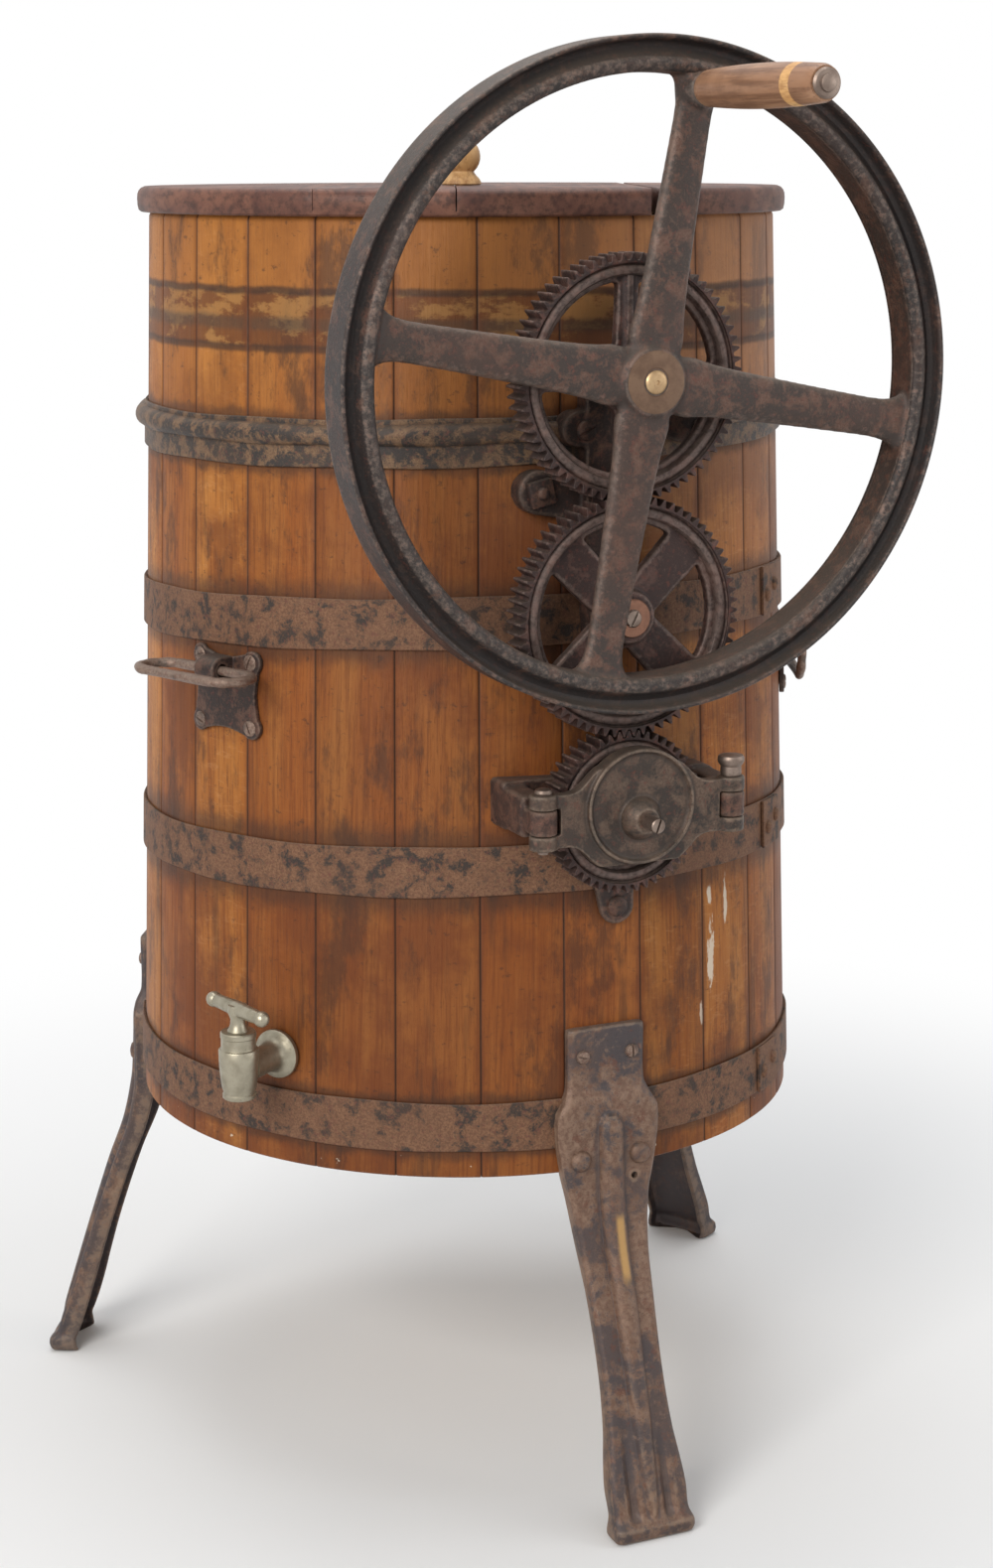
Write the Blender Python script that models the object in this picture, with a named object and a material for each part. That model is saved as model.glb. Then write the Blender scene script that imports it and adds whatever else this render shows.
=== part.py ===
"""Butter churn: a stave barrel on three cast legs, with a flywheel, a three-gear train and a dasher.

Metres, +Z up, with the gear train facing -Y. Everything is modelled about the barrel's axis, and at
the end one empty moves it so that the origin is on the floor, in the middle of the footprint.
Pieces on the barrel are modelled in a station frame, which is local X along the wall, local Y up
and local Z straight out from the barrel's axis.
"""
import math

import bmesh
import bpy
from mathutils import Euler, Matrix, Vector

# Clearances
SEAT_GAP = 0.0003
RUNNING_GAP = 0.0004

# How far a cutter runs past what it cuts, and how far fused shapes run into each other
CUT_REACH = 0.05
OVERLAP = 0.001

# Barrel
STAVE_COUNT = 26
STAVE_FACETS = 2
STAVE_THICKNESS = 0.022
BARREL_BOTTOM_RADIUS = 0.277
BARREL_TOP_RADIUS = 0.2527
BARREL_BOTTOM_Z = 0.2736
BARREL_HEIGHT = 0.7303
CHIME_HEIGHT = 0.008
CHIME_DEPTH = 0.005
HEAD_HEIGHT = 0.0344
HEAD_THICKNESS = 0.018
HEAD_EDGE = 0.008
CROZE_DEPTH = 0.006

# Hoops
HOOP_THICKNESS = 0.003
HOOP_HEIGHT = 0.039
RIM_HOOP_HEIGHT = 0.036
RIM_HOOP_DROP = 0.1784
RIM_HOOP_BEAD = 0.0075
UPPER_HOOP_LIFT = 0.1105
LOWER_HOOP_DROP = 0.0775
FOOT_HOOP_LIFT = 0.0216
RIM_HOOP_TILT = (0.025, 0.0)
UPPER_HOOP_TILT = (0.010, -0.045)
LOWER_HOOP_TILT = (0.008, -0.035)
LEVEL = (0.0, 0.0)
RIM_LAP_ANGLE = 60.0
UPPER_LAP_ANGLE = -46.0
LOWER_LAP_ANGLE = -47.0
FOOT_LAP_ANGLE = -50.0

# Lid
LID_OVERHANG = 0.0093
LID_THICKNESS = 0.0197
LID_EDGE = 0.005
LID_TURN = math.radians(-23.0)
LID_SIDE_WIDTH = 0.123
LID_SPLIT_GAP = 0.0065
BATTEN_SPACING = 0.24
BATTEN_WIDTH = 0.040
BATTEN_THICKNESS = 0.018
BATTEN_END_GAP = 0.01836
KNOB_RADIUS = 0.0165
KNOB_HEIGHT = 0.037

# Legs
LEG_ANGLES = (-90.0, 150.0, 30.0)
LEG_SPLAY = 0.097
LEG_TAB_HEIGHT = 0.1168
LEG_TAB_WALL = 0.0062
LEG_TAB_HALF_WIDTH = 0.0320
LEG_SHOULDER_WALL = 0.0070
LEG_SHOULDER_HALF_WIDTH = 0.0437
LEG_SHAFT_HALF_WIDTH = 0.0303
LEG_FOOT_HALF_WIDTH = 0.0378
LEG_FLANGE = 0.0222
LEG_RIB = 0.0058
LEG_RIB_FOOT = 0.0105
LEG_RIB_CREST = 0.0055
LEG_EDGE_ROUND = 0.003
LEG_BOLT_SPACING = 0.051
LEG_BOLT_LIFT = 0.0114
LEG_BOLT_RADIUS = 0.0085
LEG_WALL = 0.0052
LEG_SEAT_DEPTH = 0.014

# Gear train
GEAR_MODULE = 0.0025
PRESSURE_ANGLE = math.radians(20.0)
BACKLASH = 0.0006
DRIVE_TEETH = 70
IDLER_TEETH = 70
DASHER_TEETH = 48
GEAR_FACE = 0.024
GEAR_RIM = 0.011
GEAR_WEB = 0.009
GEAR_STANDOFF = 0.03278
CRANK_STANDOFF = 0.0435
DRIVE_SPOKE_HALF_WIDTH = 0.008
IDLER_SPOKE_HALF_WIDTH = 0.017
DASHER_SPOKE_HALF_WIDTH = 0.009
GEAR_RIB_WIDTH = 0.006
GEAR_RIB_SET_BACK = 0.004
DRIVE_HUB_RADIUS = 0.021
IDLER_HUB_RADIUS = 0.020
DASHER_HUB_RADIUS = 0.017
DASHER_DROP = 0.07125
CRANK_SEAT_DEPTH = 0.014
CRANK_SHAFT_PROUD = 0.0015
HUB_STEP = 0.0005
CRANK_SHAFT_RADIUS = 0.0085
IDLER_STUD_RADIUS = 0.0085
DASHER_SHAFT_RADIUS = 0.009

# Flywheel
FLYWHEEL_RADIUS = 0.240
FLYWHEEL_RIM_DEPTH = 0.0255
FLYWHEEL_RIM_WIDTH = 0.034
FLYWHEEL_OFFSET = 0.034
FLYWHEEL_LIP = 0.005
FLYWHEEL_CHANNEL = 0.010
FLYWHEEL_HUB_RADIUS = 0.025
FLYWHEEL_HUB_PROJECTION = 0.016
SPOKE_COUNT = 4
SPOKE_TURN = math.radians(80.0)
SPOKE_THICKNESS = 0.015
SPOKE_FORWARD = 0.003
SPOKE_ROOT_WIDTH = 0.033
SPOKE_TIP_WIDTH = 0.0225
SPOKE_FLARE = 0.0245
GRIP_CIRCLE = 0.206
GRIP_BOSS_RADIUS = 0.012
GRIP_LENGTH = 0.160
GRIP_SEAT = 0.002
GRIP_RADIUS = 0.0152
GRIP_END_RADIUS = 0.0125
SPINDLE_RADIUS = 0.005
SPINDLE_CAP_LENGTH = 0.006

# Brackets and yoke
BOSS_LENGTH = 0.012
SPINE_RADIUS = 0.019
SPINE_DROP = 0.012
CRANK_BOSS_RADIUS = 0.020
IDLER_BOSS_RADIUS = 0.020
DASHER_BOSS_RADIUS = 0.026
RIGHT_EAR = (0.076, -0.042)
INNER_EAR = (-0.024, -0.039)
LEFT_EAR = (-0.0533, -0.085)
TAIL_EAR = (0.0095, -0.083)
TAIL_WALL = 0.0054
EAR_RADIUS = 0.0135
LEFT_EAR_RADIUS = 0.0165
LEFT_EAR_SET_BACK = 0.008
CROSS_RADIUS = 0.0183
CROSS_DROP = 0.004
SLEEVE_WALL = 0.0045
YOKE_CLEARANCE = 0.0075
YOKE_THICKNESS = 0.012
YOKE_RADIUS = 0.044
YOKE_RIM = 0.003
YOKE_LIFT = 0.009
YOKE_BOSS_RADIUS = 0.016
HINGE_X = -0.077
LATCH_X = 0.079
ARM_WIDTH = 0.020
ARM_HEIGHT = 0.032
KNUCKLE_HEIGHT = 0.019
KNUCKLE_RADIUS = 0.0105
KNUCKLE_ROOM = 0.0015
LUG_DROP = 0.006
LUG_HEIGHT = 0.042
HINGE_PIN_RADIUS = 0.004
HINGE_PIN_HEAD = 0.0065
LATCH_PIN_RADIUS = 0.0062
LATCH_PIN_COLLAR = 0.0082
LATCH_PIN_BUTTON = 0.0102
LATCH_PIN_HEIGHT = 0.0158
THRUST_SCREW_RADIUS = 0.0055
THRUST_SCREW_PROUD = 0.030
THRUST_SLOT = 0.0016
THRUST_SLOT_TURN = math.radians(70.0)
STUD_WASHER_RADIUS = 0.0145
STUD_WASHER_THICKNESS = 0.0032
STUD_SCREW_RADIUS = 0.0068

# Dasher
DASHER_REACH = 0.165
DASHER_CLEARANCE = 0.032
DASHER_BAR_INSET = 0.030
DASHER_END_GAP = 0.0015
DASHER_BAR_WIDTH = 0.036
DASHER_BAR_DEPTH = 0.022
DASHER_SLAT = 0.060
DASHER_BOARD = 0.016
REAR_BEARING_RADIUS = 0.032
REAR_BEARING_LENGTH = 0.020
REAR_BEARING_BASE = 0.007
REAR_BEARING_NOSE = 0.018
REAR_SOCKET_DEPTH = 0.0135

# Tap
TAP_ANGLE = -145.385
TAP_LIFT = 0.0886
TAP_STANDOFF = 0.05295
TAP_FLANGE_RADIUS = 0.0195
TAP_FLANGE_THICKNESS = 0.0045
TAP_FLANGE_GAP = 0.002
TAP_TAIL_RADIUS = 0.0098
TAP_TAIL_END = 0.004
TAP_NECK_RADIUS = 0.0105
TAP_BODY_RADIUS = 0.0155
TAP_BODY_DROP = 0.0212
TAP_BODY_HEIGHT = 0.0535
TAP_MOUTH_RADIUS = 0.0128
TAP_COLLAR_RADIUS = 0.0132
TAP_OUTLET_RADIUS = 0.0068
TAP_SEAT_LIFT = 0.012
TAP_STEM_RADIUS = 0.0055
TAP_BALL_RADIUS = 0.0058
TAP_PLUG_RADIUS = 0.0082
TAP_BORE_RADIUS = 0.0055
TAP_BAR_LENGTH = 0.078
TAP_BAR_ANGLE = 70.0
TAP_BAR_LIFT = 0.0498

# Carrying handles
LEFT_HANDLE_ANGLE = -157.0
RIGHT_HANDLE_ANGLE = -23.0
HANDLE_DROP = 0.035
HANDLE_PIVOT_LIFT = 0.019
PLATE_HALF_WIDTH = 0.0295
PLATE_HALF_HEIGHT = 0.0255
PLATE_LOBE = 0.009
PLATE_THICKNESS = 0.0042
LUG_STANDOFF = 0.0155
LUG_RADIUS = 0.0105
LUG_WIDTH = 0.022
RING_LENGTH = 0.120
RING_DEPTH = 0.036
RING_BAR_RADIUS = 0.005

BARREL_TOP_Z = BARREL_BOTTOM_Z + BARREL_HEIGHT
HEAD_Z = BARREL_BOTTOM_Z + HEAD_HEIGHT
LID_RADIUS = BARREL_TOP_RADIUS + LID_OVERHANG
LID_SPLIT = LID_RADIUS - LID_SIDE_WIDTH
LID_BOTTOM_Z = BARREL_TOP_Z + SEAT_GAP
LID_TOP_Z = LID_BOTTOM_Z + LID_THICKNESS
HALF_STAVE = math.pi / STAVE_COUNT
FRONT = math.radians(-90.0)
FACET = HALF_STAVE * 2 / STAVE_FACETS
BARREL_SIDES = STAVE_COUNT * STAVE_FACETS


def barrel_radius(z):
    """Outer radius of the staves at a height."""
    share = (z - BARREL_BOTTOM_Z) / BARREL_HEIGHT
    return BARREL_BOTTOM_RADIUS + (BARREL_TOP_RADIUS - BARREL_BOTTOM_RADIUS) * share


DASHER_Z = (BARREL_BOTTOM_Z + BARREL_TOP_Z) / 2 - DASHER_DROP
IDLER_Z = DASHER_Z + (IDLER_TEETH + DASHER_TEETH) * GEAR_MODULE / 2
CRANK_Z = IDLER_Z + (DRIVE_TEETH + IDLER_TEETH) * GEAR_MODULE / 2
GEAR_PLANE_Y = -max(barrel_radius(DASHER_Z) + GEAR_STANDOFF, barrel_radius(CRANK_Z) + CRANK_STANDOFF)
GEAR_BACK_Y = GEAR_PLANE_Y + GEAR_FACE / 2
GEAR_FRONT_Y = GEAR_PLANE_Y - GEAR_FACE / 2
FLYWHEEL_PLANE_Y = GEAR_PLANE_Y - FLYWHEEL_OFFSET
FLYWHEEL_HUB_FRONT_Y = FLYWHEEL_PLANE_Y - FLYWHEEL_HUB_PROJECTION
BRACKET_FRONT_Y = GEAR_BACK_Y + BOSS_LENGTH
YOKE_BACK_Y = GEAR_FRONT_Y - YOKE_CLEARANCE
YOKE_FRONT_Y = YOKE_BACK_Y - YOKE_THICKNESS
YOKE_Z = DASHER_Z + YOKE_LIFT
PIVOT_Y = (YOKE_BACK_Y + YOKE_FRONT_Y) / 2
LUG_Z = YOKE_Z - LUG_DROP
LUG_TOP_Z = LUG_Z + LUG_HEIGHT / 2
LUG_BOTTOM_Z = LUG_Z - LUG_HEIGHT / 2
DASHER_SHAFT_FRONT_Y = YOKE_BACK_Y - YOKE_THICKNESS * 5 / 12
RIM_HOOP_Z = BARREL_TOP_Z - RIM_HOOP_DROP
UPPER_HOOP_Z = DASHER_Z + UPPER_HOOP_LIFT
LOWER_HOOP_Z = DASHER_Z - LOWER_HOOP_DROP
FOOT_HOOP_Z = BARREL_BOTTOM_Z + FOOT_HOOP_LIFT
TAP_Z = BARREL_BOTTOM_Z + TAP_LIFT
TAP_REACH = barrel_radius(TAP_Z) + TAP_STANDOFF
HANDLE_Z = UPPER_HOOP_Z - HANDLE_DROP
HANDLE_PIVOT_Z = HANDLE_Z + HANDLE_PIVOT_LIFT


def inner_radius(z):
    """Inner radius of the staves at a height."""
    return barrel_radius(z) - STAVE_THICKNESS


def polar(radius, angle, z):
    """Point at a radius and an angle round the barrel's axis."""
    return Vector((radius * math.cos(angle), radius * math.sin(angle), z))


def arc(cx, cy, radius, start, end, steps):
    """Points on an arc in a plane, with both ends, angles in degrees."""
    angles = [math.radians(start + (end - start) * i / steps) for i in range(steps + 1)]
    return [(cx + radius * math.cos(a), cy + radius * math.sin(a)) for a in angles]


def clear_scene():
    """Remove every object that the file opened with."""
    for thing in list(bpy.data.objects):
        bpy.data.objects.remove(thing, do_unlink=True)


def material(name, colour, roughness, metallic):
    """Principled material with one colour."""
    made = bpy.data.materials.new(name)
    made.use_nodes = True
    shader = made.node_tree.nodes["Principled BSDF"]
    shader.inputs["Base Color"].default_value = (*colour, 1.0)
    shader.inputs["Roughness"].default_value = roughness
    shader.inputs["Metallic"].default_value = metallic
    return made


class Materials:
    """The churn's materials, made once for all its pieces."""

    def __init__(self):
        self.oak = material("oak", (0.36, 0.16, 0.055), 0.45, 0.0)
        self.inner_oak = material("inner_oak", (0.50, 0.34, 0.19), 0.7, 0.0)
        self.lid_oak = material("lid_oak", (0.17, 0.09, 0.055), 0.5, 0.0)
        self.turned_wood = material("turned_wood", (0.42, 0.24, 0.11), 0.5, 0.0)
        self.hoop_iron = material("hoop_iron", (0.13, 0.08, 0.055), 0.7, 0.5)
        self.cast_iron = material("cast_iron", (0.085, 0.068, 0.062), 0.5, 0.7)
        self.gear_iron = material("gear_iron", (0.075, 0.055, 0.052), 0.55, 0.6)
        self.leg_iron = material("leg_iron", (0.17, 0.10, 0.07), 0.65, 0.4)
        self.steel = material("steel", (0.32, 0.27, 0.22), 0.4, 0.9)
        self.nickel = material("nickel", (0.36, 0.34, 0.27), 0.38, 0.9)


def mesh_object(name, bm, surface):
    """Turn a bmesh into a linked object with outward faces and smooth round sides."""
    bmesh.ops.remove_doubles(bm, verts=bm.verts, dist=1e-6)
    bmesh.ops.recalc_face_normals(bm, faces=bm.faces)
    mesh = bpy.data.meshes.new(name)
    bm.to_mesh(mesh)
    bm.free()
    mesh.shade_smooth()
    mesh.set_sharp_from_angle(angle=math.radians(32.0))
    if surface is not None:
        mesh.materials.append(surface)
    thing = bpy.data.objects.new(name, mesh)
    bpy.context.scene.collection.objects.link(thing)
    return thing


def loft(name, rings, surface=None, closed=False):
    """Skin a row of rings that have the same number of points, with caps unless the row is closed."""
    bm = bmesh.new()
    rows = [[bm.verts.new(p) for p in ring] for ring in rings]
    count = len(rows[0])
    last = len(rows) if closed else len(rows) - 1
    for i in range(last):
        here, there = rows[i], rows[(i + 1) % len(rows)]
        for j in range(count):
            k = (j + 1) % count
            bm.faces.new((here[j], here[k], there[k], there[j]))
    if not closed:
        bm.faces.new(list(reversed(rows[0])))
        bm.faces.new(rows[-1])
    return mesh_object(name, bm, surface)


def lathe(name, profile, segments, surface=None, phase=0.0, hollow=False):
    """Turn a profile of (radius, height) points about local Z.

    A hollow profile is a closed section clear of the axis; any other gets a flat cap at both ends.
    """
    bm = bmesh.new()
    angles = [phase + 2 * math.pi * i / segments for i in range(segments)]
    rows = [[bm.verts.new(polar(r, a, h)) for a in angles] for r, h in profile]
    for i in range(len(rows) if hollow else len(rows) - 1):
        here, there = rows[i], rows[(i + 1) % len(rows)]
        for j in range(segments):
            k = (j + 1) % segments
            bm.faces.new((here[j], here[k], there[k], there[j]))
    if not hollow:
        bm.faces.new(list(reversed(rows[0])))
        bm.faces.new(rows[-1])
    return mesh_object(name, bm, surface)


def rod(name, radius, low, high, surface=None, segments=18, phase=0.0):
    """Plain cylinder along local Z."""
    return lathe(name, [(radius, low), (radius, high)], segments, surface, phase)


def plate(name, outline, low, high, surface=None, holes=()):
    """Flat plate in local XY between two heights, with holes."""
    bm = bmesh.new()
    edges = []
    for loop in (outline, *holes):
        verts = [bm.verts.new((x, y, low)) for x, y in loop]
        edges += [bm.edges.new((verts[i], verts[(i + 1) % len(verts)])) for i in range(len(verts))]
    bmesh.ops.triangle_fill(bm, edges=edges, use_beauty=True, normal=(0.0, 0.0, 1.0))
    lifted = bmesh.ops.extrude_face_region(bm, geom=list(bm.faces), use_keep_orig=True)
    raised = [v for v in lifted["geom"] if isinstance(v, bmesh.types.BMVert)]
    bmesh.ops.translate(bm, verts=raised, vec=(0.0, 0.0, high - low))
    return mesh_object(name, bm, surface)


def box(name, low, high, surface=None):
    """Box between two corners."""
    bm = bmesh.new()
    bmesh.ops.create_cube(bm, size=1.0)
    size = [high[i] - low[i] for i in range(3)]
    middle = [(high[i] + low[i]) / 2 for i in range(3)]
    bmesh.ops.scale(bm, vec=size, verts=bm.verts)
    bmesh.ops.translate(bm, vec=middle, verts=bm.verts)
    return mesh_object(name, bm, surface)


def capsule_outline(start, end, start_radius, end_radius, steps=8):
    """Outline of a bar with two round ends of their own radii."""
    dx, dy = end[0] - start[0], end[1] - start[1]
    length = math.hypot(dx, dy)
    heading = math.degrees(math.atan2(dy, dx))
    lean = math.degrees(math.acos((start_radius - end_radius) / length))
    first = arc(*start, start_radius, heading + lean, heading + 360 - lean, steps)
    second = arc(*end, end_radius, heading - lean, heading + lean, steps)
    return first + second


def place(thing, location=(0.0, 0.0, 0.0), rotation=(0.0, 0.0, 0.0)):
    """Put an object in its place and return it."""
    thing.location = location
    thing.rotation_euler = Euler(rotation)
    return thing


def at_station(thing, angle=FRONT, z=0.0, roll=0.0, turn=0.0):
    """Put an object in the station frame at an angle round the barrel.

    turn spins it about the outward axis, and roll tips it about the wall's own horizontal.
    """
    basis = Euler((math.pi / 2, 0.0, angle + math.pi / 2)).to_matrix()
    spin = Matrix.Rotation(turn, 3, "Z")
    tip = Matrix.Rotation(roll, 3, "X")
    thing.rotation_euler = (basis @ tip @ spin).to_euler()
    thing.location = (0.0, 0.0, z)
    return thing


def combine(base, adds=(), cuts=(), keeps=()):
    """Join, cut or intersect an object with others, which become hidden guides."""
    steps = [("UNION", thing) for thing in adds]
    steps += [("INTERSECT", thing) for thing in keeps]
    steps += [("DIFFERENCE", thing) for thing in cuts]
    for number, (operation, thing) in enumerate(steps):
        modifier = base.modifiers.new(f"{operation.lower()}_{number}", "BOOLEAN")
        modifier.operation = operation
        modifier.solver = "EXACT"
        modifier.object = thing
        thing.hide_render = True
        thing.display_type = "WIRE"
    return base


def hang_on(parent, things):
    """Parent objects to an empty without moving them."""
    bpy.context.view_layer.update()
    for thing in things:
        thing.parent = parent
        thing.matrix_parent_inverse = parent.matrix_world.inverted()


def joint_empty(name, location):
    """Empty on a joint's axis."""
    empty = bpy.data.objects.new(name, None)
    empty.location = location
    empty.empty_display_size = 0.05
    bpy.context.scene.collection.objects.link(empty)
    return empty


def barrel_core(name, offset, low=BARREL_BOTTOM_Z - CUT_REACH, high=BARREL_TOP_Z + CUT_REACH):
    """Solid cone with the staves' facets, at an offset from their outer face."""
    profile = [(barrel_radius(low) + offset, low), (barrel_radius(high) + offset, high)]
    return lathe(name, profile, BARREL_SIDES, phase=FRONT)


def wall_hole(name, radius, z, angle=FRONT):
    """Cutter for a round hole through the wall, square to the barrel's axis."""
    return at_station(rod(name, radius, inner_radius(z) - CUT_REACH, barrel_radius(z) + CUT_REACH), angle, z)


def stave(number, surface):
    """One stave: a tapered wedge with a chime at both ends and a croze for the bottom head."""
    middle = FRONT + number * 2 * HALF_STAVE
    joint_angle = SEAT_GAP / 2 / (BARREL_TOP_RADIUS - STAVE_THICKNESS)
    half = HALF_STAVE - joint_angle
    angles = [middle - half + 2 * half * i / STAVE_FACETS for i in range(STAVE_FACETS + 1)]
    top, bottom = BARREL_TOP_Z, BARREL_BOTTOM_Z
    groove_low = HEAD_Z - HEAD_EDGE / 2 - SEAT_GAP
    groove_high = HEAD_Z + HEAD_EDGE / 2 + SEAT_GAP
    profile = [
        (barrel_radius(bottom), bottom),
        (barrel_radius(top), top),
        (inner_radius(top) + CHIME_DEPTH, top),
        (inner_radius(top - CHIME_HEIGHT), top - CHIME_HEIGHT),
        (inner_radius(groove_high), groove_high),
        (inner_radius(groove_high) + CROZE_DEPTH, groove_high),
        (inner_radius(groove_low) + CROZE_DEPTH, groove_low),
        (inner_radius(groove_low), groove_low),
        (inner_radius(bottom + CHIME_HEIGHT), bottom + CHIME_HEIGHT),
        (inner_radius(bottom) + CHIME_DEPTH, bottom),
    ]
    rings = [[polar(r, a, z) for r, z in profile] for a in angles]
    return loft(f"stave_{number + 1:02d}", rings, surface)


def make_barrel(paints):
    """All staves and the bottom head, with holes where the dasher shaft and the tap pass."""
    staves = [stave(n, paints.oak) for n in range(STAVE_COUNT)]
    combine(staves[0], cuts=[wall_hole("shaft_hole", sleeve_radius() + SEAT_GAP, DASHER_Z)])
    tap_hole = wall_hole("tap_hole", TAP_TAIL_RADIUS + SEAT_GAP, TAP_Z, math.radians(TAP_ANGLE))
    tap_stave = round((TAP_ANGLE + 90.0) / (360.0 / STAVE_COUNT)) % STAVE_COUNT
    combine(staves[tap_stave], cuts=[tap_hole])
    edge = inner_radius(HEAD_Z) + CROZE_DEPTH - SEAT_GAP
    rim = HEAD_EDGE / 2
    slope = HEAD_THICKNESS - HEAD_EDGE
    profile = [(edge, HEAD_Z + rim), (edge, HEAD_Z - rim), (edge - CROZE_DEPTH, HEAD_Z - rim),
               (edge - CROZE_DEPTH - slope, HEAD_Z - rim - slope)]
    lathe("bottom_head", profile, BARREL_SIDES, paints.inner_oak, FRONT)


def sleeve_radius():
    """Outer radius of the lower bracket's sleeve through the wall."""
    return DASHER_SHAFT_RADIUS + SLEEVE_WALL


def hoop_section(height, bead):
    """Hoop section as (offset, height) pairs, the inner face first."""
    inner, outer = SEAT_GAP, SEAT_GAP + HOOP_THICKNESS
    section = [(inner, 0.0), (outer, 0.0)]
    if bead:
        start = height * 0.5
        section += [(outer, start), (outer + bead, start + bead * 0.6), (outer + bead, start + bead * 1.3),
                    (outer, start + bead * 1.9)]
    return section + [(outer, height), (inner, height)]


def hoop(name, z, height, tilt, surface, lap_angle, bead=0.0):
    """Riveted hoop that follows the barrel's taper, also where it sits tilted."""
    lap = round((math.radians(lap_angle) - FRONT) / FACET) % BARREL_SIDES
    rings = []
    for i in range(BARREL_SIDES):
        angle = FRONT + i * FACET
        lapped = HOOP_THICKNESS if i in (lap, (lap + 1) % BARREL_SIDES) and not bead else 0.0
        spot = polar(barrel_radius(z), angle, z)
        lift = tilt[0] * spot.x + tilt[1] * spot.y
        ring = []
        for offset, rise in hoop_section(height, bead):
            level = z + lift + rise
            extra = lapped if offset > SEAT_GAP else 0.0
            ring.append(polar(barrel_radius(level) + offset + extra, angle, level))
        rings.append(ring)
    return loft(name, rings, surface, closed=True)


def make_hoops(paints):
    """The four hoops; the two middle ones have slipped out of level."""
    hoop("rim_hoop", RIM_HOOP_Z, RIM_HOOP_HEIGHT, RIM_HOOP_TILT, paints.hoop_iron, RIM_LAP_ANGLE,
         RIM_HOOP_BEAD)
    hoop("upper_hoop", UPPER_HOOP_Z, HOOP_HEIGHT, UPPER_HOOP_TILT, paints.hoop_iron, UPPER_LAP_ANGLE)
    hoop("lower_hoop", LOWER_HOOP_Z, HOOP_HEIGHT, LOWER_HOOP_TILT, paints.hoop_iron, LOWER_LAP_ANGLE)
    hoop("foot_hoop", FOOT_HOOP_Z, HOOP_HEIGHT, LEVEL, paints.hoop_iron, FOOT_LAP_ANGLE)


def hoop_room(name, z, height, tilt, reach, offset):
    """Space that a hoop takes within a distance of the front, for the castings that cross it."""
    spare = abs(tilt[0]) * reach + HOOP_THICKNESS * 2 / 3
    low = z - tilt[1] * barrel_radius(z) - spare
    high = low + height + 2 * spare
    return barrel_core(name, offset + RUNNING_GAP, low, high)


def make_lid(paints):
    """Lid of boards on two battens, with a side board beyond an open joint, and its knob."""
    radius, top, bottom, edge = LID_RADIUS, LID_TOP_Z, LID_BOTTOM_Z, LID_EDGE
    profile = [(radius - edge * 0.4, bottom), (radius, bottom + edge * 0.6), (radius, top - edge),
               (radius - edge * 0.35, top - edge * 0.3), (radius - edge, top)]
    left = lathe("lid_main", profile, 52, paints.lid_oak)
    right = lathe("lid_side_board", profile, 52, paints.lid_oak)
    far = LID_RADIUS * 1.2
    left_cut = box("lid_main_cut", (LID_SPLIT, -far, bottom - CUT_REACH), (far, far, top + CUT_REACH))
    right_cut = box("lid_side_cut", (-far, -far, bottom - CUT_REACH),
                    (LID_SPLIT + LID_SPLIT_GAP, far, top + CUT_REACH))
    mouth = inner_radius(BARREL_TOP_Z)
    reach = math.sqrt(mouth**2 - ((BATTEN_SPACING + BATTEN_WIDTH) / 2)**2) - BATTEN_END_GAP
    battens = []
    for side in (-1, 1):
        middle = side * BATTEN_SPACING / 2
        low = (-reach, middle - BATTEN_WIDTH / 2, bottom - BATTEN_THICKNESS)
        join = (LID_SPLIT, middle + BATTEN_WIDTH / 2, bottom + 4 * OVERLAP)
        battens.append(box(f"batten_{side}", low, join))
        tail_low = (LID_SPLIT - 4 * OVERLAP, middle - BATTEN_WIDTH / 2, bottom - BATTEN_THICKNESS)
        tail = (reach, middle + BATTEN_WIDTH / 2, bottom - SEAT_GAP)
        battens.append(box(f"batten_tail_{side}", tail_low, tail))
    combine(left, cuts=[left_cut])
    combine(left, adds=battens)
    combine(right, cuts=[right_cut])
    base, height, ball = KNOB_RADIUS, KNOB_HEIGHT, KNOB_RADIUS * 0.92
    low = top + SEAT_GAP
    centre = low + height - ball
    profile = [(base, low), (base, low + height * 0.11), (base * 0.55, low + height * 0.24)]
    for lean in (-50.0, -20.0, 10.0, 40.0, 70.0):
        angle = math.radians(lean)
        profile.append((ball * math.cos(angle), centre + ball * math.sin(angle)))
    knob = lathe("lid_knob", profile, 20, paints.turned_wood)
    parts = [left, right, *battens, left_cut, right_cut, knob]
    for thing in parts:
        place(thing, rotation=(0.0, 0.0, LID_TURN))
    hang_on(joint_empty("lid_lift", (0.0, 0.0, LID_BOTTOM_Z)), parts)


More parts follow.
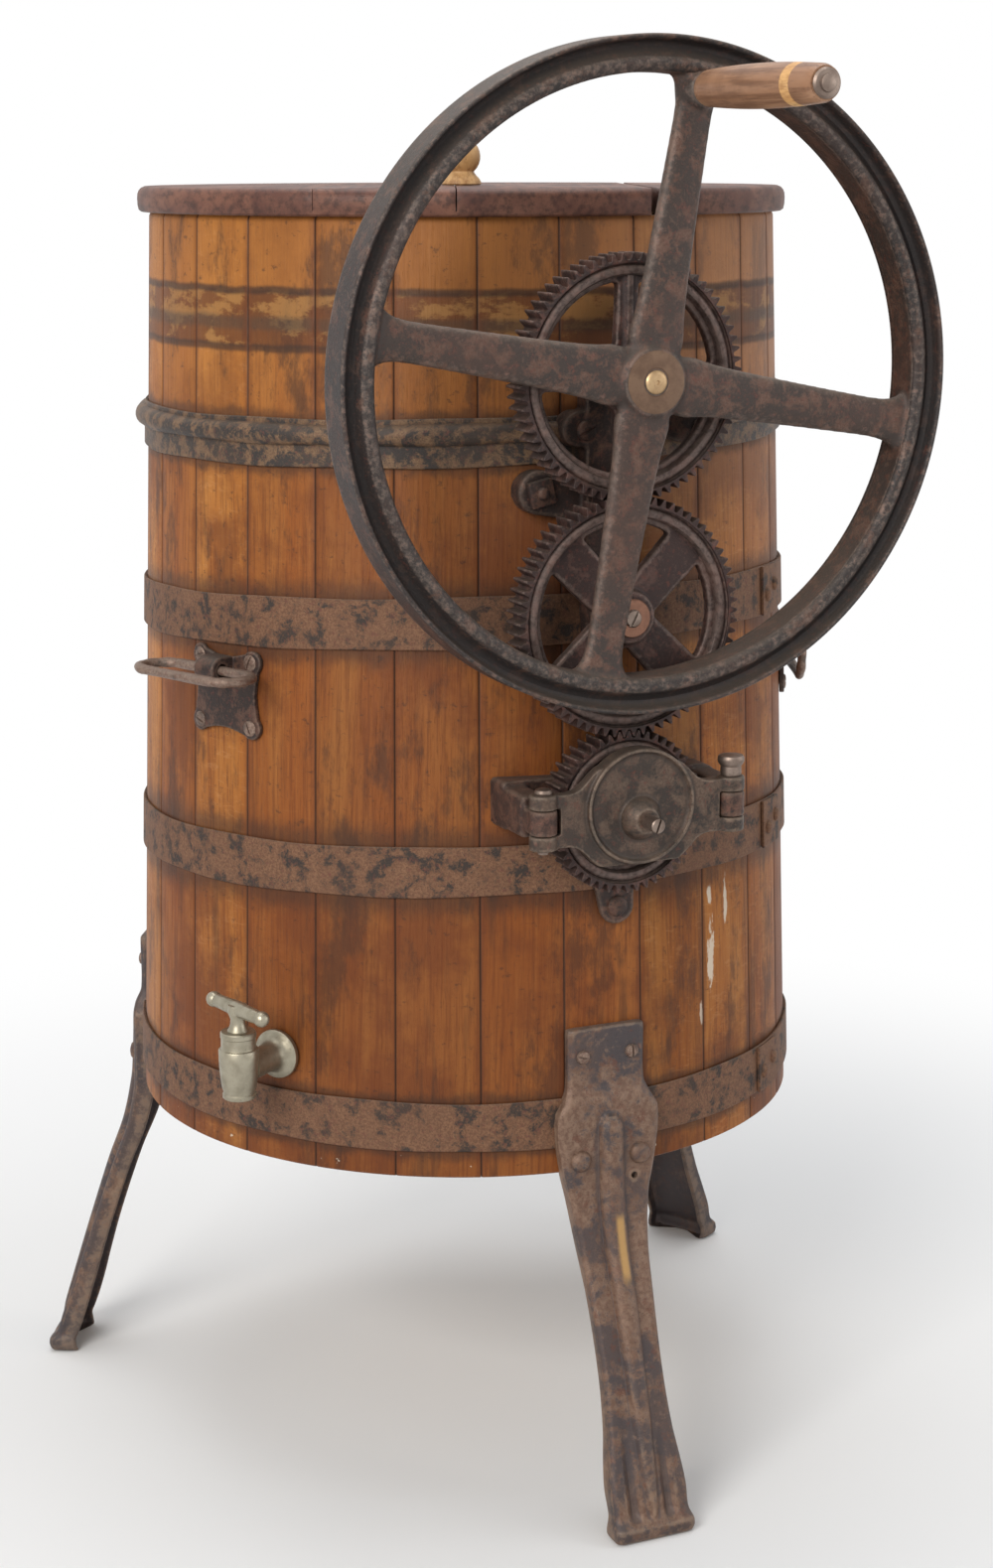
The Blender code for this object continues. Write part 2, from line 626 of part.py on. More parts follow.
def leg_stations():
    """Leg stations as (height, outer face, half width, wall, flange depth, rib height), the top one first."""
    seat, height = LEG_SEAT_DEPTH, BARREL_BOTTOM_Z
    tab_top = BARREL_BOTTOM_Z + LEG_TAB_HEIGHT
    hoop_top = FOOT_HOOP_Z + HOOP_HEIGHT
    shoulder = LEG_SHOULDER_HALF_WIDTH
    flat = LEG_RIB * 0.02

    def wall_station(z, wall, half, rib):
        return z, barrel_radius(z) + wall, half, seat, seat + OVERLAP, rib

    def shaft_station(share, splay, half, wall, flange, rib):
        face = barrel_radius(BARREL_BOTTOM_Z) + LEG_SPLAY * splay
        return height * share, face, half, wall, LEG_FLANGE * flange, LEG_RIB * rib

    def above(share):
        return LEG_SHAFT_HALF_WIDTH + (LEG_SHOULDER_HALF_WIDTH - LEG_SHAFT_HALF_WIDTH) * share

    def below(share):
        return LEG_SHAFT_HALF_WIDTH + (LEG_FOOT_HALF_WIDTH - LEG_SHAFT_HALF_WIDTH) * share

    over_hoop = HOOP_THICKNESS + LEG_TAB_WALL
    thick = HOOP_THICKNESS + LEG_SHOULDER_WALL
    return [
        wall_station(tab_top, LEG_TAB_WALL, LEG_TAB_HALF_WIDTH, flat),
        wall_station(hoop_top + LEG_WALL * 2, LEG_TAB_WALL * 0.85, LEG_TAB_HALF_WIDTH * 1.03, flat),
        wall_station(hoop_top - OVERLAP, over_hoop, shoulder * 0.85, flat),
        wall_station(hoop_top - HOOP_HEIGHT / 3, thick, shoulder * 0.97, LEG_RIB * 0.2),
        wall_station(hoop_top - HOOP_HEIGHT * 0.54, thick, shoulder, LEG_RIB * 0.9),
        shaft_station(0.994, 0.105, above(0.65), seat, 0.81, 1.03),
        shaft_station(0.9225, 0.124, above(0.39), LEG_WALL * 1.5, 0.90, 1.0),
        shaft_station(0.785, 0.212, above(0.16), LEG_WALL, 0.95, 0.97),
        shaft_station(0.645, 0.366, above(0.05), LEG_WALL, 0.97, 0.93),
        shaft_station(0.439, 0.567, above(0.0), LEG_WALL, 1.0, 0.83),
        shaft_station(0.263, 0.732, below(0.09), LEG_WALL, 1.01, 0.74),
        shaft_station(0.132, 0.866, below(0.63), LEG_WALL, 0.99, 0.69),
        shaft_station(0.066, 0.918, below(0.65), LEG_WALL, 0.90, 0.59),
        shaft_station(0.0475, 0.979, below(0.92), LEG_WALL * 2.1, 1.08, 0.17),
        shaft_station(0.0183, 1.0, below(1.0), LEG_WALL * 2.5, 1.13, 0.07),
        shaft_station(0.0, 0.974, below(0.87), LEG_WALL * 2.1, 1.04, 0.05),
    ]


def leg_section(z, face, half, wall, flange, rib):
    """Channel section of a leg with a central rib, in the station frame."""
    foot, crest, chamfer = LEG_RIB_FOOT, LEG_RIB_CREST, LEG_EDGE_ROUND
    inner = half - LEG_WALL
    outline = [(-half, -chamfer * 2 / 3), (-half + chamfer, 0.0), (-foot, 0.0), (-crest, rib), (crest, rib),
               (foot, 0.0), (half - chamfer, 0.0), (half, -chamfer * 2 / 3), (half, -flange), (inner, -flange),
               (inner, -wall), (-inner, -wall), (-inner, -flange), (-half, -flange)]
    return [Vector((x, z, face + y)) for x, y in outline]


def make_leg(number, angle, paints):
    """One cast leg with its tab over the foot hoop and two domed bolts."""
    leg = loft(f"leg_{number}", [leg_section(*s) for s in leg_stations()], paints.leg_iron)
    bolts = []
    face = barrel_radius(FOOT_HOOP_Z) + HOOP_THICKNESS + LEG_TAB_WALL
    radius = LEG_BOLT_RADIUS
    for side in (-1, 1):
        dome = [(radius, -4 * OVERLAP), (radius, OVERLAP), (radius * 0.75, radius * 0.53),
                (radius * 0.3, radius * 0.73)]
        bolt = lathe(f"leg_{number}_bolt_{side}", dome, 12)
        spot = (side * LEG_BOLT_SPACING / 2, BARREL_BOTTOM_Z + LEG_BOLT_LIFT, face)
        bolt.data.transform(Matrix.Translation(spot))
        bolts.append(bolt)
    wall = barrel_core(f"leg_{number}_wall", SEAT_GAP, BARREL_BOTTOM_Z - SEAT_GAP)
    band = barrel_core(f"leg_{number}_band", HOOP_THICKNESS + 2 * SEAT_GAP,
                       FOOT_HOOP_Z - RUNNING_GAP, FOOT_HOOP_Z + HOOP_HEIGHT + RUNNING_GAP)
    for thing in (leg, *bolts):
        at_station(thing, math.radians(angle))
    combine(leg, adds=bolts, cuts=[wall, band])


def gear_outline(teeth, phase):
    """Outline of an involute gear with a tooth centred at the phase angle."""
    pitch = teeth * GEAR_MODULE / 2
    base = pitch * math.cos(PRESSURE_ANGLE)
    root, tip = pitch - 1.25 * GEAR_MODULE, pitch + GEAR_MODULE
    thickness = math.pi * GEAR_MODULE / 2 - BACKLASH

    def half_angle(radius):
        flank = math.acos(base / radius)
        return thickness / (2 * pitch) + involute(PRESSURE_ANGLE) - involute(flank)

    points = []
    for tooth in range(teeth):
        middle = phase + 2 * math.pi * tooth / teeth
        for radius, side in ((root, -1), (tip, -1), (tip, 1), (root, 1)):
            angle = middle + side * half_angle(radius)
            points.append((radius * math.cos(angle), radius * math.sin(angle)))
    return points


def ring_outline(radius, count):
    """Outline of a circle, started off the axes so that its corners meet no other circle's."""
    start = 360.0 / count / 3
    return arc(0.0, 0.0, radius, start, start + 360.0 - 360.0 / count, count - 1)


def involute(angle):
    """Involute function of a pressure angle."""
    return math.tan(angle) - angle


def sector_hole(inner, outer, middle, half_width, steps=5):
    """Opening between two spokes: an arc outside, an arc inside and straight sides along the spokes."""
    outer_half = 180.0 / SPOKE_COUNT - math.degrees(math.asin(half_width / outer))
    inner_half = max(180.0 / SPOKE_COUNT - math.degrees(math.asin(min(half_width * 1.25 / inner, 0.7))), 4.0)
    first = arc(0.0, 0.0, outer, middle - outer_half, middle + outer_half, steps)
    second = arc(0.0, 0.0, inner, middle + inner_half, middle - inner_half, 2)
    return first + second


def gear(name, teeth, phase, hub_radius, hub_low, hub_high, bore, surface, spoke_half, spoke_turn, ribbed):
    """Spoked gear in the station frame, its middle plane at local Z = 0."""
    pitch = teeth * GEAR_MODULE / 2
    rim_inner = pitch - 1.25 * GEAR_MODULE - GEAR_RIM
    half, web = GEAR_FACE / 2, GEAR_WEB / 2
    rim = plate(name, gear_outline(teeth, phase), -half, half, surface, [ring_outline(rim_inner, 32)])
    holes = []
    for i in range(SPOKE_COUNT):
        middle = math.degrees(spoke_turn) + (i + 0.5) * 360.0 / SPOKE_COUNT
        holes.append(sector_hole(hub_radius + 4 * OVERLAP, rim_inner - 4 * OVERLAP, middle, spoke_half))
    web_plate = plate(f"{name}_web", ring_outline(rim_inner + GEAR_RIM / 4, 28), -web, web, None, holes)
    hub = rod(f"{name}_hub", hub_radius, hub_low, hub_high, phase=FACET / 3)
    adds = [web_plate, hub]
    if ribbed:
        for i in range(2):
            turn = spoke_turn + i * math.pi / 2
            reach = rim_inner + GEAR_RIM / 3
            side, deep = GEAR_RIB_WIDTH / 2, half - GEAR_RIB_SET_BACK
            rib = box(f"{name}_rib_{i}", (-reach, -side, -deep), (reach, side, deep))
            rib.data.transform(Matrix.Rotation(turn, 4, "Z"))
            adds.append(rib)
    hole = rod(f"{name}_bore", bore + SEAT_GAP, hub_low - CUT_REACH, hub_high + CUT_REACH, segments=16)
    return combine(rim, adds=adds, cuts=[hole]), [*adds, hole]


def make_drive(paints):
    """Flywheel, crank shaft, drive gear and the turning grip."""
    down = math.radians(-90.0)
    drive, guides = gear("drive_gear", DRIVE_TEETH, down, DRIVE_HUB_RADIUS, -GEAR_FACE / 2,
                         GEAR_FACE / 2 + HUB_STEP, CRANK_SHAFT_RADIUS, paints.gear_iron,
                         DRIVE_SPOKE_HALF_WIDTH, 0.0, True)
    for thing in (drive, *guides):
        place(thing, (0.0, GEAR_PLANE_Y, CRANK_Z), (math.pi / 2, 0.0, 0.0))
    wheel, wheel_guides = make_flywheel(paints)
    shaft_back = BRACKET_FRONT_Y + CRANK_SEAT_DEPTH
    length = shaft_back - FLYWHEEL_HUB_FRONT_Y + CRANK_SHAFT_PROUD
    shaft = rod("crank_shaft", CRANK_SHAFT_RADIUS, 0.0, length, paints.steel)
    place(shaft, (0.0, shaft_back, CRANK_Z), (math.pi / 2, 0.0, 0.0))
    grip = make_grip(paints)
    parts = [drive, *guides, wheel, *wheel_guides, shaft, grip]
    hang_on(joint_empty("crank_axis", (0.0, GEAR_PLANE_Y, CRANK_Z)), parts)


def flywheel_rim_profile():
    """Rim section: two lips with a channel between them on the front face, and a flat back."""
    outer, inner = FLYWHEEL_RADIUS, FLYWHEEL_RADIUS - FLYWHEEL_RIM_DEPTH
    half, lip, deep = FLYWHEEL_RIM_WIDTH / 2, FLYWHEEL_LIP, FLYWHEEL_CHANNEL
    foot = lip * 1.4
    return [(outer, -half), (outer, half), (outer - lip, half), (outer - foot, half - deep),
            (inner + foot, half - deep), (inner + lip, half), (inner, half), (inner, -half)]


def spoke(number):
    """Tapered oval spoke that flares into the hub and the rim."""
    rim_inner = FLYWHEEL_RADIUS - FLYWHEEL_RIM_DEPTH
    hub, root, tip, flare = FLYWHEEL_HUB_RADIUS, SPOKE_ROOT_WIDTH, SPOKE_TIP_WIDTH, SPOKE_FLARE
    stations = [(hub * 0.64, root * 0.85, 1.2), (hub * 1.2, root * 1.29, 1.15), (hub * 2.08, root, 1.0),
                (rim_inner - flare, tip, 0.85), (rim_inner - flare * 0.35, tip * 1.2, 0.9),
                (rim_inner + 4 * OVERLAP, tip * 1.87, 1.0)]
    rings = []
    for reach, width, share in stations:
        ring = []
        for i in range(8):
            angle = 2 * math.pi * (i + 0.5) / 8
            across = width / 2 * math.cos(angle)
            deep = SPOKE_THICKNESS * share / 2 * math.sin(angle)
            ring.append(Vector((reach, across, SPOKE_FORWARD + deep)))
        rings.append(ring)
    made = loft(f"spoke_{number}", rings)
    turn = SPOKE_TURN + 2 * math.pi * number / SPOKE_COUNT
    made.data.transform(Matrix.Rotation(turn, 4, "Z"))
    return made


def make_flywheel(paints):
    """Flywheel with four spokes, its hub and the riveted spindle that carries the grip."""
    wheel = lathe("flywheel", flywheel_rim_profile(), 44, paints.cast_iron, hollow=True)
    hub_front = FLYWHEEL_PLANE_Y - FLYWHEEL_HUB_FRONT_Y
    hub_back = FLYWHEEL_PLANE_Y - (GEAR_FRONT_Y - HUB_STEP - SEAT_GAP)
    hub = rod("flywheel_hub", FLYWHEEL_HUB_RADIUS, hub_back, hub_front, segments=24, phase=FACET / 3)
    spokes = [spoke(n) for n in range(SPOKE_COUNT)]
    spot = polar(GRIP_CIRCLE, SPOKE_TURN, 0.0)
    boss_face = FLYWHEEL_RIM_WIDTH / 2 + GRIP_SEAT
    start = boss_face + RUNNING_GAP
    end = start + GRIP_LENGTH + RUNNING_GAP
    cap = GRIP_END_RADIUS * 0.96
    boss = GRIP_BOSS_RADIUS
    profile = [(boss, -SPOKE_THICKNESS * 0.4), (boss, boss_face), (SPINDLE_RADIUS, boss_face),
               (SPINDLE_RADIUS, end), (cap, end), (cap, end + SPINDLE_CAP_LENGTH * 0.6),
               (cap * 0.6, end + SPINDLE_CAP_LENGTH)]
    spindle = lathe("grip_spindle", profile, 16)
    spindle.data.transform(Matrix.Translation(spot))
    bore = rod("flywheel_bore", CRANK_SHAFT_RADIUS + SEAT_GAP, -CUT_REACH, CUT_REACH, segments=16)
    combine(wheel, adds=[hub, *spokes, spindle], cuts=[bore])
    guides = [hub, *spokes, spindle, bore]
    for thing in (wheel, *guides):
        place(thing, (0.0, FLYWHEEL_PLANE_Y, CRANK_Z), (math.pi / 2, 0.0, 0.0))
    return wheel, guides


def make_grip(paints):
    """Turned wooden grip that spins on the spindle."""
    hole = SPINDLE_RADIUS + RUNNING_GAP
    waist, belly, length = GRIP_END_RADIUS, GRIP_RADIUS, GRIP_LENGTH
    chamfer = waist * 0.16
    profile = [(hole, 0.0), (waist - chamfer, 0.0), (waist, chamfer * 1.5)]
    for step in range(1, 5):
        share = step / 5
        profile.append((waist + (belly - waist) * math.sin(math.pi * share), length * share))
    profile += [(waist, length - chamfer), (waist - chamfer / 2, length), (hole, length)]
    grip = lathe("grip", profile, 18, paints.turned_wood, hollow=True)
    spot = polar(GRIP_CIRCLE, SPOKE_TURN, 0.0)
    start_y = FLYWHEEL_PLANE_Y - FLYWHEEL_RIM_WIDTH / 2 - GRIP_SEAT - RUNNING_GAP
    return place(grip, (spot.x, start_y, CRANK_Z + spot.y), (math.pi / 2, 0.0, 0.0))


def make_idler(paints):
    """Idler gear on its fixed stud, held by a washer and a screw in one."""
    up = math.radians(90.0) + math.pi / IDLER_TEETH
    front = GEAR_FACE / 2 + 2 * HUB_STEP
    idler, guides = gear("idler_gear", IDLER_TEETH, up, IDLER_HUB_RADIUS, -GEAR_FACE / 2, front,
                         IDLER_STUD_RADIUS + RUNNING_GAP - SEAT_GAP, paints.gear_iron,
                         IDLER_SPOKE_HALF_WIDTH, math.pi / 4, False)
    for thing in (idler, *guides):
        place(thing, (0.0, GEAR_PLANE_Y, IDLER_Z), (math.pi / 2, 0.0, 0.0))
    hang_on(joint_empty("idler_axis", (0.0, GEAR_PLANE_Y, IDLER_Z)), [idler, *guides])
    back = GEAR_PLANE_Y + barrel_radius(IDLER_Z - IDLER_STUD_RADIUS) + HOOP_THICKNESS + 3 * SEAT_GAP
    washer = front + RUNNING_GAP
    face = washer + STUD_WASHER_THICKNESS
    profile = [(IDLER_STUD_RADIUS, back), (IDLER_STUD_RADIUS, washer), (STUD_WASHER_RADIUS, washer),
               (STUD_WASHER_RADIUS, face), (STUD_SCREW_RADIUS, face),
               (STUD_SCREW_RADIUS * 0.9, face + STUD_SCREW_RADIUS * 0.38)]
    stud = lathe("idler_stud", profile, 20, paints.steel)
    place(stud, (0.0, GEAR_PLANE_Y, IDLER_Z), (math.pi / 2, 0.0, 0.0))


def make_dasher(paints):
    """Dasher gear outside the wall, and the shaft with two crossed wooden frames inside."""
    up = math.radians(90.0)
    hub_front = GEAR_PLANE_Y - YOKE_BACK_Y - YOKE_RIM - RUNNING_GAP
    wheel, guides = gear("dasher_gear", DASHER_TEETH, up, DASHER_HUB_RADIUS, -GEAR_FACE / 2, hub_front,
                         DASHER_SHAFT_RADIUS, paints.gear_iron, DASHER_SPOKE_HALF_WIDTH, math.pi / 4, False)
    for thing in (wheel, *guides):
        place(thing, (0.0, GEAR_PLANE_Y, DASHER_Z), (math.pi / 2, 0.0, 0.0))
    rear = inner_radius(DASHER_Z) - REAR_BEARING_LENGTH + REAR_SOCKET_DEPTH - DASHER_END_GAP
    length = rear - DASHER_SHAFT_FRONT_Y
    shaft = rod("dasher_shaft", DASHER_SHAFT_RADIUS, 0.0, length, paints.steel)
    place(shaft, (0.0, rear, DASHER_Z), (math.pi / 2, 0.0, 0.0))
    frames = [dasher_frame(number, paints) for number in (1, 2)]
    parts = [wheel, *guides, shaft]
    for frame, frame_guides in frames:
        parts += [frame, *frame_guides]
    hang_on(joint_empty("dasher_axis", (0.0, GEAR_PLANE_Y, DASHER_Z)), parts)


def dasher_frame(number, paints):
    """Wooden frame of two slats on two cross bars; the second is halved on to the first."""
    reach = DASHER_REACH
    half = math.sqrt((inner_radius(DASHER_Z) - DASHER_CLEARANCE)**2 - reach**2)
    bar, depth = DASHER_BAR_WIDTH / 2, DASHER_BAR_DEPTH / 2
    board = DASHER_BOARD / 2
    slats = []
    for side in (-1, 1):
        outer = side * reach
        inner = side * (reach - DASHER_SLAT)
        low, high = min(outer, inner), max(outer, inner)
        slats.append(box(f"dasher_{number}_slat_{side}", (low, -half, -board), (high, half, board)))
    bars = []
    for side in (-1, 1):
        middle = side * (half - DASHER_BAR_INSET) + (depth if number == 1 else -depth)
        low, high = middle - depth + SEAT_GAP / 2, middle + depth - SEAT_GAP / 2
        end = reach - DASHER_SLAT / 6
        bars.append(box(f"dasher_{number}_bar_{side}", (-end, low, -bar), (end, high, bar)))
    frame = bars[0]
    frame.name = f"dasher_frame_{number}"
    frame.data.materials.append(paints.inner_oak)
    hole = rod(f"dasher_{number}_hole", DASHER_SHAFT_RADIUS + SEAT_GAP, -BARREL_TOP_RADIUS, BARREL_TOP_RADIUS)
    hole.data.transform(Matrix.Rotation(math.pi / 2, 4, "X"))
    guides = [bars[1], *slats, hole]
    turn = math.pi / 4 + (number - 1) * math.pi / 2
    for thing in (frame, *guides):
        place(thing, (0.0, 0.0, DASHER_Z), (0.0, turn, 0.0))
    combine(frame, adds=guides[:-1], cuts=[hole])
    return frame, guides


def make_rear_bearing(paints):
    """Socket on the inside of the rear wall that carries the dasher shaft's end."""
    wall = inner_radius(DASHER_Z)
    start, nose = wall - REAR_BEARING_LENGTH, REAR_BEARING_NOSE
    base = wall - REAR_BEARING_BASE
    profile = [(nose, start), (nose * 1.1, start + nose / 6), (nose * 1.2, base - OVERLAP),
               (REAR_BEARING_RADIUS, base), (REAR_BEARING_RADIUS, wall + STAVE_THICKNESS / 2)]
    block = lathe("rear_bearing", profile, 24, paints.cast_iron)
    at_station(block, -FRONT, DASHER_Z)
    socket = rod("rear_socket", DASHER_SHAFT_RADIUS + RUNNING_GAP, start - CUT_REACH, start + REAR_SOCKET_DEPTH)
    at_station(socket, -FRONT, DASHER_Z)
    room = barrel_core("rear_room", -STAVE_THICKNESS - SEAT_GAP)
    combine(block, keeps=[room], cuts=[socket])


def bracket_bar(name, start, end, start_radius, end_radius, front):
    """Bar of a wall bracket, from inside the barrel to its front face."""
    outline = capsule_outline(start, end, start_radius, end_radius)
    return at_station(plate(name, outline, BARREL_TOP_RADIUS / 2, front))


def bracket_boss(name, radius, z):
    """Round boss of a wall bracket, up to the gears' back face."""
    return at_station(rod(name, radius, BARREL_TOP_RADIUS / 2, -GEAR_BACK_Y - SEAT_GAP, segments=24), z=z)


def make_upper_bracket(paints):
    """Casting that carries the crank shaft and the idler stud on the wall."""
    face = -BRACKET_FRONT_Y
    spine = bracket_bar("upper_bracket", (0.0, CRANK_Z - OVERLAP), (0.0, IDLER_Z - SPINE_DROP), SPINE_RADIUS,
                        SPINE_RADIUS - HUB_STEP, face)
    spine.data.materials.append(paints.cast_iron)
    ears = []
    for label, ear, root_share, root, end, front in (
            ("right", RIGHT_EAR, 0.48, EAR_RADIUS * 1.18, EAR_RADIUS, face - HUB_STEP),
            ("inner", INNER_EAR, 1.03, EAR_RADIUS * 0.9, EAR_RADIUS, face - 2 * HUB_STEP),
            ("left", LEFT_EAR, 1.1, LEFT_EAR_RADIUS * 1.03, LEFT_EAR_RADIUS, face - LEFT_EAR_SET_BACK)):
        start = (0.0, CRANK_Z + ear[1] * root_share)
        ears.append(bracket_bar(f"ear_{label}", start, (ear[0], CRANK_Z + ear[1]), root, end, front))
    bosses = [bracket_boss("crank_boss", CRANK_BOSS_RADIUS, CRANK_Z),
              bracket_boss("idler_boss", IDLER_BOSS_RADIUS, IDLER_Z)]
    wall = barrel_core("upper_bracket_wall", SEAT_GAP)
    bead = HOOP_THICKNESS + RIM_HOOP_BEAD + SEAT_GAP
    ear_reach = RIGHT_EAR[0] + EAR_RADIUS
    rim_room = hoop_room("rim_hoop_room", RIM_HOOP_Z, RIM_HOOP_HEIGHT, RIM_HOOP_TILT, ear_reach, bead)
    upper_room = hoop_room("upper_hoop_room", UPPER_HOOP_Z, HOOP_HEIGHT, UPPER_HOOP_TILT, SPINE_RADIUS,
                           HOOP_THICKNESS + SEAT_GAP)
    crank_bore = rod("crank_bore", CRANK_SHAFT_RADIUS + RUNNING_GAP, face - CRANK_SEAT_DEPTH - HUB_STEP,
                     face + CUT_REACH)
    stud_bore = rod("stud_bore", IDLER_STUD_RADIUS + SEAT_GAP, inner_radius(IDLER_Z), face + CUT_REACH)
    at_station(crank_bore, z=CRANK_Z)
    at_station(stud_bore, z=IDLER_Z)
    combine(spine, adds=[*ears, *bosses], cuts=[wall, rim_room, upper_room, crank_bore, stud_bore])


def make_lower_bracket(paints):
    """Casting round the dasher shaft, with its wall sleeve and the arms that carry the yoke."""
    level = YOKE_Z - CROSS_DROP
    cross = bracket_bar("lower_bracket", (HINGE_X, level), (LATCH_X, level), CROSS_RADIUS,
                        CROSS_RADIUS - HUB_STEP, -BRACKET_FRONT_Y)
    cross.data.materials.append(paints.cast_iron)
    tail_end = (TAIL_EAR[0], DASHER_Z + TAIL_EAR[1])
    tail_front = barrel_radius(tail_end[1]) + TAIL_WALL
    tail = bracket_bar("lower_tail", (0.0, DASHER_Z), tail_end, DASHER_BOSS_RADIUS - 4 * HUB_STEP, EAR_RADIUS,
                       tail_front)
    boss = bracket_boss("dasher_boss", DASHER_BOSS_RADIUS, DASHER_Z)
    sleeve = at_station(rod("wall_sleeve", sleeve_radius(), inner_radius(DASHER_Z) - OVERLAP,
                            barrel_radius(DASHER_Z) + 3 * OVERLAP), z=DASHER_Z)
    knuckle_low, knuckle_high = LUG_Z - KNUCKLE_HEIGHT / 2, LUG_Z + KNUCKLE_HEIGHT / 2
    adds = [tail, boss]
    bores = []
    for label, x, pin in (("hinge", HINGE_X, HINGE_PIN_RADIUS), ("latch", LATCH_X, LATCH_PIN_RADIUS)):
        outward = math.copysign(1.0, x)
        side = x + outward * KNUCKLE_RADIUS
        low_x, high_x = sorted((side, side - outward * ARM_WIDTH))
        arm_front = PIVOT_Y + KNUCKLE_RADIUS + 4 * OVERLAP
        adds.append(box(f"{label}_arm", (low_x, arm_front, level - ARM_HEIGHT * 0.53),
                        (high_x, -barrel_radius(YOKE_Z) + ARM_HEIGHT, level + ARM_HEIGHT * 0.47)))
        neck_x = sorted((side - outward * HUB_STEP * 1.6, side - outward * (ARM_WIDTH - OVERLAP)))
        adds.append(box(f"{label}_neck", (neck_x[0], PIVOT_Y, knuckle_low + HUB_STEP * 1.2),
                        (neck_x[1], PIVOT_Y + ARM_WIDTH, knuckle_high - HUB_STEP * 1.2)))
        knuckle = rod(f"{label}_knuckle", KNUCKLE_RADIUS, knuckle_low, knuckle_high)
        adds.append(place(knuckle, (x, PIVOT_Y, 0.0)))
        bores.append(pin_hole(f"{label}_bore", x, pin))
    wall = barrel_core("lower_bracket_wall", SEAT_GAP)
    lower_room = hoop_room("lower_hoop_room", LOWER_HOOP_Z, HOOP_HEIGHT, LOWER_HOOP_TILT, SPINE_RADIUS,
                           HOOP_THICKNESS + SEAT_GAP)
    shaft_bore = wall_hole("dasher_bore", DASHER_SHAFT_RADIUS + RUNNING_GAP, DASHER_Z)
    combine(cross, adds=adds, cuts=[wall, lower_room])
    combine(cross, adds=[sleeve], cuts=[shaft_bore, *bores])


def pin_hole(name, x, pin):
    """Cutter for an upright pin of the yoke."""
    hole = rod(name, pin + SEAT_GAP, LUG_BOTTOM_Z - CUT_REACH, LUG_TOP_Z + CUT_REACH, segments=16)
    return place(hole, (x, PIVOT_Y, 0.0))


def yoke_arm_outline():
    """Outline of both arms: straight at the lugs, then flaring into the disc."""
    rise = LUG_HEIGHT / 2 - HUB_STEP * 1.6
    inset = KNUCKLE_RADIUS * 2
    root_x, root_y = YOKE_RADIUS * 0.68, YOKE_RADIUS * 0.773
    lower = [(HINGE_X, LUG_Z - rise), (HINGE_X + inset, LUG_Z - rise - HUB_STEP),
             (-YOKE_RADIUS, LUG_Z - rise * 1.25), (-root_x, YOKE_Z - root_y), (root_x, YOKE_Z - root_y),
             (YOKE_RADIUS, LUG_Z - rise * 1.25), (LATCH_X - inset, LUG_Z - rise - HUB_STEP),
             (LATCH_X, LUG_Z - rise)]
    upper = [(LATCH_X, LUG_Z + rise), (LATCH_X - inset, LUG_Z + rise + HUB_STEP),
             (YOKE_RADIUS, LUG_Z + rise * 1.25), (root_x, YOKE_Z + root_y), (-root_x, YOKE_Z + root_y),
             (-YOKE_RADIUS, LUG_Z + rise * 1.25), (HINGE_X + inset, LUG_Z + rise + HUB_STEP),
             (HINGE_X, LUG_Z + rise)]
    return lower + upper


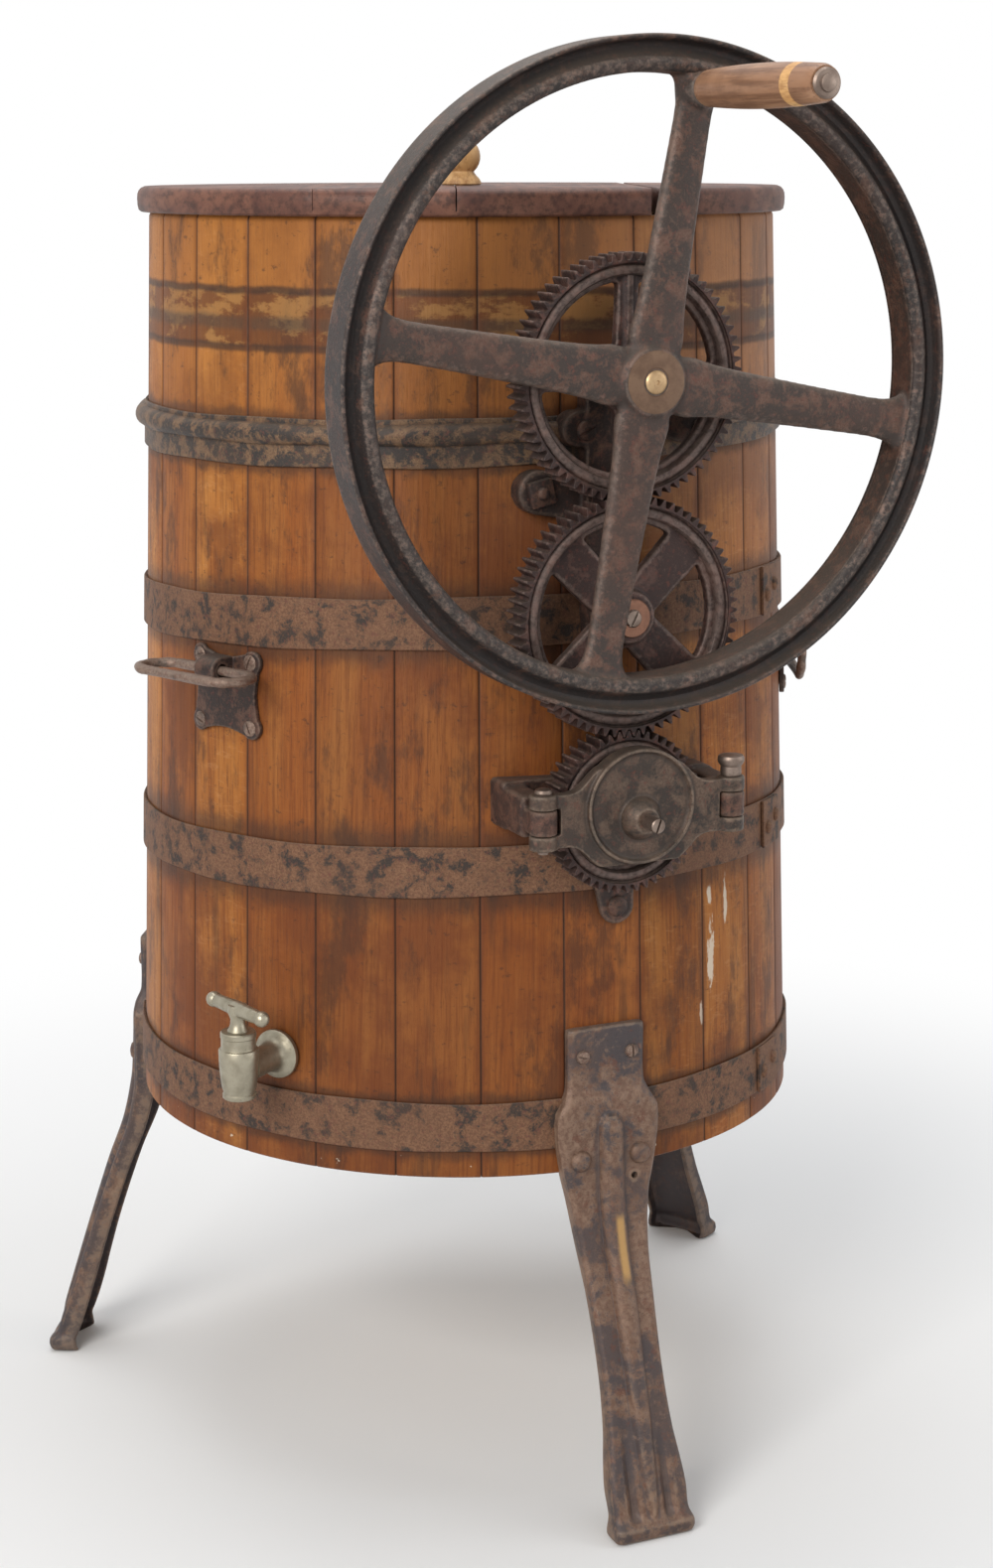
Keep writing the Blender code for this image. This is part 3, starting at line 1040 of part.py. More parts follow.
def make_yoke(paints):
    """Swing yoke with its disc, clevis ends, hinge pin, latch pin and thrust screw."""
    back, front = -YOKE_BACK_Y, -YOKE_FRONT_Y
    crest = front + YOKE_RIM
    profile = [(YOKE_RADIUS, back), (YOKE_RADIUS, crest), (YOKE_RADIUS - YOKE_RIM, crest),
               (YOKE_RADIUS - YOKE_RIM * 4 / 3, front)]
    disc = at_station(lathe("yoke", profile, 32, paints.cast_iron), z=YOKE_Z)
    arms = at_station(plate("yoke_arms", yoke_arm_outline(), back + OVERLAP, front - HUB_STEP))
    adds = [arms]
    knuckle_low = LUG_Z - KNUCKLE_HEIGHT / 2 - RUNNING_GAP
    knuckle_high = LUG_Z + KNUCKLE_HEIGHT / 2 + RUNNING_GAP
    cuts = []
    for label, x, pin in (("hinge", HINGE_X, HINGE_PIN_RADIUS), ("latch", LATCH_X, LATCH_PIN_RADIUS)):
        lug = rod(f"yoke_{label}_lug", KNUCKLE_RADIUS, LUG_BOTTOM_Z, LUG_TOP_Z)
        adds.append(place(lug, (x, PIVOT_Y, 0.0)))
        room = KNUCKLE_RADIUS + KNUCKLE_ROOM
        outward = math.copysign(1.0, x)
        low_x, high_x = sorted((x - outward * room, x + outward * room * 2))
        cuts.append(box(f"yoke_{label}_notch", (low_x, PIVOT_Y - room * 2, knuckle_low),
                        (high_x, PIVOT_Y + room * 2, knuckle_high)))
        cuts.append(pin_hole(f"yoke_{label}_hole", x, pin))
    boss = YOKE_BOSS_RADIUS
    boss_profile = [(boss, back - YOKE_RIM), (boss, front), (boss * 0.97, front + boss * 0.31),
                    (boss * 0.63, front + boss * 0.69), (boss * 0.56, front + boss * 0.81)]
    adds.append(at_station(lathe("yoke_boss", boss_profile, 20), z=DASHER_Z))
    pocket = rod("yoke_pocket", DASHER_SHAFT_RADIUS + 2 * SEAT_GAP, back - CUT_REACH,
                 -DASHER_SHAFT_FRONT_Y + RUNNING_GAP)
    thread = rod("yoke_thread", THRUST_SCREW_RADIUS + SEAT_GAP, back, front + CUT_REACH)
    cuts += [at_station(pocket, z=DASHER_Z), at_station(thread, z=DASHER_Z)]
    combine(disc, adds=adds, cuts=cuts)
    screw_start = -DASHER_SHAFT_FRONT_Y + SEAT_GAP
    screw_end = front + THRUST_SCREW_PROUD
    screw = rod("thrust_screw", THRUST_SCREW_RADIUS, screw_start, screw_end, paints.steel)
    slot = box("thrust_slot", (-2 * THRUST_SCREW_RADIUS, -THRUST_SLOT / 2, screw_end - THRUST_SLOT * 1.5),
               (2 * THRUST_SCREW_RADIUS, THRUST_SLOT / 2, screw_end + CUT_REACH))
    combine(at_station(screw, z=DASHER_Z), cuts=[at_station(slot, z=DASHER_Z, turn=THRUST_SLOT_TURN)])
    head, wide = LUG_TOP_Z + SEAT_GAP, HINGE_PIN_HEAD
    profile = [(HINGE_PIN_RADIUS, LUG_BOTTOM_Z - HINGE_PIN_RADIUS * 0.75), (HINGE_PIN_RADIUS, head),
               (wide, head), (wide, head + wide / 3), (wide * 0.7, head + wide * 0.6)]
    place(lathe("yoke_hinge_pin", profile, 16, paints.steel), (HINGE_X, PIVOT_Y, 0.0))
    make_latch_pin(paints)


def make_latch_pin(paints):
    """Button-headed pin that drops through the clevis and locks the yoke."""
    shoulder, tall = LUG_TOP_Z + SEAT_GAP, LATCH_PIN_HEIGHT
    radius, collar, button = LATCH_PIN_RADIUS, LATCH_PIN_COLLAR, LATCH_PIN_BUTTON
    profile = [(radius - OVERLAP, LUG_BOTTOM_Z + OVERLAP), (radius, LUG_BOTTOM_Z + 3 * OVERLAP),
               (radius, shoulder), (collar, shoulder), (collar, shoulder + tall * 0.57),
               (button * 0.96, shoulder + tall * 0.6), (button, shoulder + tall * 0.85),
               (button * 0.88, shoulder + tall)]
    pin = lathe("latch_pin", profile, 20, paints.steel)
    place(pin, (LATCH_X, PIVOT_Y, 0.0))
    hang_on(joint_empty("latch_lift", (LATCH_X, PIVOT_Y, LUG_TOP_Z)), [pin])


def make_tap(paints):
    """Tap with its tail through the wall, and its turning plug with a cross bar."""
    angle = math.radians(TAP_ANGLE)
    axis = polar(TAP_REACH, angle, 0.0)
    low, tall = TAP_Z - TAP_BODY_DROP, TAP_BODY_HEIGHT
    mouth, collar = TAP_MOUTH_RADIUS, TAP_COLLAR_RADIUS
    profile = [(mouth, low), (mouth, low + tall * 0.09), (mouth * 0.8, low + tall * 0.13),
               (TAP_BODY_RADIUS, low + tall * 0.26), (TAP_BODY_RADIUS, low + tall * 0.75),
               (collar, low + tall * 0.86), (collar, low + tall)]
    body = place(lathe("tap_body", profile, 20, paints.nickel), axis)
    wall = barrel_radius(TAP_Z) + TAP_FLANGE_GAP
    thick, neck = TAP_FLANGE_THICKNESS, TAP_NECK_RADIUS
    tail_profile = [(TAP_TAIL_RADIUS, inner_radius(TAP_Z) - TAP_TAIL_END), (TAP_TAIL_RADIUS, wall),
                    (TAP_FLANGE_RADIUS, wall), (TAP_FLANGE_RADIUS, wall + thick),
                    (neck * 1.33, wall + thick * 1.5), (neck, wall + thick * 2.7), (neck, TAP_REACH)]
    tail = at_station(lathe("tap_tail", tail_profile, 20), angle, TAP_Z)
    bore_low = low + TAP_SEAT_LIFT
    plug_room = rod("tap_plug_room", TAP_PLUG_RADIUS + SEAT_GAP, bore_low, low + tall + CUT_REACH, segments=16)
    outlet = rod("tap_outlet", TAP_OUTLET_RADIUS, low - CUT_REACH, bore_low + 2 * OVERLAP, segments=12)
    flow = rod("tap_flow", TAP_BORE_RADIUS, inner_radius(TAP_Z) - CUT_REACH, TAP_REACH, segments=10)
    cuts = [place(plug_room, axis), place(outlet, axis), at_station(flow, angle, TAP_Z)]
    combine(body, adds=[tail], cuts=cuts)
    plug_profile = [(TAP_PLUG_RADIUS, bore_low + SEAT_GAP), (TAP_PLUG_RADIUS, low + tall * 0.935),
                    (TAP_STEM_RADIUS, low + tall), (TAP_STEM_RADIUS, TAP_Z + TAP_BAR_LIFT)]
    plug = lathe("tap_plug", plug_profile, 16, paints.nickel)
    half, ball = TAP_BAR_LENGTH / 2, TAP_BALL_RADIUS
    bar_profile = []
    near, far = (-70.0, -30.0, 10.0, 45.0), (-45.0, -10.0, 30.0, 70.0)
    for centre, leans in ((-half + ball, near), (half - ball, far)):
        for lean in leans:
            angle_on_ball = math.radians(lean)
            bar_profile.append((ball * math.cos(angle_on_ball), centre + ball * math.sin(angle_on_ball)))
    bar = lathe("tap_bar", bar_profile, 12)
    lying = Matrix.Rotation(math.pi / 2, 4, "Y")
    bar.data.transform(Matrix.Translation((0.0, 0.0, TAP_Z + TAP_BAR_LIFT)) @ lying)
    passage = rod("tap_passage", TAP_BORE_RADIUS, -TAP_BODY_RADIUS, TAP_BODY_RADIUS, segments=10)
    passage.data.transform(Matrix.Translation((0.0, 0.0, TAP_Z)) @ lying)
    turn = angle + math.radians(TAP_BAR_ANGLE)
    for thing in (plug, bar, passage):
        place(thing, axis, (0.0, 0.0, turn))
    combine(plug, adds=[bar], cuts=[passage])
    hang_on(joint_empty("tap_axis", (axis.x, axis.y, TAP_Z)), [plug, bar, passage])


def lobed_outline():
    """Handle plate outline: a round lobe at each corner, and hollow sides between them."""
    corners = [(1, 1, 0.0), (-1, 1, 90.0), (-1, -1, 180.0), (1, -1, 270.0)]
    points = []
    for sx, sy, start in corners:
        cx, cy = sx * PLATE_HALF_WIDTH, sy * PLATE_HALF_HEIGHT
        points += arc(cx, cy, PLATE_LOBE, start - 50.0, start + 140.0, 6)
        if sx == sy:
            points.append((0.0, sy * (PLATE_HALF_HEIGHT + PLATE_LOBE / 4)))
        else:
            points.append((sx * (PLATE_HALF_WIDTH + PLATE_LOBE / 3), 0.0))
    return points


def make_handle(side, angle_degrees, hanging, paints):
    """Carrying handle: a four-lobed plate with a lug, and a long ring that swings in it."""
    angle = math.radians(angle_degrees)
    face = barrel_radius(HANDLE_Z)
    pivot = barrel_radius(HANDLE_PIVOT_Z) + LUG_STANDOFF
    plate_name = f"{side}_handle_plate"
    blank = plate(plate_name, lobed_outline(), face - CUT_REACH / 2, face + CUT_REACH / 2, paints.cast_iron)
    backing = at_station(blank, angle, HANDLE_Z)
    shell = barrel_core(f"{side}_plate_shell", SEAT_GAP + PLATE_THICKNESS)
    lug_half = (LUG_WIDTH + OVERLAP) / 2
    lug = rod(f"{side}_lug", LUG_RADIUS, -lug_half, lug_half, segments=16)
    on_pivot = Matrix.Translation((0.0, HANDLE_PIVOT_Z, pivot)) @ Matrix.Rotation(math.pi / 2, 4, "Y")
    lug.data.transform(on_pivot)
    neck = box(f"{side}_lug_neck", (-LUG_WIDTH / 2, HANDLE_PIVOT_Z - LUG_RADIUS, face - STAVE_THICKNESS),
               (LUG_WIDTH / 2, HANDLE_PIVOT_Z + LUG_RADIUS, pivot))
    bore = rod(f"{side}_lug_bore", RING_BAR_RADIUS + RUNNING_GAP, -LUG_WIDTH, LUG_WIDTH, segments=12)
    bore.data.transform(on_pivot)
    wall = barrel_core(f"{side}_plate_wall", SEAT_GAP)
    for thing in (lug, neck, bore):
        at_station(thing, angle)
    combine(backing, keeps=[shell])
    combine(backing, adds=[neck, lug], cuts=[wall, bore])
    ring = handle_ring(f"{side}_handle_ring", paints)
    at_station(ring, angle, HANDLE_PIVOT_Z, roll=math.pi / 2 if hanging else 0.0)
    ring.location = polar(pivot, angle, HANDLE_PIVOT_Z)
    hang_on(joint_empty(f"{side}_ring_axis", ring.location), [ring])


def handle_ring(name, paints):
    """Long closed ring whose inner bar lies on the pivot axis, local Z toward the outer bar."""
    bend = RING_DEPTH / 2
    straight = RING_LENGTH / 2 - RING_BAR_RADIUS - bend
    path = [(x, z) for x, z in arc(straight, bend, bend, -90.0, 90.0, 6)]
    path += [(x, z) for x, z in arc(-straight, bend, bend, 90.0, 270.0, 6)]
    rings = []
    for i, (x, z) in enumerate(path):
        before, after = Vector(path[i - 1]), Vector(path[(i + 1) % len(path)])
        along = (after - before).normalized()
        out = Vector((along.y, 0.0, -along.x))
        ring = []
        for j in range(8):
            lean = 2 * math.pi * j / 8
            offset = out * math.cos(lean) + Vector((0.0, math.sin(lean), 0.0))
            ring.append(Vector((x, 0.0, z)) + offset * RING_BAR_RADIUS)
        rings.append(ring)
    return loft(name, rings, paints.cast_iron, closed=True)


def stand_on_origin():
    """Hang the whole churn on one empty, with the middle of its footprint on the origin."""
    carried = [thing for thing in bpy.data.objects if thing.parent is None]
    base = joint_empty("churn", (0.0, 0.0, 0.0))
    hang_on(base, carried)
    spindle = GRIP_SEAT + GRIP_LENGTH + 2 * RUNNING_GAP + SPINDLE_CAP_LENGTH
    front = spindle + FLYWHEEL_RIM_WIDTH / 2 - FLYWHEEL_PLANE_Y
    back = barrel_radius(FOOT_HOOP_Z) + SEAT_GAP + HOOP_THICKNESS
    base.location.y = (front - back) / 2


def main():
    """Model the whole churn."""
    clear_scene()
    paints = Materials()
    make_barrel(paints)
    make_hoops(paints)
    make_lid(paints)
    for number, angle in enumerate(LEG_ANGLES, start=1):
        make_leg(number, angle, paints)
    make_upper_bracket(paints)
    make_lower_bracket(paints)
    make_drive(paints)
    make_idler(paints)
    make_dasher(paints)
    make_rear_bearing(paints)
    make_yoke(paints)
    make_tap(paints)
    make_handle("left", LEFT_HANDLE_ANGLE, False, paints)
    make_handle("right", RIGHT_HANDLE_ANGLE, True, paints)
    stand_on_origin()


main()
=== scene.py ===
"""Finished look of the butter churn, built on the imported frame.

Metres, +Z up, with the gear train facing -Y. Pieces that sit on the barrel are modelled in a station frame,
which is local X along the wall, local Y up and local Z straight out from the barrel's axis.
"""
import logging
import math
from dataclasses import dataclass, field, replace
from enum import Enum
from typing import Iterable, Sequence

import bpy
import numpy as np
from mathutils import Matrix, Vector


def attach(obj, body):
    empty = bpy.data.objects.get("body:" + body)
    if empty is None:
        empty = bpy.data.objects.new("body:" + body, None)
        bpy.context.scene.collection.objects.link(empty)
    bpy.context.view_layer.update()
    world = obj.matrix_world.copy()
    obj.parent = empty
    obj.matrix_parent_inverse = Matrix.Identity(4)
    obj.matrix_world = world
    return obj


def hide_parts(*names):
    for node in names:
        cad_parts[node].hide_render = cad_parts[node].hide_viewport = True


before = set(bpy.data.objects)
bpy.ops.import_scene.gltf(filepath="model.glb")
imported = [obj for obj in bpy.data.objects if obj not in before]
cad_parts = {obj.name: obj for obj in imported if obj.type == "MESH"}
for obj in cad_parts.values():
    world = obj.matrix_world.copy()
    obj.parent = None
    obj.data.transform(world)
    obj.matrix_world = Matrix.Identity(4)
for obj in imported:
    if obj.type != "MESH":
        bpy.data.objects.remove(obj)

LOG = logging.getLogger("churn")
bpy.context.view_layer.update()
AXIS = Matrix.Translation((0.0, 0.12011, 0.0))  # pieces are modelled about the barrel's axis, then moved here
GEAR_Y = -0.300
CRANK_Z = 0.890
IDLER_Z = 0.715
DASHER_Z = 0.5675

Point = tuple[float, float]
Colour = tuple[float, float, float]
Socket = bpy.types.NodeSocket
Piece = bpy.types.Object
Finish = bpy.types.Material
SHARP = 0.00005
AHEAD = -90.0  # the gears' side, in degrees round the barrel
FULL_TURN = 2.0 * math.pi


class Body(str, Enum):
    """Moving groups of the churn."""

    CHURN = "churn"
    FLYWHEEL = "flywheel"
    GRIP = "grip"
    IDLER = "idler"
    DASHER = "dasher"
    LID = "lid"
    TAP_PLUG = "tap_plug"
    LATCH_PIN = "latch_pin"
    LEFT_HANDLE = "left_handle"
    RIGHT_HANDLE = "right_handle"


class Side(Enum):
    """The two carrying handles, with their angle round the barrel in degrees."""

    LEFT = -157.0
    RIGHT = -23.0


# Modelling bench


def deselect() -> None:
    """Leave edit mode and drop every selection."""
    if bpy.context.object is not None and bpy.context.object.mode != "OBJECT":
        bpy.ops.object.mode_set(mode="OBJECT")
    bpy.ops.object.select_all(action="DESELECT")


def take(piece: Piece) -> None:
    """Make one piece the only selected and active object.

    Args:
        piece: The piece to work on.
    """
    deselect()
    piece.select_set(True)
    bpy.context.view_layer.objects.active = piece


def edit_all(piece: Piece) -> None:
    """Open a piece in edit mode with everything selected.

    Args:
        piece: The piece to work on.
    """
    take(piece)
    bpy.ops.object.mode_set(mode="EDIT")
    bpy.ops.mesh.select_all(action="SELECT")


def close_edit() -> None:
    """Weld doubled points, turn faces outwards and leave edit mode."""
    bpy.ops.mesh.select_all(action="SELECT")
    bpy.ops.mesh.remove_doubles(threshold=0.00001)
    bpy.ops.mesh.normals_make_consistent(inside=False)
    bpy.ops.object.mode_set(mode="OBJECT")


def settle(piece: Piece, pose: Matrix | None = None) -> Piece:
    """Move a piece from its bench to its place, with the object left at the origin.

    Args:
        piece: The piece, modelled about the origin.
        pose: Its place on the churn.

    Returns:
        The same piece.
    """
    take(piece)
    if pose is not None:
        piece.matrix_world = pose @ piece.matrix_world
    bpy.ops.object.transform_apply(location=True, rotation=True, scale=True)
    return piece


def smooth(piece: Piece, degrees: float = 35.0) -> Piece:
    """Shade a piece smooth, with sharper edges kept crisp.

    Args:
        piece: The piece.
        degrees: Angle past which an edge stays crisp.

    Returns:
        The same piece.
    """
    take(piece)
    bpy.ops.object.shade_smooth_by_angle(angle=math.radians(degrees))
    return piece


def apply_modifier(piece: Piece, kind: str, **settings: object) -> None:
    """Add a modifier and apply it.

    Args:
        piece: The piece that it changes.
        kind: The modifier's type.
        settings: Values for its properties.
    """
    take(piece)
    modifier = piece.modifiers.new(kind.lower(), kind)
    for name, value in settings.items():
        setattr(modifier, name, value)
    bpy.ops.object.modifier_apply(modifier=modifier.name)


def soften(piece: Piece, width: float, segments: int = 2, degrees: float = 35.0) -> Piece:
    """Round a piece's sharp edges.

    Args:
        piece: The piece.
        width: How far back the rounding goes.
        segments: Facets across it.
        degrees: Angle past which an edge is rounded.

    Returns:
        The same piece.
    """
    apply_modifier(piece, "BEVEL", width=width, segments=segments, limit_method="ANGLE",
                   angle_limit=math.radians(degrees), use_clamp_overlap=True)
    return smooth(piece, 40.0)


def combine(piece: Piece, others: Iterable[Piece], operation: str) -> Piece:
    """Boolean other pieces into one piece and remove them.

    Args:
        piece: The piece that stays.
        others: The pieces used up.
        operation: UNION, DIFFERENCE or INTERSECT.

    Returns:
        The piece that stays.
    """
    for other in others:
        apply_modifier(piece, "BOOLEAN", operation=operation, solver="EXACT", object=other)
        bpy.data.objects.remove(other, do_unlink=True)
    return piece


def cast_skin(piece: Piece, voxel: float, passes: int) -> Piece:
    """Give a fused casting one skin with soft fillets, as it comes out of the sand.

    Args:
        piece: The fused piece.
        voxel: Size of the new skin's facets.
        passes: How often the skin is smoothed.

    Returns:
        The same piece.
    """
    apply_modifier(piece, "REMESH", mode="VOXEL", voxel_size=voxel, adaptivity=0.0)
    apply_modifier(piece, "SMOOTH", factor=0.5, iterations=passes)
    return smooth(piece, 60.0)


def plug(radius: float, low: float, high: float, foot: float = 0.0, head: float = 0.0) -> list[Point]:
    """Profile of a cylinder.

    Args:
        radius: Its radius.
        low: Height of its foot.
        high: Height of its head.
        foot: How far the foot's edge is eased.
        head: How far the head's edge is eased.

    Returns:
        The profile, from axis to axis.
    """
    foot_edge = [(radius - foot, low), (radius, low + foot)] if foot else [(radius, low)]
    head_edge = [(radius, high - head), (radius - head, high)] if head else [(radius, high)]
    return [(0.0, low), *foot_edge, *head_edge, (0.0, high)]


def raised(base: float, profile: Iterable[Point]) -> list[Point]:
    """Profile whose heights are counted from a base."""
    return [(radius, base + height) for radius, height in profile]


def turned(name: str, profile: Sequence[Point], steps: int = 64, pose: Matrix | None = None) -> Piece:
    """Spin a profile of (radius, height) points about local Z.

    Args:
        name: The piece's name.
        profile: A closed section clear of the axis, or a line whose two ends meet the axis.
        steps: Facets round the axis.
        pose: Place on the churn.

    Returns:
        The turned piece.
    """
    deselect()
    bpy.ops.mesh.primitive_circle_add(vertices=len(profile), radius=1.0)
    piece = bpy.context.object
    piece.name = name
    for vertex, (radius, height) in zip(piece.data.vertices, profile):
        vertex.co = (radius, 0.0, height)
    if profile[0][0] < 1e-7:
        ends = {0, len(profile) - 1}
        for vertex in piece.data.vertices:
            vertex.select = vertex.index in ends
        for edge in piece.data.edges:
            edge.select = set(edge.vertices) == ends
        bpy.ops.object.mode_set(mode="EDIT")
        bpy.ops.mesh.select_mode(type="EDGE")
        bpy.ops.mesh.delete(type="EDGE_FACE")
    bpy.ops.object.mode_set(mode="EDIT")
    bpy.ops.mesh.select_mode(type="VERT")
    bpy.ops.mesh.select_all(action="SELECT")
    bpy.ops.mesh.spin(steps=steps, angle=FULL_TURN, center=(0.0, 0.0, 0.0), axis=(0.0, 0.0, 1.0))
    close_edit()
    smooth(piece)
    return settle(piece, pose)


def lofted(name: str, rings: Sequence[Sequence[Vector]], pose: Matrix | None = None,
           ring_loop: bool = False) -> Piece:
    """Bend a grid into a skin over a row of closed rings, and close its ends.

    Args:
        name: The piece's name.
        rings: Rings with equal numbers of points.
        pose: Place on the churn.
        ring_loop: True if the last ring joins the first.

    Returns:
        The skinned piece.
    """
    across = len(rings[0])
    rows = list(rings) + ([rings[0]] if ring_loop else [])
    deselect()
    bpy.ops.mesh.primitive_grid_add(x_subdivisions=across, y_subdivisions=len(rows) - 1, size=1.0)
    piece = bpy.context.object
    piece.name = name
    places = [ring[i % across] for ring in rows for i in range(across + 1)]
    for vertex, place in zip(piece.data.vertices, places):
        vertex.co = place
    bpy.ops.object.mode_set(mode="EDIT")
    bpy.ops.mesh.select_mode(type="VERT")
    bpy.ops.mesh.select_all(action="SELECT")
    bpy.ops.mesh.remove_doubles(threshold=0.00001)
    bpy.ops.mesh.select_all(action="DESELECT")
    bpy.ops.mesh.select_non_manifold(extend=False, use_wire=False, use_multi_face=False,
                                     use_non_contiguous=False, use_verts=False)
    bpy.ops.mesh.fill_holes(sides=0)
    close_edit()
    smooth(piece)
    return settle(piece, pose)


def cut_plate(name: str, outline: Sequence[Point], low: float, high: float,
              pose: Matrix | None = None) -> Piece:
    """Fill an outline and extrude it along local Z.

    Args:
        name: The piece's name.
        outline: Points round the plate in local XY.
        low: Height of its back.
        high: Height of its face.
        pose: Place on the churn.

    Returns:
        The plate.
    """
    deselect()
    bpy.ops.mesh.primitive_circle_add(vertices=len(outline), radius=1.0, fill_type="NGON")
    piece = bpy.context.object
    piece.name = name
    for vertex, (x, y) in zip(piece.data.vertices, outline):
        vertex.co = (x, y, low)
    edit_all(piece)
    bpy.ops.mesh.extrude_region_move(TRANSFORM_OT_translate={"value": (0.0, 0.0, high - low)})
    close_edit()
    smooth(piece)
    return settle(piece, pose)


def board(name: str, low: Sequence[float], high: Sequence[float], pose: Matrix | None = None,
          edge: float = 0.0015) -> Piece:
    """Sawn board between two corners.

    Args:
        name: The piece's name.
        low: Its lowest corner.
        high: Its highest corner.
        pose: Place on the churn.
        edge: How far its edges are eased.

    Returns:
        The board.
    """
    middle = [(a + b) / 2 for a, b in zip(low, high)]
    size = [b - a for a, b in zip(low, high)]
    deselect()
    bpy.ops.mesh.primitive_cube_add(size=1.0, location=middle, scale=size)
    piece = bpy.context.object
    piece.name = name
    settle(piece, pose)
    return soften(piece, edge)


def copy_of_node(node: str, name: str) -> Piece:
    """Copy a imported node's solid with its loose triangles welded.

    Args:
        node: The node's name.
        name: The copy's name.

    Returns:
        The copy, placed about the barrel's axis.
    """
    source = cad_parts[node]
    piece = bpy.data.objects.new(name, source.data.copy())
    bpy.context.scene.collection.objects.link(piece)
    edit_all(piece)
    close_edit()
    return settle(piece, AXIS.inverted())


def mark_wear(piece: Piece, passes: int = 12, gain: float = 1500.0) -> None:
    """Store how far each point stands out of its surroundings, above 0.5 where hands and knocks wear it.

    Args:
        piece: A finely meshed piece.
        passes: How wide the surroundings are.
        gain: Wear for each metre of standing out.
    """
    mesh = piece.data
    count = len(mesh.vertices)
    places = np.empty(count * 3)
    mesh.vertices.foreach_get("co", places)
    places = places.reshape(count, 3)
    normals = np.empty(count * 3)
    mesh.vertices.foreach_get("normal", normals)
    normals = normals.reshape(count, 3)
    ends = np.empty(len(mesh.edges) * 2, dtype=np.int64)
    mesh.edges.foreach_get("vertices", ends)
    ends = ends.reshape(-1, 2)
    links = np.bincount(ends.ravel(), minlength=count).clip(1)[:, None]
    moved = places.copy()
    for _ in range(passes):
        total = np.zeros_like(moved)
        np.add.at(total, ends[:, 0], moved[ends[:, 1]])
        np.add.at(total, ends[:, 1], moved[ends[:, 0]])
        moved = 0.4 * moved + 0.6 * total / links
    proud = ((places - moved) * normals).sum(axis=1)
    wear = np.clip(0.5 + gain * proud, 0.0, 1.0)
    layer = mesh.attributes.new("wear", "FLOAT", "POINT")
    layer.data.foreach_set("value", wear.astype(np.float32))


def shift(x: float, y: float, z: float) -> Matrix:
    """Move to a place."""
    return Matrix.Translation((x, y, z))


def turned_by(degrees: float, axis: str = "Z") -> Matrix:
    """Turn about an axis."""
    return Matrix.Rotation(math.radians(degrees), 4, axis)


def station(angle: float, height: float = 0.0) -> Matrix:
    """Station frame at an angle in degrees round the barrel: X along the wall, Y up, Z outwards."""
    return shift(0.0, 0.0, height) @ turned_by(angle + 90.0) @ turned_by(90.0, "X")


def axle(y: float, z: float, x: float = 0.0) -> Matrix:
    """Frame of an axle that points at someone who faces the gears."""
    return shift(x, y, z) @ turned_by(90.0, "X")


def upright(x: float, y: float, z: float = 0.0, turn: float = 0.0) -> Matrix:
    """Frame of an upright piece at a place, turned by degrees about Z."""
    return shift(x, y, z) @ turned_by(turn)


def arc(centre: Point, radius: float, start: float, end: float, steps: int) -> list[Point]:
    """Points on an arc between two angles in degrees, both ends included."""
    angles = [math.radians(start + (end - start) * i / steps) for i in range(steps + 1)]
    return [(centre[0] + radius * math.cos(a), centre[1] + radius * math.sin(a)) for a in angles]


def ease(low: float, high: float, value: float) -> float:
    """Smooth step from 0 at low to 1 at high."""
    share = min(max((value - low) / (high - low), 0.0), 1.0)
    return share * share * (3.0 - 2.0 * share)


def between(stations: Sequence[Sequence[float]], key: float) -> list[float]:
    """Read rows of values smoothly.

    Args:
        stations: Rows whose first entry is a rising key.
        key: Where to read.

    Returns:
        The row's other values at the key.
    """
    keys = [row[0] for row in stations]
    key = min(max(key, keys[0]), keys[-1])
    index = max(i for i in range(len(keys) - 1) if keys[i] <= key)
    low, high = stations[index], stations[index + 1]
    before = stations[max(index - 1, 0)]
    after = stations[min(index + 2, len(keys) - 1)]
    gap = high[0] - low[0]
    share = (key - low[0]) / gap
    values = []
    for column in range(1, len(low)):
        first = (high[column] - before[column]) / max(high[0] - before[0], 1e-9) * gap
        second = (after[column] - low[column]) / max(after[0] - low[0], 1e-9) * gap
        a, b = low[column], high[column]
        s2, s3 = share * share, share ** 3
        values.append((2 * s3 - 3 * s2 + 1) * a + (s3 - 2 * s2 + share) * first
                      + (3 * s2 - 2 * s3) * b + (s3 - s2) * second)
    return values


# Finishes


def seen_directly(tree: bpy.types.NodeTree) -> Socket:
    """Tell looks from light.

    Args:
        tree: The node tree to build in.

    Returns:
        1 where the camera, a reflection or a clear material looks, and 0 for light that falls on the churn.
    """
    path = tree.nodes.new("ShaderNodeLightPath")
    seen = path.outputs["Is Camera Ray"]
    for kind in ("Is Glossy Ray", "Is Transmission Ray"):
        either = tree.nodes.new("ShaderNodeMath")
        either.operation = "MAXIMUM"
        tree.links.new(seen, either.inputs[0])
        tree.links.new(path.outputs[kind], either.inputs[1])
        seen = either.outputs["Value"]
    return seen


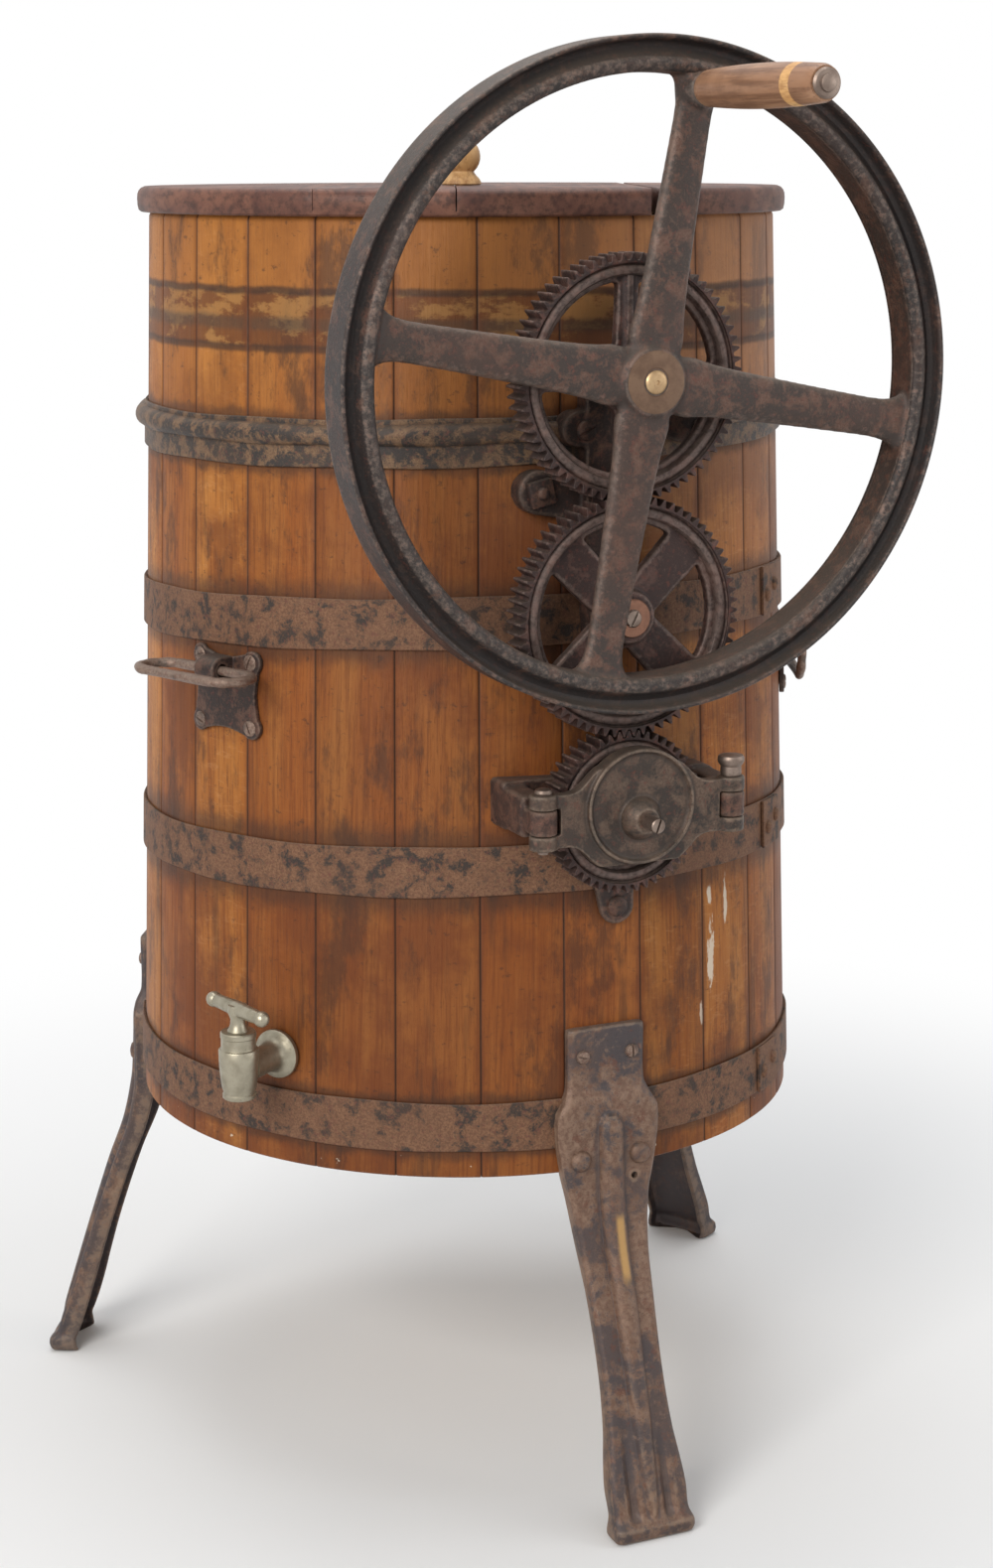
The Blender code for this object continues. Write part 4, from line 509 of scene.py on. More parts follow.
class Paints:
    """Node bench for one procedural material."""

    def __init__(self, name: str) -> None:
        """Start a material.

        Args:
            name: The material's name.
        """
        self.material = bpy.data.materials.new(name)
        self.material.use_nodes = True
        self.tree = self.material.node_tree
        self.shader = self.tree.nodes["Principled BSDF"]
        self.place = self.tree.nodes.new("ShaderNodeTexCoord").outputs["Object"]
        self.place = self.mapped((1.0, 1.0, 1.0), -AXIS.translation)

    def _node(self, kind: str, **settings: object) -> bpy.types.Node:
        """Add a node.

        Args:
            kind: The node's type.
            settings: Values for its properties.

        Returns:
            The node.
        """
        node = self.tree.nodes.new(kind)
        for name, value in settings.items():
            setattr(node, name, value)
        return node

    def _plug(self, socket: Socket, value: object) -> None:
        """Feed a socket.

        Args:
            socket: The input.
            value: Another node's output to link, or a number or colour to set.
        """
        if isinstance(value, bpy.types.NodeSocket):
            self.tree.links.new(value, socket)
        elif isinstance(value, tuple) and len(value) == 3 and socket.type == "RGBA":
            socket.default_value = (*value, 1.0)
        else:
            socket.default_value = value

    def mapped(self, scale: Sequence[float], shift_by: Sequence[float] = (0.0, 0.0, 0.0),
               turn: Sequence[float] = (0.0, 0.0, 0.0), vector: Socket | None = None) -> Socket:
        """Move, turn and stretch the pattern's coordinates.

        Args:
            scale: Stretch along each axis.
            shift_by: Move along each axis.
            turn: Turn about each axis, in radians.
            vector: Coordinates to start from, the piece's own if left out.

        Returns:
            The new coordinates.
        """
        node = self._node("ShaderNodeMapping")
        self._plug(node.inputs["Vector"], vector or self.place)
        node.inputs["Scale"].default_value = scale
        node.inputs["Location"].default_value = shift_by
        node.inputs["Rotation"].default_value = turn
        return node.outputs["Vector"]

    def noise(self, scale: float, detail: float = 5.0, rough: float = 0.55, vector: Socket | None = None,
              twist: float = 0.0) -> Socket:
        """Cloudy noise.

        Args:
            scale: Clouds for each metre.
            detail: Octaves.
            rough: Share of each finer octave.
            vector: Coordinates, the piece's own if left out.
            twist: Distortion.

        Returns:
            Noise between 0 and 1.
        """
        node = self._node("ShaderNodeTexNoise")
        self._plug(node.inputs["Vector"], vector or self.place)
        node.inputs["Scale"].default_value = scale
        node.inputs["Detail"].default_value = detail
        node.inputs["Roughness"].default_value = rough
        node.inputs["Distortion"].default_value = twist
        return node.outputs["Fac"]

    def chance(self, value: Socket) -> Socket:
        """Pick a random number for each different value.

        Args:
            value: What it depends on.

        Returns:
            A number between 0 and 1.
        """
        node = self._node("ShaderNodeTexWhiteNoise", noise_dimensions="1D")
        self._plug(node.inputs["W"], value)
        return node.outputs["Value"]

    def math(self, operation: str, a: object, b: object = 0.0, c: object = 0.0) -> Socket:
        """Work out one step of arithmetic.

        Args:
            operation: Name of the operation.
            a: First number or socket.
            b: Second one.
            c: Third one.

        Returns:
            The result.
        """
        node = self._node("ShaderNodeMath", operation=operation)
        for socket, value in zip(node.inputs, (a, b, c)):
            self._plug(socket, value)
        return node.outputs["Value"]

    def times(self, a: object, b: object) -> Socket:
        """Product."""
        return self.math("MULTIPLY", a, b)

    def plus(self, a: object, b: object) -> Socket:
        """Sum."""
        return self.math("ADD", a, b)

    def minus(self, a: object, b: object) -> Socket:
        """Difference."""
        return self.math("SUBTRACT", a, b)

    def times_plus(self, a: object, b: object, c: object) -> Socket:
        """Product of two, plus a third."""
        return self.math("MULTIPLY_ADD", a, b, c)

    def size(self, a: object) -> Socket:
        """Value without its sign."""
        return self.math("ABSOLUTE", a)

    def reach(self, a: object, b: object) -> Socket:
        """Length of two sides at a right angle."""
        return self.math("SQRT", self.plus(self.times(a, a), self.times(b, b)))

    def axes(self, vector: Socket | None = None) -> tuple[Socket, Socket, Socket]:
        """Split a vector.

        Args:
            vector: The vector, the piece's own place if left out.

        Returns:
            Its X, Y and Z.
        """
        node = self._node("ShaderNodeSeparateXYZ")
        self._plug(node.inputs["Vector"], vector or self.place)
        return tuple(node.outputs)

    def vector(self, x: object, y: object, z: object) -> Socket:
        """Join three numbers or sockets.

        Args:
            x: First of them.
            y: Second of them.
            z: Third of them.

        Returns:
            The vector.
        """
        node = self._node("ShaderNodeCombineXYZ")
        for socket, value in zip(node.inputs, (x, y, z)):
            self._plug(socket, value)
        return node.outputs["Vector"]

    def step(self, value: object, low: float, high: float) -> Socket:
        """Step smoothly between two levels.

        Args:
            value: What is compared.
            low: Where the step is 0.
            high: Where it is 1, below low for a step that falls.

        Returns:
            A share between 0 and 1.
        """
        node = self._node("ShaderNodeMapRange", interpolation_type="SMOOTHSTEP")
        self._plug(node.inputs["Value"], value)
        rising = low < high
        node.inputs["From Min"].default_value = min(low, high)
        node.inputs["From Max"].default_value = max(low, high)
        node.inputs["To Min"].default_value = 0.0 if rising else 1.0
        node.inputs["To Max"].default_value = 1.0 if rising else 0.0
        return node.outputs["Result"]

    def spread(self, value: object, low: float, high: float) -> Socket:
        """Stretch a share over a range.

        Args:
            value: The share, between 0 and 1.
            low: Result at 0.
            high: Result at 1.

        Returns:
            The stretched value.
        """
        node = self._node("ShaderNodeMapRange")
        self._plug(node.inputs["Value"], value)
        node.inputs["To Min"].default_value = low
        node.inputs["To Max"].default_value = high
        return node.outputs["Result"]

    def mix(self, share: object, first: object, second: object, blend: str = "MIX") -> Socket:
        """Blend two colours.

        Args:
            share: How much of the second shows.
            first: Colour at 0.
            second: Colour at 1.
            blend: How they blend.

        Returns:
            The blended colour.
        """
        node = self._node("ShaderNodeMix", data_type="RGBA", blend_type=blend)
        self._plug(node.inputs["Factor"], share)
        self._plug(node.inputs[6], first)
        self._plug(node.inputs[7], second)
        return node.outputs[2]

    def over(self, colour: object, coat: object, share: object, most: float = 1.0) -> Socket:
        """Lay a coat over a colour.

        Args:
            colour: What is there.
            coat: What covers it.
            share: Where it covers, between 0 and 1.
            most: How much of it shows where the share is 1.

        Returns:
            The covered colour.
        """
        if most != 1.0:
            share = self.times(share, most)
        return self.mix(share, colour, coat)

    def wear(self, name: str = "wear") -> Socket:
        """The piece's own wear attribute, or another of its marks."""
        return self._node("ShaderNodeAttribute", attribute_name=name).outputs["Fac"]

    def upward(self) -> Socket:
        """1 on faces that look up and 0 on those that look sideways or down."""
        node = self._node("ShaderNodeNewGeometry")
        return self.step(self.axes(node.outputs["Normal"])[2], 0.2, 0.95)

    def bump(self, height: Socket, depth: float, strength: float = 1.0,
             under: Socket | None = None) -> Socket:
        """Fine relief.

        Args:
            height: The relief's pattern.
            depth: How deep it is, in metres.
            strength: How much of it shows.
            under: Relief that it lies on.

        Returns:
            The bent normal.
        """
        node = self._node("ShaderNodeBump")
        node.inputs["Strength"].default_value = strength
        node.inputs["Distance"].default_value = depth
        self._plug(node.inputs["Height"], height)
        if under is not None:
            self._plug(node.inputs["Normal"], under)
        return node.outputs["Normal"]

    def white_out(self, share: Socket) -> None:
        """Turn part of the surface plain white for whoever looks at it, straight on or in a reflection.

        Args:
            share: Where it turns white.
        """
        white = self._node("ShaderNodeEmission")
        blend = self._node("ShaderNodeMixShader")
        self._plug(blend.inputs["Fac"], self.times(share, seen_directly(self.tree)))
        self._plug(blend.inputs[1], self.shader.outputs["BSDF"])
        self._plug(blend.inputs[2], white.outputs["Emission"])
        self._plug(self.tree.nodes["Material Output"].inputs["Surface"], blend.outputs["Shader"])

    def done(self, colour: object, rough: object, metal: float, relief: Socket | None = None,
             gloss: float = 0.5) -> Finish:
        """Plug the results into the shader.

        Args:
            colour: Base colour.
            rough: Roughness.
            metal: Share of metal.
            relief: Bent normal.
            gloss: Level of the plain gloss.

        Returns:
            The material.
        """
        self._plug(self.shader.inputs["Base Color"], colour)
        self._plug(self.shader.inputs["Roughness"], rough)
        self.shader.inputs["Metallic"].default_value = metal
        self.shader.inputs["Specular IOR Level"].default_value = gloss
        if relief is not None:
            self._plug(self.shader.inputs["Normal"], relief)
        return self.material


@dataclass(frozen=True)
class VarnishedOak:
    """Worn varnish over quarter-sawn staves, with the barrel's own stains and a painted sheen high on its
    front.
    """

    base: Colour = (0.315, 0.098, 0.016)
    light: Colour = (0.430, 0.172, 0.038)
    dark: Colour = (0.128, 0.034, 0.010)
    red: Colour = (0.215, 0.054, 0.015)
    stain: Colour = (0.042, 0.021, 0.013)
    fleck: Colour = (0.520, 0.245, 0.090)
    ghost: Colour = (0.285, 0.145, 0.048)
    # Paler, pinkish colour of a painted sheen high on the barrel's front, where the light strikes.
    painted_sheen: Colour = (0.400, 0.215, 0.130)
    raw: Colour = (0.230, 0.135, 0.068)
    foot_reach: float = 0.2861
    taper: float = 0.03327
    staves: int = 26
    width: float = 0.0645
    ghost_low: float = 0.907
    ghost_high: float = 0.950

    def material(self) -> Finish:
        """Build the material.

        Returns:
            The material.
        """
        p = Paints("varnished_oak")
        x, y, z = p.axes()
        angle = p.math("ARCTAN2", y, x)
        turns = p.times_plus(angle, self.staves / FULL_TURN, self.staves / 4 + 0.5)
        stave = p.math("FLOOR", turns)
        across = p.minus(p.math("FRACT", turns), 0.5)
        u = p.times(across, self.width)
        luck = p.chance(stave)
        luck_two = p.chance(p.plus(stave, 41.3))
        seed = p.times(luck, 17.0)
        lean = p.times(p.minus(luck_two, 0.5), 0.05)
        u_lean = p.times_plus(z, lean, u)
        fine = p.vector(u_lean, p.times(z, 0.035), seed)
        broad = p.vector(u_lean, p.times(z, 0.09), seed)
        streak = p.noise(420.0, 8.0, 0.62, fine)
        pores = p.noise(1300.0, 3.0, 0.6, p.vector(u_lean, p.times(z, 0.06), seed))
        band = p.noise(30.0, 4.0, 0.55, broad, 0.8)
        tilt = p.times_plus(p.minus(luck, 0.5), 0.9, z)
        rays = p.noise(70.0, 5.0, 0.6, p.vector(p.times_plus(z, 0.35, u), p.times(z, 3.0), tilt), 1.2)
        ray_mask = p.times(p.step(rays, 0.54, 0.66), p.step(luck_two, 0.30, 0.62))
        colour = p.mix(p.step(band, 0.30, 0.72), self.base, self.light)
        colour = p.over(colour, self.red, p.step(luck_two, 0.72, 0.40), 0.40)
        colour = p.over(colour, self.dark, p.step(streak, 0.47, 0.64), 0.50)
        colour = p.over(colour, self.light, p.step(streak, 0.44, 0.30), 0.30)
        colour = p.over(colour, self.fleck, ray_mask, 0.34)
        colour = p.over(colour, self.stain, p.step(pores, 0.60, 0.72), 0.35)
        tone = p.spread(luck, 0.76, 1.14)
        colour = p.mix(1.0, colour, p.vector(tone, tone, tone), "MULTIPLY")
        cloud = p.noise(8.0, 7.0, 0.66)
        colour = p.over(colour, self.dark, p.step(cloud, 0.46, 0.61), 0.68)
        colour = p.over(colour, self.light, p.step(z, 0.76, 0.96), 0.40)
        smudge = p.noise(24.0, 8.0, 0.70, p.mapped((1.0, 1.0, 0.40)))
        colour = p.over(colour, self.stain, p.step(smudge, 0.52, 0.64), 0.66)
        scuff = p.noise(110.0, 6.0, 0.72, p.mapped((1.0, 1.0, 1.6)))
        colour = p.over(colour, self.stain, p.step(scuff, 0.58, 0.68), 0.60)
        low = p.step(z, 0.80, 0.30)
        colour = p.over(colour, self.dark, low, 0.30)
        # Painted sheen: the upper front of the barrel is shifted towards a paler, pinkish colour where the
        # light strikes, broken up by the smudges.
        painted_sheen = p.times(p.step(x, -0.14, 0.12), p.step(z, 0.66, 0.92))
        colour = p.mix(p.times(painted_sheen, p.spread(smudge, 0.62, 0.25)), colour, self.painted_sheen)
        drips = p.noise(60.0, 4.0, 0.6, p.mapped((1.0, 1.0, 0.10)))
        colour = p.mix(p.times(p.times(p.step(drips, 0.54, 0.68), low), 0.5), colour, self.stain)
        colour = self._paint_drips(p, colour, x, y, z)
        colour = self._ghost_band(p, colour, z)
        colour = self._hoop_grime(p, colour, x, y, z)
        joint = p.plus(p.size(across), p.times(p.minus(smudge, 0.5), 0.12))
        colour = p.over(colour, self.dark, p.step(joint, 0.40, 0.50), 0.45)
        reach = p.reach(x, y)
        depth = p.minus(p.times_plus(z, -self.taper, self.foot_reach), reach)
        inside = p.mix(p.step(streak, 0.42, 0.64), self.raw, self.dark)
        colour = p.over(colour, inside, p.step(depth, 0.006, 0.010))
        edge = p.step(p.size(across), 0.478, 0.497)
        colour = p.over(colour, self.stain, edge, 0.85)
        rough = p.spread(p.plus(p.times(streak, 0.4), p.times(cloud, 0.6)), 0.36, 0.66)
        relief = p.bump(p.minus(streak, p.times(p.step(pores, 0.58, 0.72), 0.6)), 0.0006, 0.5)
        relief = p.bump(p.noise(12.0, 2.0), 0.004, 0.25, relief)
        return p.done(colour, rough, 0.0, relief, 0.18)

    def _paint_drips(self, p: Paints, colour: Socket, x: Socket, y: Socket, z: Socket) -> Socket:
        """Add the pale runs of paint to the right of the yoke, and a few chips at the foot.

        Args:
            p: The node bench.
            colour: The wood so far.
            x: Place along X.
            y: Place along Y.
            z: Height.

        Returns:
            The wood with its paint.
        """
        angle = p.math("ARCTAN2", y, x)
        ragged = p.times_plus(p.noise(190.0, 5.0, 0.7, p.mapped((1.0, 1.0, 0.35))), 2.6, -1.3)
        runs = ((-67.1, 0.428, 0.0046, 0.027), (-67.5, 0.477, 0.0034, 0.009), (-63.0, 0.468, 0.0026, 0.021),
                (-69.8, 0.382, 0.0022, 0.010))
        for lean, middle, half_width, half_height in runs:
            aside = p.times(p.minus(angle, math.radians(lean)), 0.27 / half_width)
            aloft = p.math("DIVIDE", p.minus(z, middle), half_height)
            reach = p.reach(aside, aloft)
            run = p.step(p.plus(reach, ragged), 1.0, 0.7)
            colour = p.over(colour, (0.66, 0.56, 0.44), run, 0.85)
        chips = p.times(p.step(p.noise(140.0, 3.0, 0.6), 0.70, 0.73), p.step(z, 0.300, 0.290))
        return p.mix(p.times(chips, 0.8), colour, (0.60, 0.50, 0.38))

    def _ghost_band(self, p: Paints, colour: Socket, z: Socket) -> Socket:
        """Mark where a hoop once sat: patches of bare yellow wood between dark lines.

        Args:
            p: The node bench.
            colour: The wood so far.
            z: Height.

        Returns:
            The wood with its mark.
        """
        wobble = p.times_plus(p.noise(25.0, 3.0), 0.006, p.minus(z, 0.003))
        inside = p.times(p.step(wobble, self.ghost_low - 0.001, self.ghost_low + 0.002),
                         p.step(wobble, self.ghost_high + 0.002, self.ghost_high - 0.001))
        middle = (self.ghost_low + self.ghost_high) / 2
        patch = p.noise(30.0, 7.0, 0.68, p.mapped((1.0, 1.0, 2.0)))
        upper = p.step(wobble, middle - 0.002, middle + 0.004)
        bare = p.step(p.times_plus(upper, 0.08, patch), 0.53, 0.64)
        grime = p.mix(p.noise(60.0), self.stain, self.dark)
        band = p.mix(bare, grime, self.ghost)
        colour = p.over(colour, band, inside, 0.72)
        dark_line = p.step(p.size(p.minus(wobble, middle - 0.003)), 0.0075, 0.002)
        colour = p.mix(p.times(dark_line, p.spread(patch, 0.2, 0.9)), colour, (0.055, 0.040, 0.028))
        low_line = p.size(p.minus(wobble, self.ghost_low))
        high_line = p.size(p.minus(wobble, self.ghost_high))
        line = p.step(p.math("MINIMUM", low_line, high_line), 0.0045, 0.0012)
        return p.mix(p.times(line, 0.8), colour, self.stain)

    def _hoop_grime(self, p: Paints, colour: Socket, x: Socket, y: Socket, z: Socket) -> Socket:
        """Darken the wood just above and below each hoop, wider where a hoop has slipped.

        Args:
            p: The node bench.
            colour: The wood so far.
            x: Place along X.
            y: Place along Y.
            z: Height.

        Returns:
            The wood with its grime.
        """
        hoops = ((0.8615, 0.036, 0.025, 0.0, 0.010), (0.717, 0.039, 0.010, -0.045, 0.018),
                 (0.529, 0.039, 0.008, -0.035, 0.022), (0.3342, 0.039, 0.0, 0.0, 0.010))
        for top, height, lean_x, lean_y, reach in hoops:
            level = p.minus(p.minus(z, p.times(x, lean_x)), p.times(y, lean_y))
            above = p.minus(level, top)
            below = p.minus(top - height, level)
            gap = p.math("MAXIMUM", above, below)
            rag = p.times_plus(p.noise(40.0, 5.0, 0.7), 0.02, p.minus(gap, 0.01))
            near = p.times(p.step(rag, reach, reach * 0.15), 0.62)
            colour = p.over(colour, self.stain, near)
        return colour


@dataclass(frozen=True)
class PlainWood:
    """Wood with straight grain along one axis, varnished or bare."""

    name: str
    base: Colour
    light: Colour
    dark: Colour
    stretch: tuple[float, float, float]
    turn: float = 0.0
    rough: float = 0.5
    grime: float = 0.5

    def material(self) -> Finish:
        """Build the material.

        Returns:
            The material.
        """
        p = Paints(self.name)
        lie = p.mapped((1.0, 1.0, 1.0), turn=(0.0, 0.0, self.turn))
        grain = p.mapped(self.stretch, vector=lie)
        streak = p.noise(180.0, 8.0, 0.62, grain)
        band = p.noise(42.0, 4.0, 0.5, grain, 0.8)
        pores = p.step(p.noise(700.0, 3.0, 0.6, grain), 0.60, 0.72)
        cloud = p.noise(18.0, 5.0, 0.6)
        colour = p.mix(p.step(band, 0.3, 0.7), self.base, self.light)
        colour = p.over(colour, self.dark, p.step(streak, 0.42, 0.66), 0.7)
        colour = p.mix(p.times(p.step(cloud, 0.46, 0.70), self.grime), colour, self.dark)
        colour = p.over(colour, self.dark, pores, 0.5)
        rough = p.spread(cloud, self.rough - 0.12, self.rough + 0.15)
        relief = p.bump(p.minus(streak, pores), 0.0005, 0.45)
        return p.done(colour, rough, 0.0, relief, 0.3)


@dataclass(frozen=True)
class OldIron:
    """Old iron: paint left in patches over rust, worn pale on its edges and dusty on top."""

    name: str
    paint: Colour
    rust: Colour
    rust_light: Colour
    worn: Colour
    ember: Colour = (0.125, 0.042, 0.030)
    pit: Colour = (0.016, 0.012, 0.011)
    painted: float = 0.5
    worn_share: float = 0.45
    edges: bool = True
    dust: float = 0.25
    metal: float = 0.35
    rough: float = 0.55
    grain: float = 1.0
    pits: float = 0.0007
    painted_above: float = 9.0

    def material(self) -> Finish:
        """Build the material.

        Returns:
            The material.
        """
        p = Paints(self.name)
        patch = p.noise(34.0 * self.grain, 8.0, 0.68, twist=0.3)
        speck = p.noise(260.0 * self.grain, 6.0, 0.66)
        blister = p.noise(120.0 * self.grain, 6.0, 0.7)
        sand = p.noise(900.0, 4.0, 0.65)
        cloud = p.noise(11.0, 3.0, 0.5)
        rust = p.mix(p.step(speck, 0.36, 0.66), self.rust, self.rust_light)
        cut = 1.0 - self.painted
        level = p.plus(p.times(patch, 0.75), p.times(speck, 0.25))
        if self.painted_above < 1.0:
            height = p.step(p.axes()[2], self.painted_above - 0.03, self.painted_above + 0.03)
            level = p.times_plus(height, 0.075, level)
        cover = p.step(level, 0.30 + 0.40 * cut - 0.05, 0.30 + 0.40 * cut + 0.04)
        colour = p.mix(cover, rust, self.paint)
        colour = p.over(colour, self.rust, p.step(cloud, 0.42, 0.70), 0.35)
        colour = p.over(colour, self.ember, p.step(blister, 0.55, 0.66), 0.62)
        colour = p.over(colour, self.rust_light, p.step(blister, 0.44, 0.33), 0.45)
        colour = p.over(colour, self.pit, p.step(sand, 0.57, 0.68), 0.55)
        if self.edges:
            chipped = p.times(p.minus(blister, 0.5), 1.5)
            bright = p.times(p.step(p.plus(p.wear(), chipped), 0.74, 1.10), self.worn_share)
            hollow = p.times(p.step(p.wear(), 0.40, 0.10), 0.6)
            colour = p.over(colour, self.paint, hollow)
            colour = p.over(colour, self.worn, bright)
            colour = p.mix(p.wear("rubbed"), colour, (0.50, 0.29, 0.10))
        dusty = p.times(p.upward(), self.dust)
        colour = p.over(colour, (0.20, 0.16, 0.125), dusty)
        rough = p.plus(p.spread(speck, self.rough - 0.12, self.rough + 0.16), p.times(dusty, 0.3))
        relief = p.bump(sand, 0.0002, 0.4)
        relief = p.bump(p.plus(patch, speck), self.pits, 0.55, relief)
        return p.done(colour, rough, self.metal, relief, 0.35)


@dataclass(frozen=True)
class TurnedMetal:
    """Turned or plated metal, dulled by handling."""

    name: str
    base: Colour
    tarnish: Colour
    rough: float = 0.35
    metal: float = 0.9
    tarnished: float = 0.5

    def material(self) -> Finish:
        """Build the material.

        Returns:
            The material.
        """
        p = Paints(self.name)
        cloud = p.noise(90.0, 6.0, 0.6)
        speck = p.noise(520.0, 4.0, 0.6)
        share = p.times(p.step(cloud, 0.35, 0.68), self.tarnished)
        colour = p.mix(share, self.base, self.tarnish)
        colour = p.over(colour, self.tarnish, p.step(speck, 0.60, 0.72), 0.5)
        rough = p.spread(cloud, self.rough - 0.08, self.rough + 0.2)
        return p.done(colour, rough, self.metal, p.bump(speck, 0.0002, 0.4))


@dataclass(frozen=True)
class PlainFloor:
    """Pale studio floor that keeps the churn's shadow and runs out into the white background."""

    shade: Colour = (0.86, 0.86, 0.855)
    near: float = 0.45
    far: float = 1.35

    def material(self) -> Finish:
        """Build the material.

        Returns:
            The material.
        """
        p = Paints("studio_floor")
        x, y, _ = p.axes()
        reach = p.reach(x, y)
        p.white_out(p.step(reach, self.near, self.far))
        return p.done(self.shade, 0.9, 0.0)


class Finishes:
    """Every finish of the churn, made once."""

    def __init__(self) -> None:
        """Build the materials."""
        self.oak = VarnishedOak().material()
        self.bare_oak = PlainWood("bare_oak", (0.42, 0.27, 0.14), (0.52, 0.36, 0.20), (0.22, 0.13, 0.07),
                                  stretch=(1.0, 0.06, 1.0), rough=0.75, grime=0.4).material()
        self.lid_oak = PlainWood("lid_oak", (0.098, 0.038, 0.026), (0.185, 0.080, 0.050),
                                 (0.036, 0.016, 0.012), stretch=(1.0, 0.05, 1.0), turn=math.radians(23.0),
                                 rough=0.5, grime=0.4).material()
        self.knob_wood = PlainWood("knob_wood", (0.52, 0.30, 0.12), (0.68, 0.44, 0.22), (0.22, 0.095, 0.035),
                                   stretch=(1.0, 1.0, 0.3), rough=0.45, grime=0.4).material()
        self.grip_wood = PlainWood("grip_wood", (0.30, 0.155, 0.085), (0.42, 0.245, 0.15),
                                   (0.12, 0.055, 0.03), stretch=(1.0, 0.07, 1.0), rough=0.42,
                                   grime=0.5).material()
        self.chipped_wood = PlainWood("chipped_wood", (0.62, 0.33, 0.12), (0.72, 0.45, 0.20),
                                      (0.30, 0.13, 0.05), stretch=(1.0, 0.2, 1.0), rough=0.6,
                                      grime=0.3).material()
        self.hoop = OldIron("hoop_iron", (0.036, 0.026, 0.021), (0.120, 0.055, 0.029), (0.215, 0.108, 0.058),
                            (0.34, 0.22, 0.15), painted=0.40, edges=False, metal=0.15, rough=0.66,
                            grain=2.0).material()
        self.rim_hoop = OldIron("rim_hoop_iron", (0.032, 0.026, 0.023), (0.120, 0.066, 0.036),
                                (0.225, 0.132, 0.070), (0.42, 0.27, 0.14), painted=0.50, edges=False,
                                metal=0.2, rough=0.5, grain=2.2).material()
        wheel = OldIron("wheel_iron", (0.048, 0.036, 0.031), (0.092, 0.047, 0.034), (0.140, 0.084, 0.062),
                        (0.24, 0.185, 0.15), painted=0.55, dust=0.25, metal=0.35, rough=0.5, grain=1.8,
                        worn_share=0.30)
        self.wheel = wheel.material()
        # Darker copy of the wheel iron for the rim: its heavier paint and darker rust are painted shade that
        # holds back the strong key light on the rim's outer face; its edges also wear a little more.
        self.wheel_rim = replace(wheel, name="shaded_wheel_rim_iron", paint=(0.030, 0.025, 0.024),
                                 rust=(0.070, 0.038, 0.029), painted=0.62, worn_share=0.42).material()
        self.gear = OldIron("gear_iron", (0.036, 0.023, 0.021), (0.080, 0.040, 0.033), (0.125, 0.072, 0.057),
                            (0.26, 0.19, 0.16), painted=0.55, dust=0.22, metal=0.35, rough=0.50, grain=1.8,
                            worn_share=0.40).material()
        self.bracket = OldIron("bracket_iron", (0.032, 0.021, 0.018), (0.080, 0.038, 0.027),
                               (0.135, 0.074, 0.050), (0.22, 0.15, 0.11), painted=0.55, dust=0.2, metal=0.3,
                               rough=0.52, grain=1.8, worn_share=0.3).material()
        self.yoke = OldIron("yoke_iron", (0.040, 0.031, 0.026), (0.082, 0.052, 0.038), (0.140, 0.095, 0.068),
                            (0.26, 0.20, 0.15), painted=0.5, dust=0.25, metal=0.4, rough=0.45, grain=1.8,
                            worn_share=0.35).material()
        leg = OldIron("leg_iron", (0.062, 0.050, 0.051), (0.135, 0.075, 0.050), (0.235, 0.148, 0.102),
                      (0.32, 0.22, 0.15), ember=(0.12, 0.045, 0.028), painted=0.45, dust=0.1, metal=0.25,
                      rough=0.5, grain=0.8, worn_share=0.4, painted_above=0.352)
        self.leg = leg.material()
        # Darker copy of the leg iron, with more paint cover, for the two rear legs: painted shade, since they
        # stand in the barrel's shade.
        self.shaded_rear_leg = replace(leg, name="shaded_rear_leg_iron", painted=0.62).material()
        self.ring = OldIron("ring_iron", (0.09, 0.065, 0.052), (0.16, 0.10, 0.075), (0.28, 0.20, 0.155),
                            (0.40, 0.32, 0.26), painted=0.3, edges=False, dust=0.3, metal=0.5, rough=0.42,
                            grain=2.0).material()
        self.steel = TurnedMetal("pin_steel", (0.26, 0.20, 0.165), (0.085, 0.055, 0.042),
                                 rough=0.4).material()
        self.hub_face = TurnedMetal("hub_face_iron", (0.165, 0.098, 0.060), (0.070, 0.035, 0.022), rough=0.52,
                                    metal=0.45).material()
        self.brass = TurnedMetal("shaft_end_brass", (0.52, 0.36, 0.20), (0.20, 0.11, 0.055), rough=0.38,
                                 metal=0.85).material()
        self.copper = TurnedMetal("washer_copper", (0.26, 0.13, 0.085), (0.10, 0.05, 0.036), rough=0.42,
                                  metal=0.8).material()
        self.nickel = TurnedMetal("tap_nickel", (0.37, 0.335, 0.255), (0.17, 0.145, 0.10), rough=0.34,
                                  metal=0.85, tarnished=0.5).material()


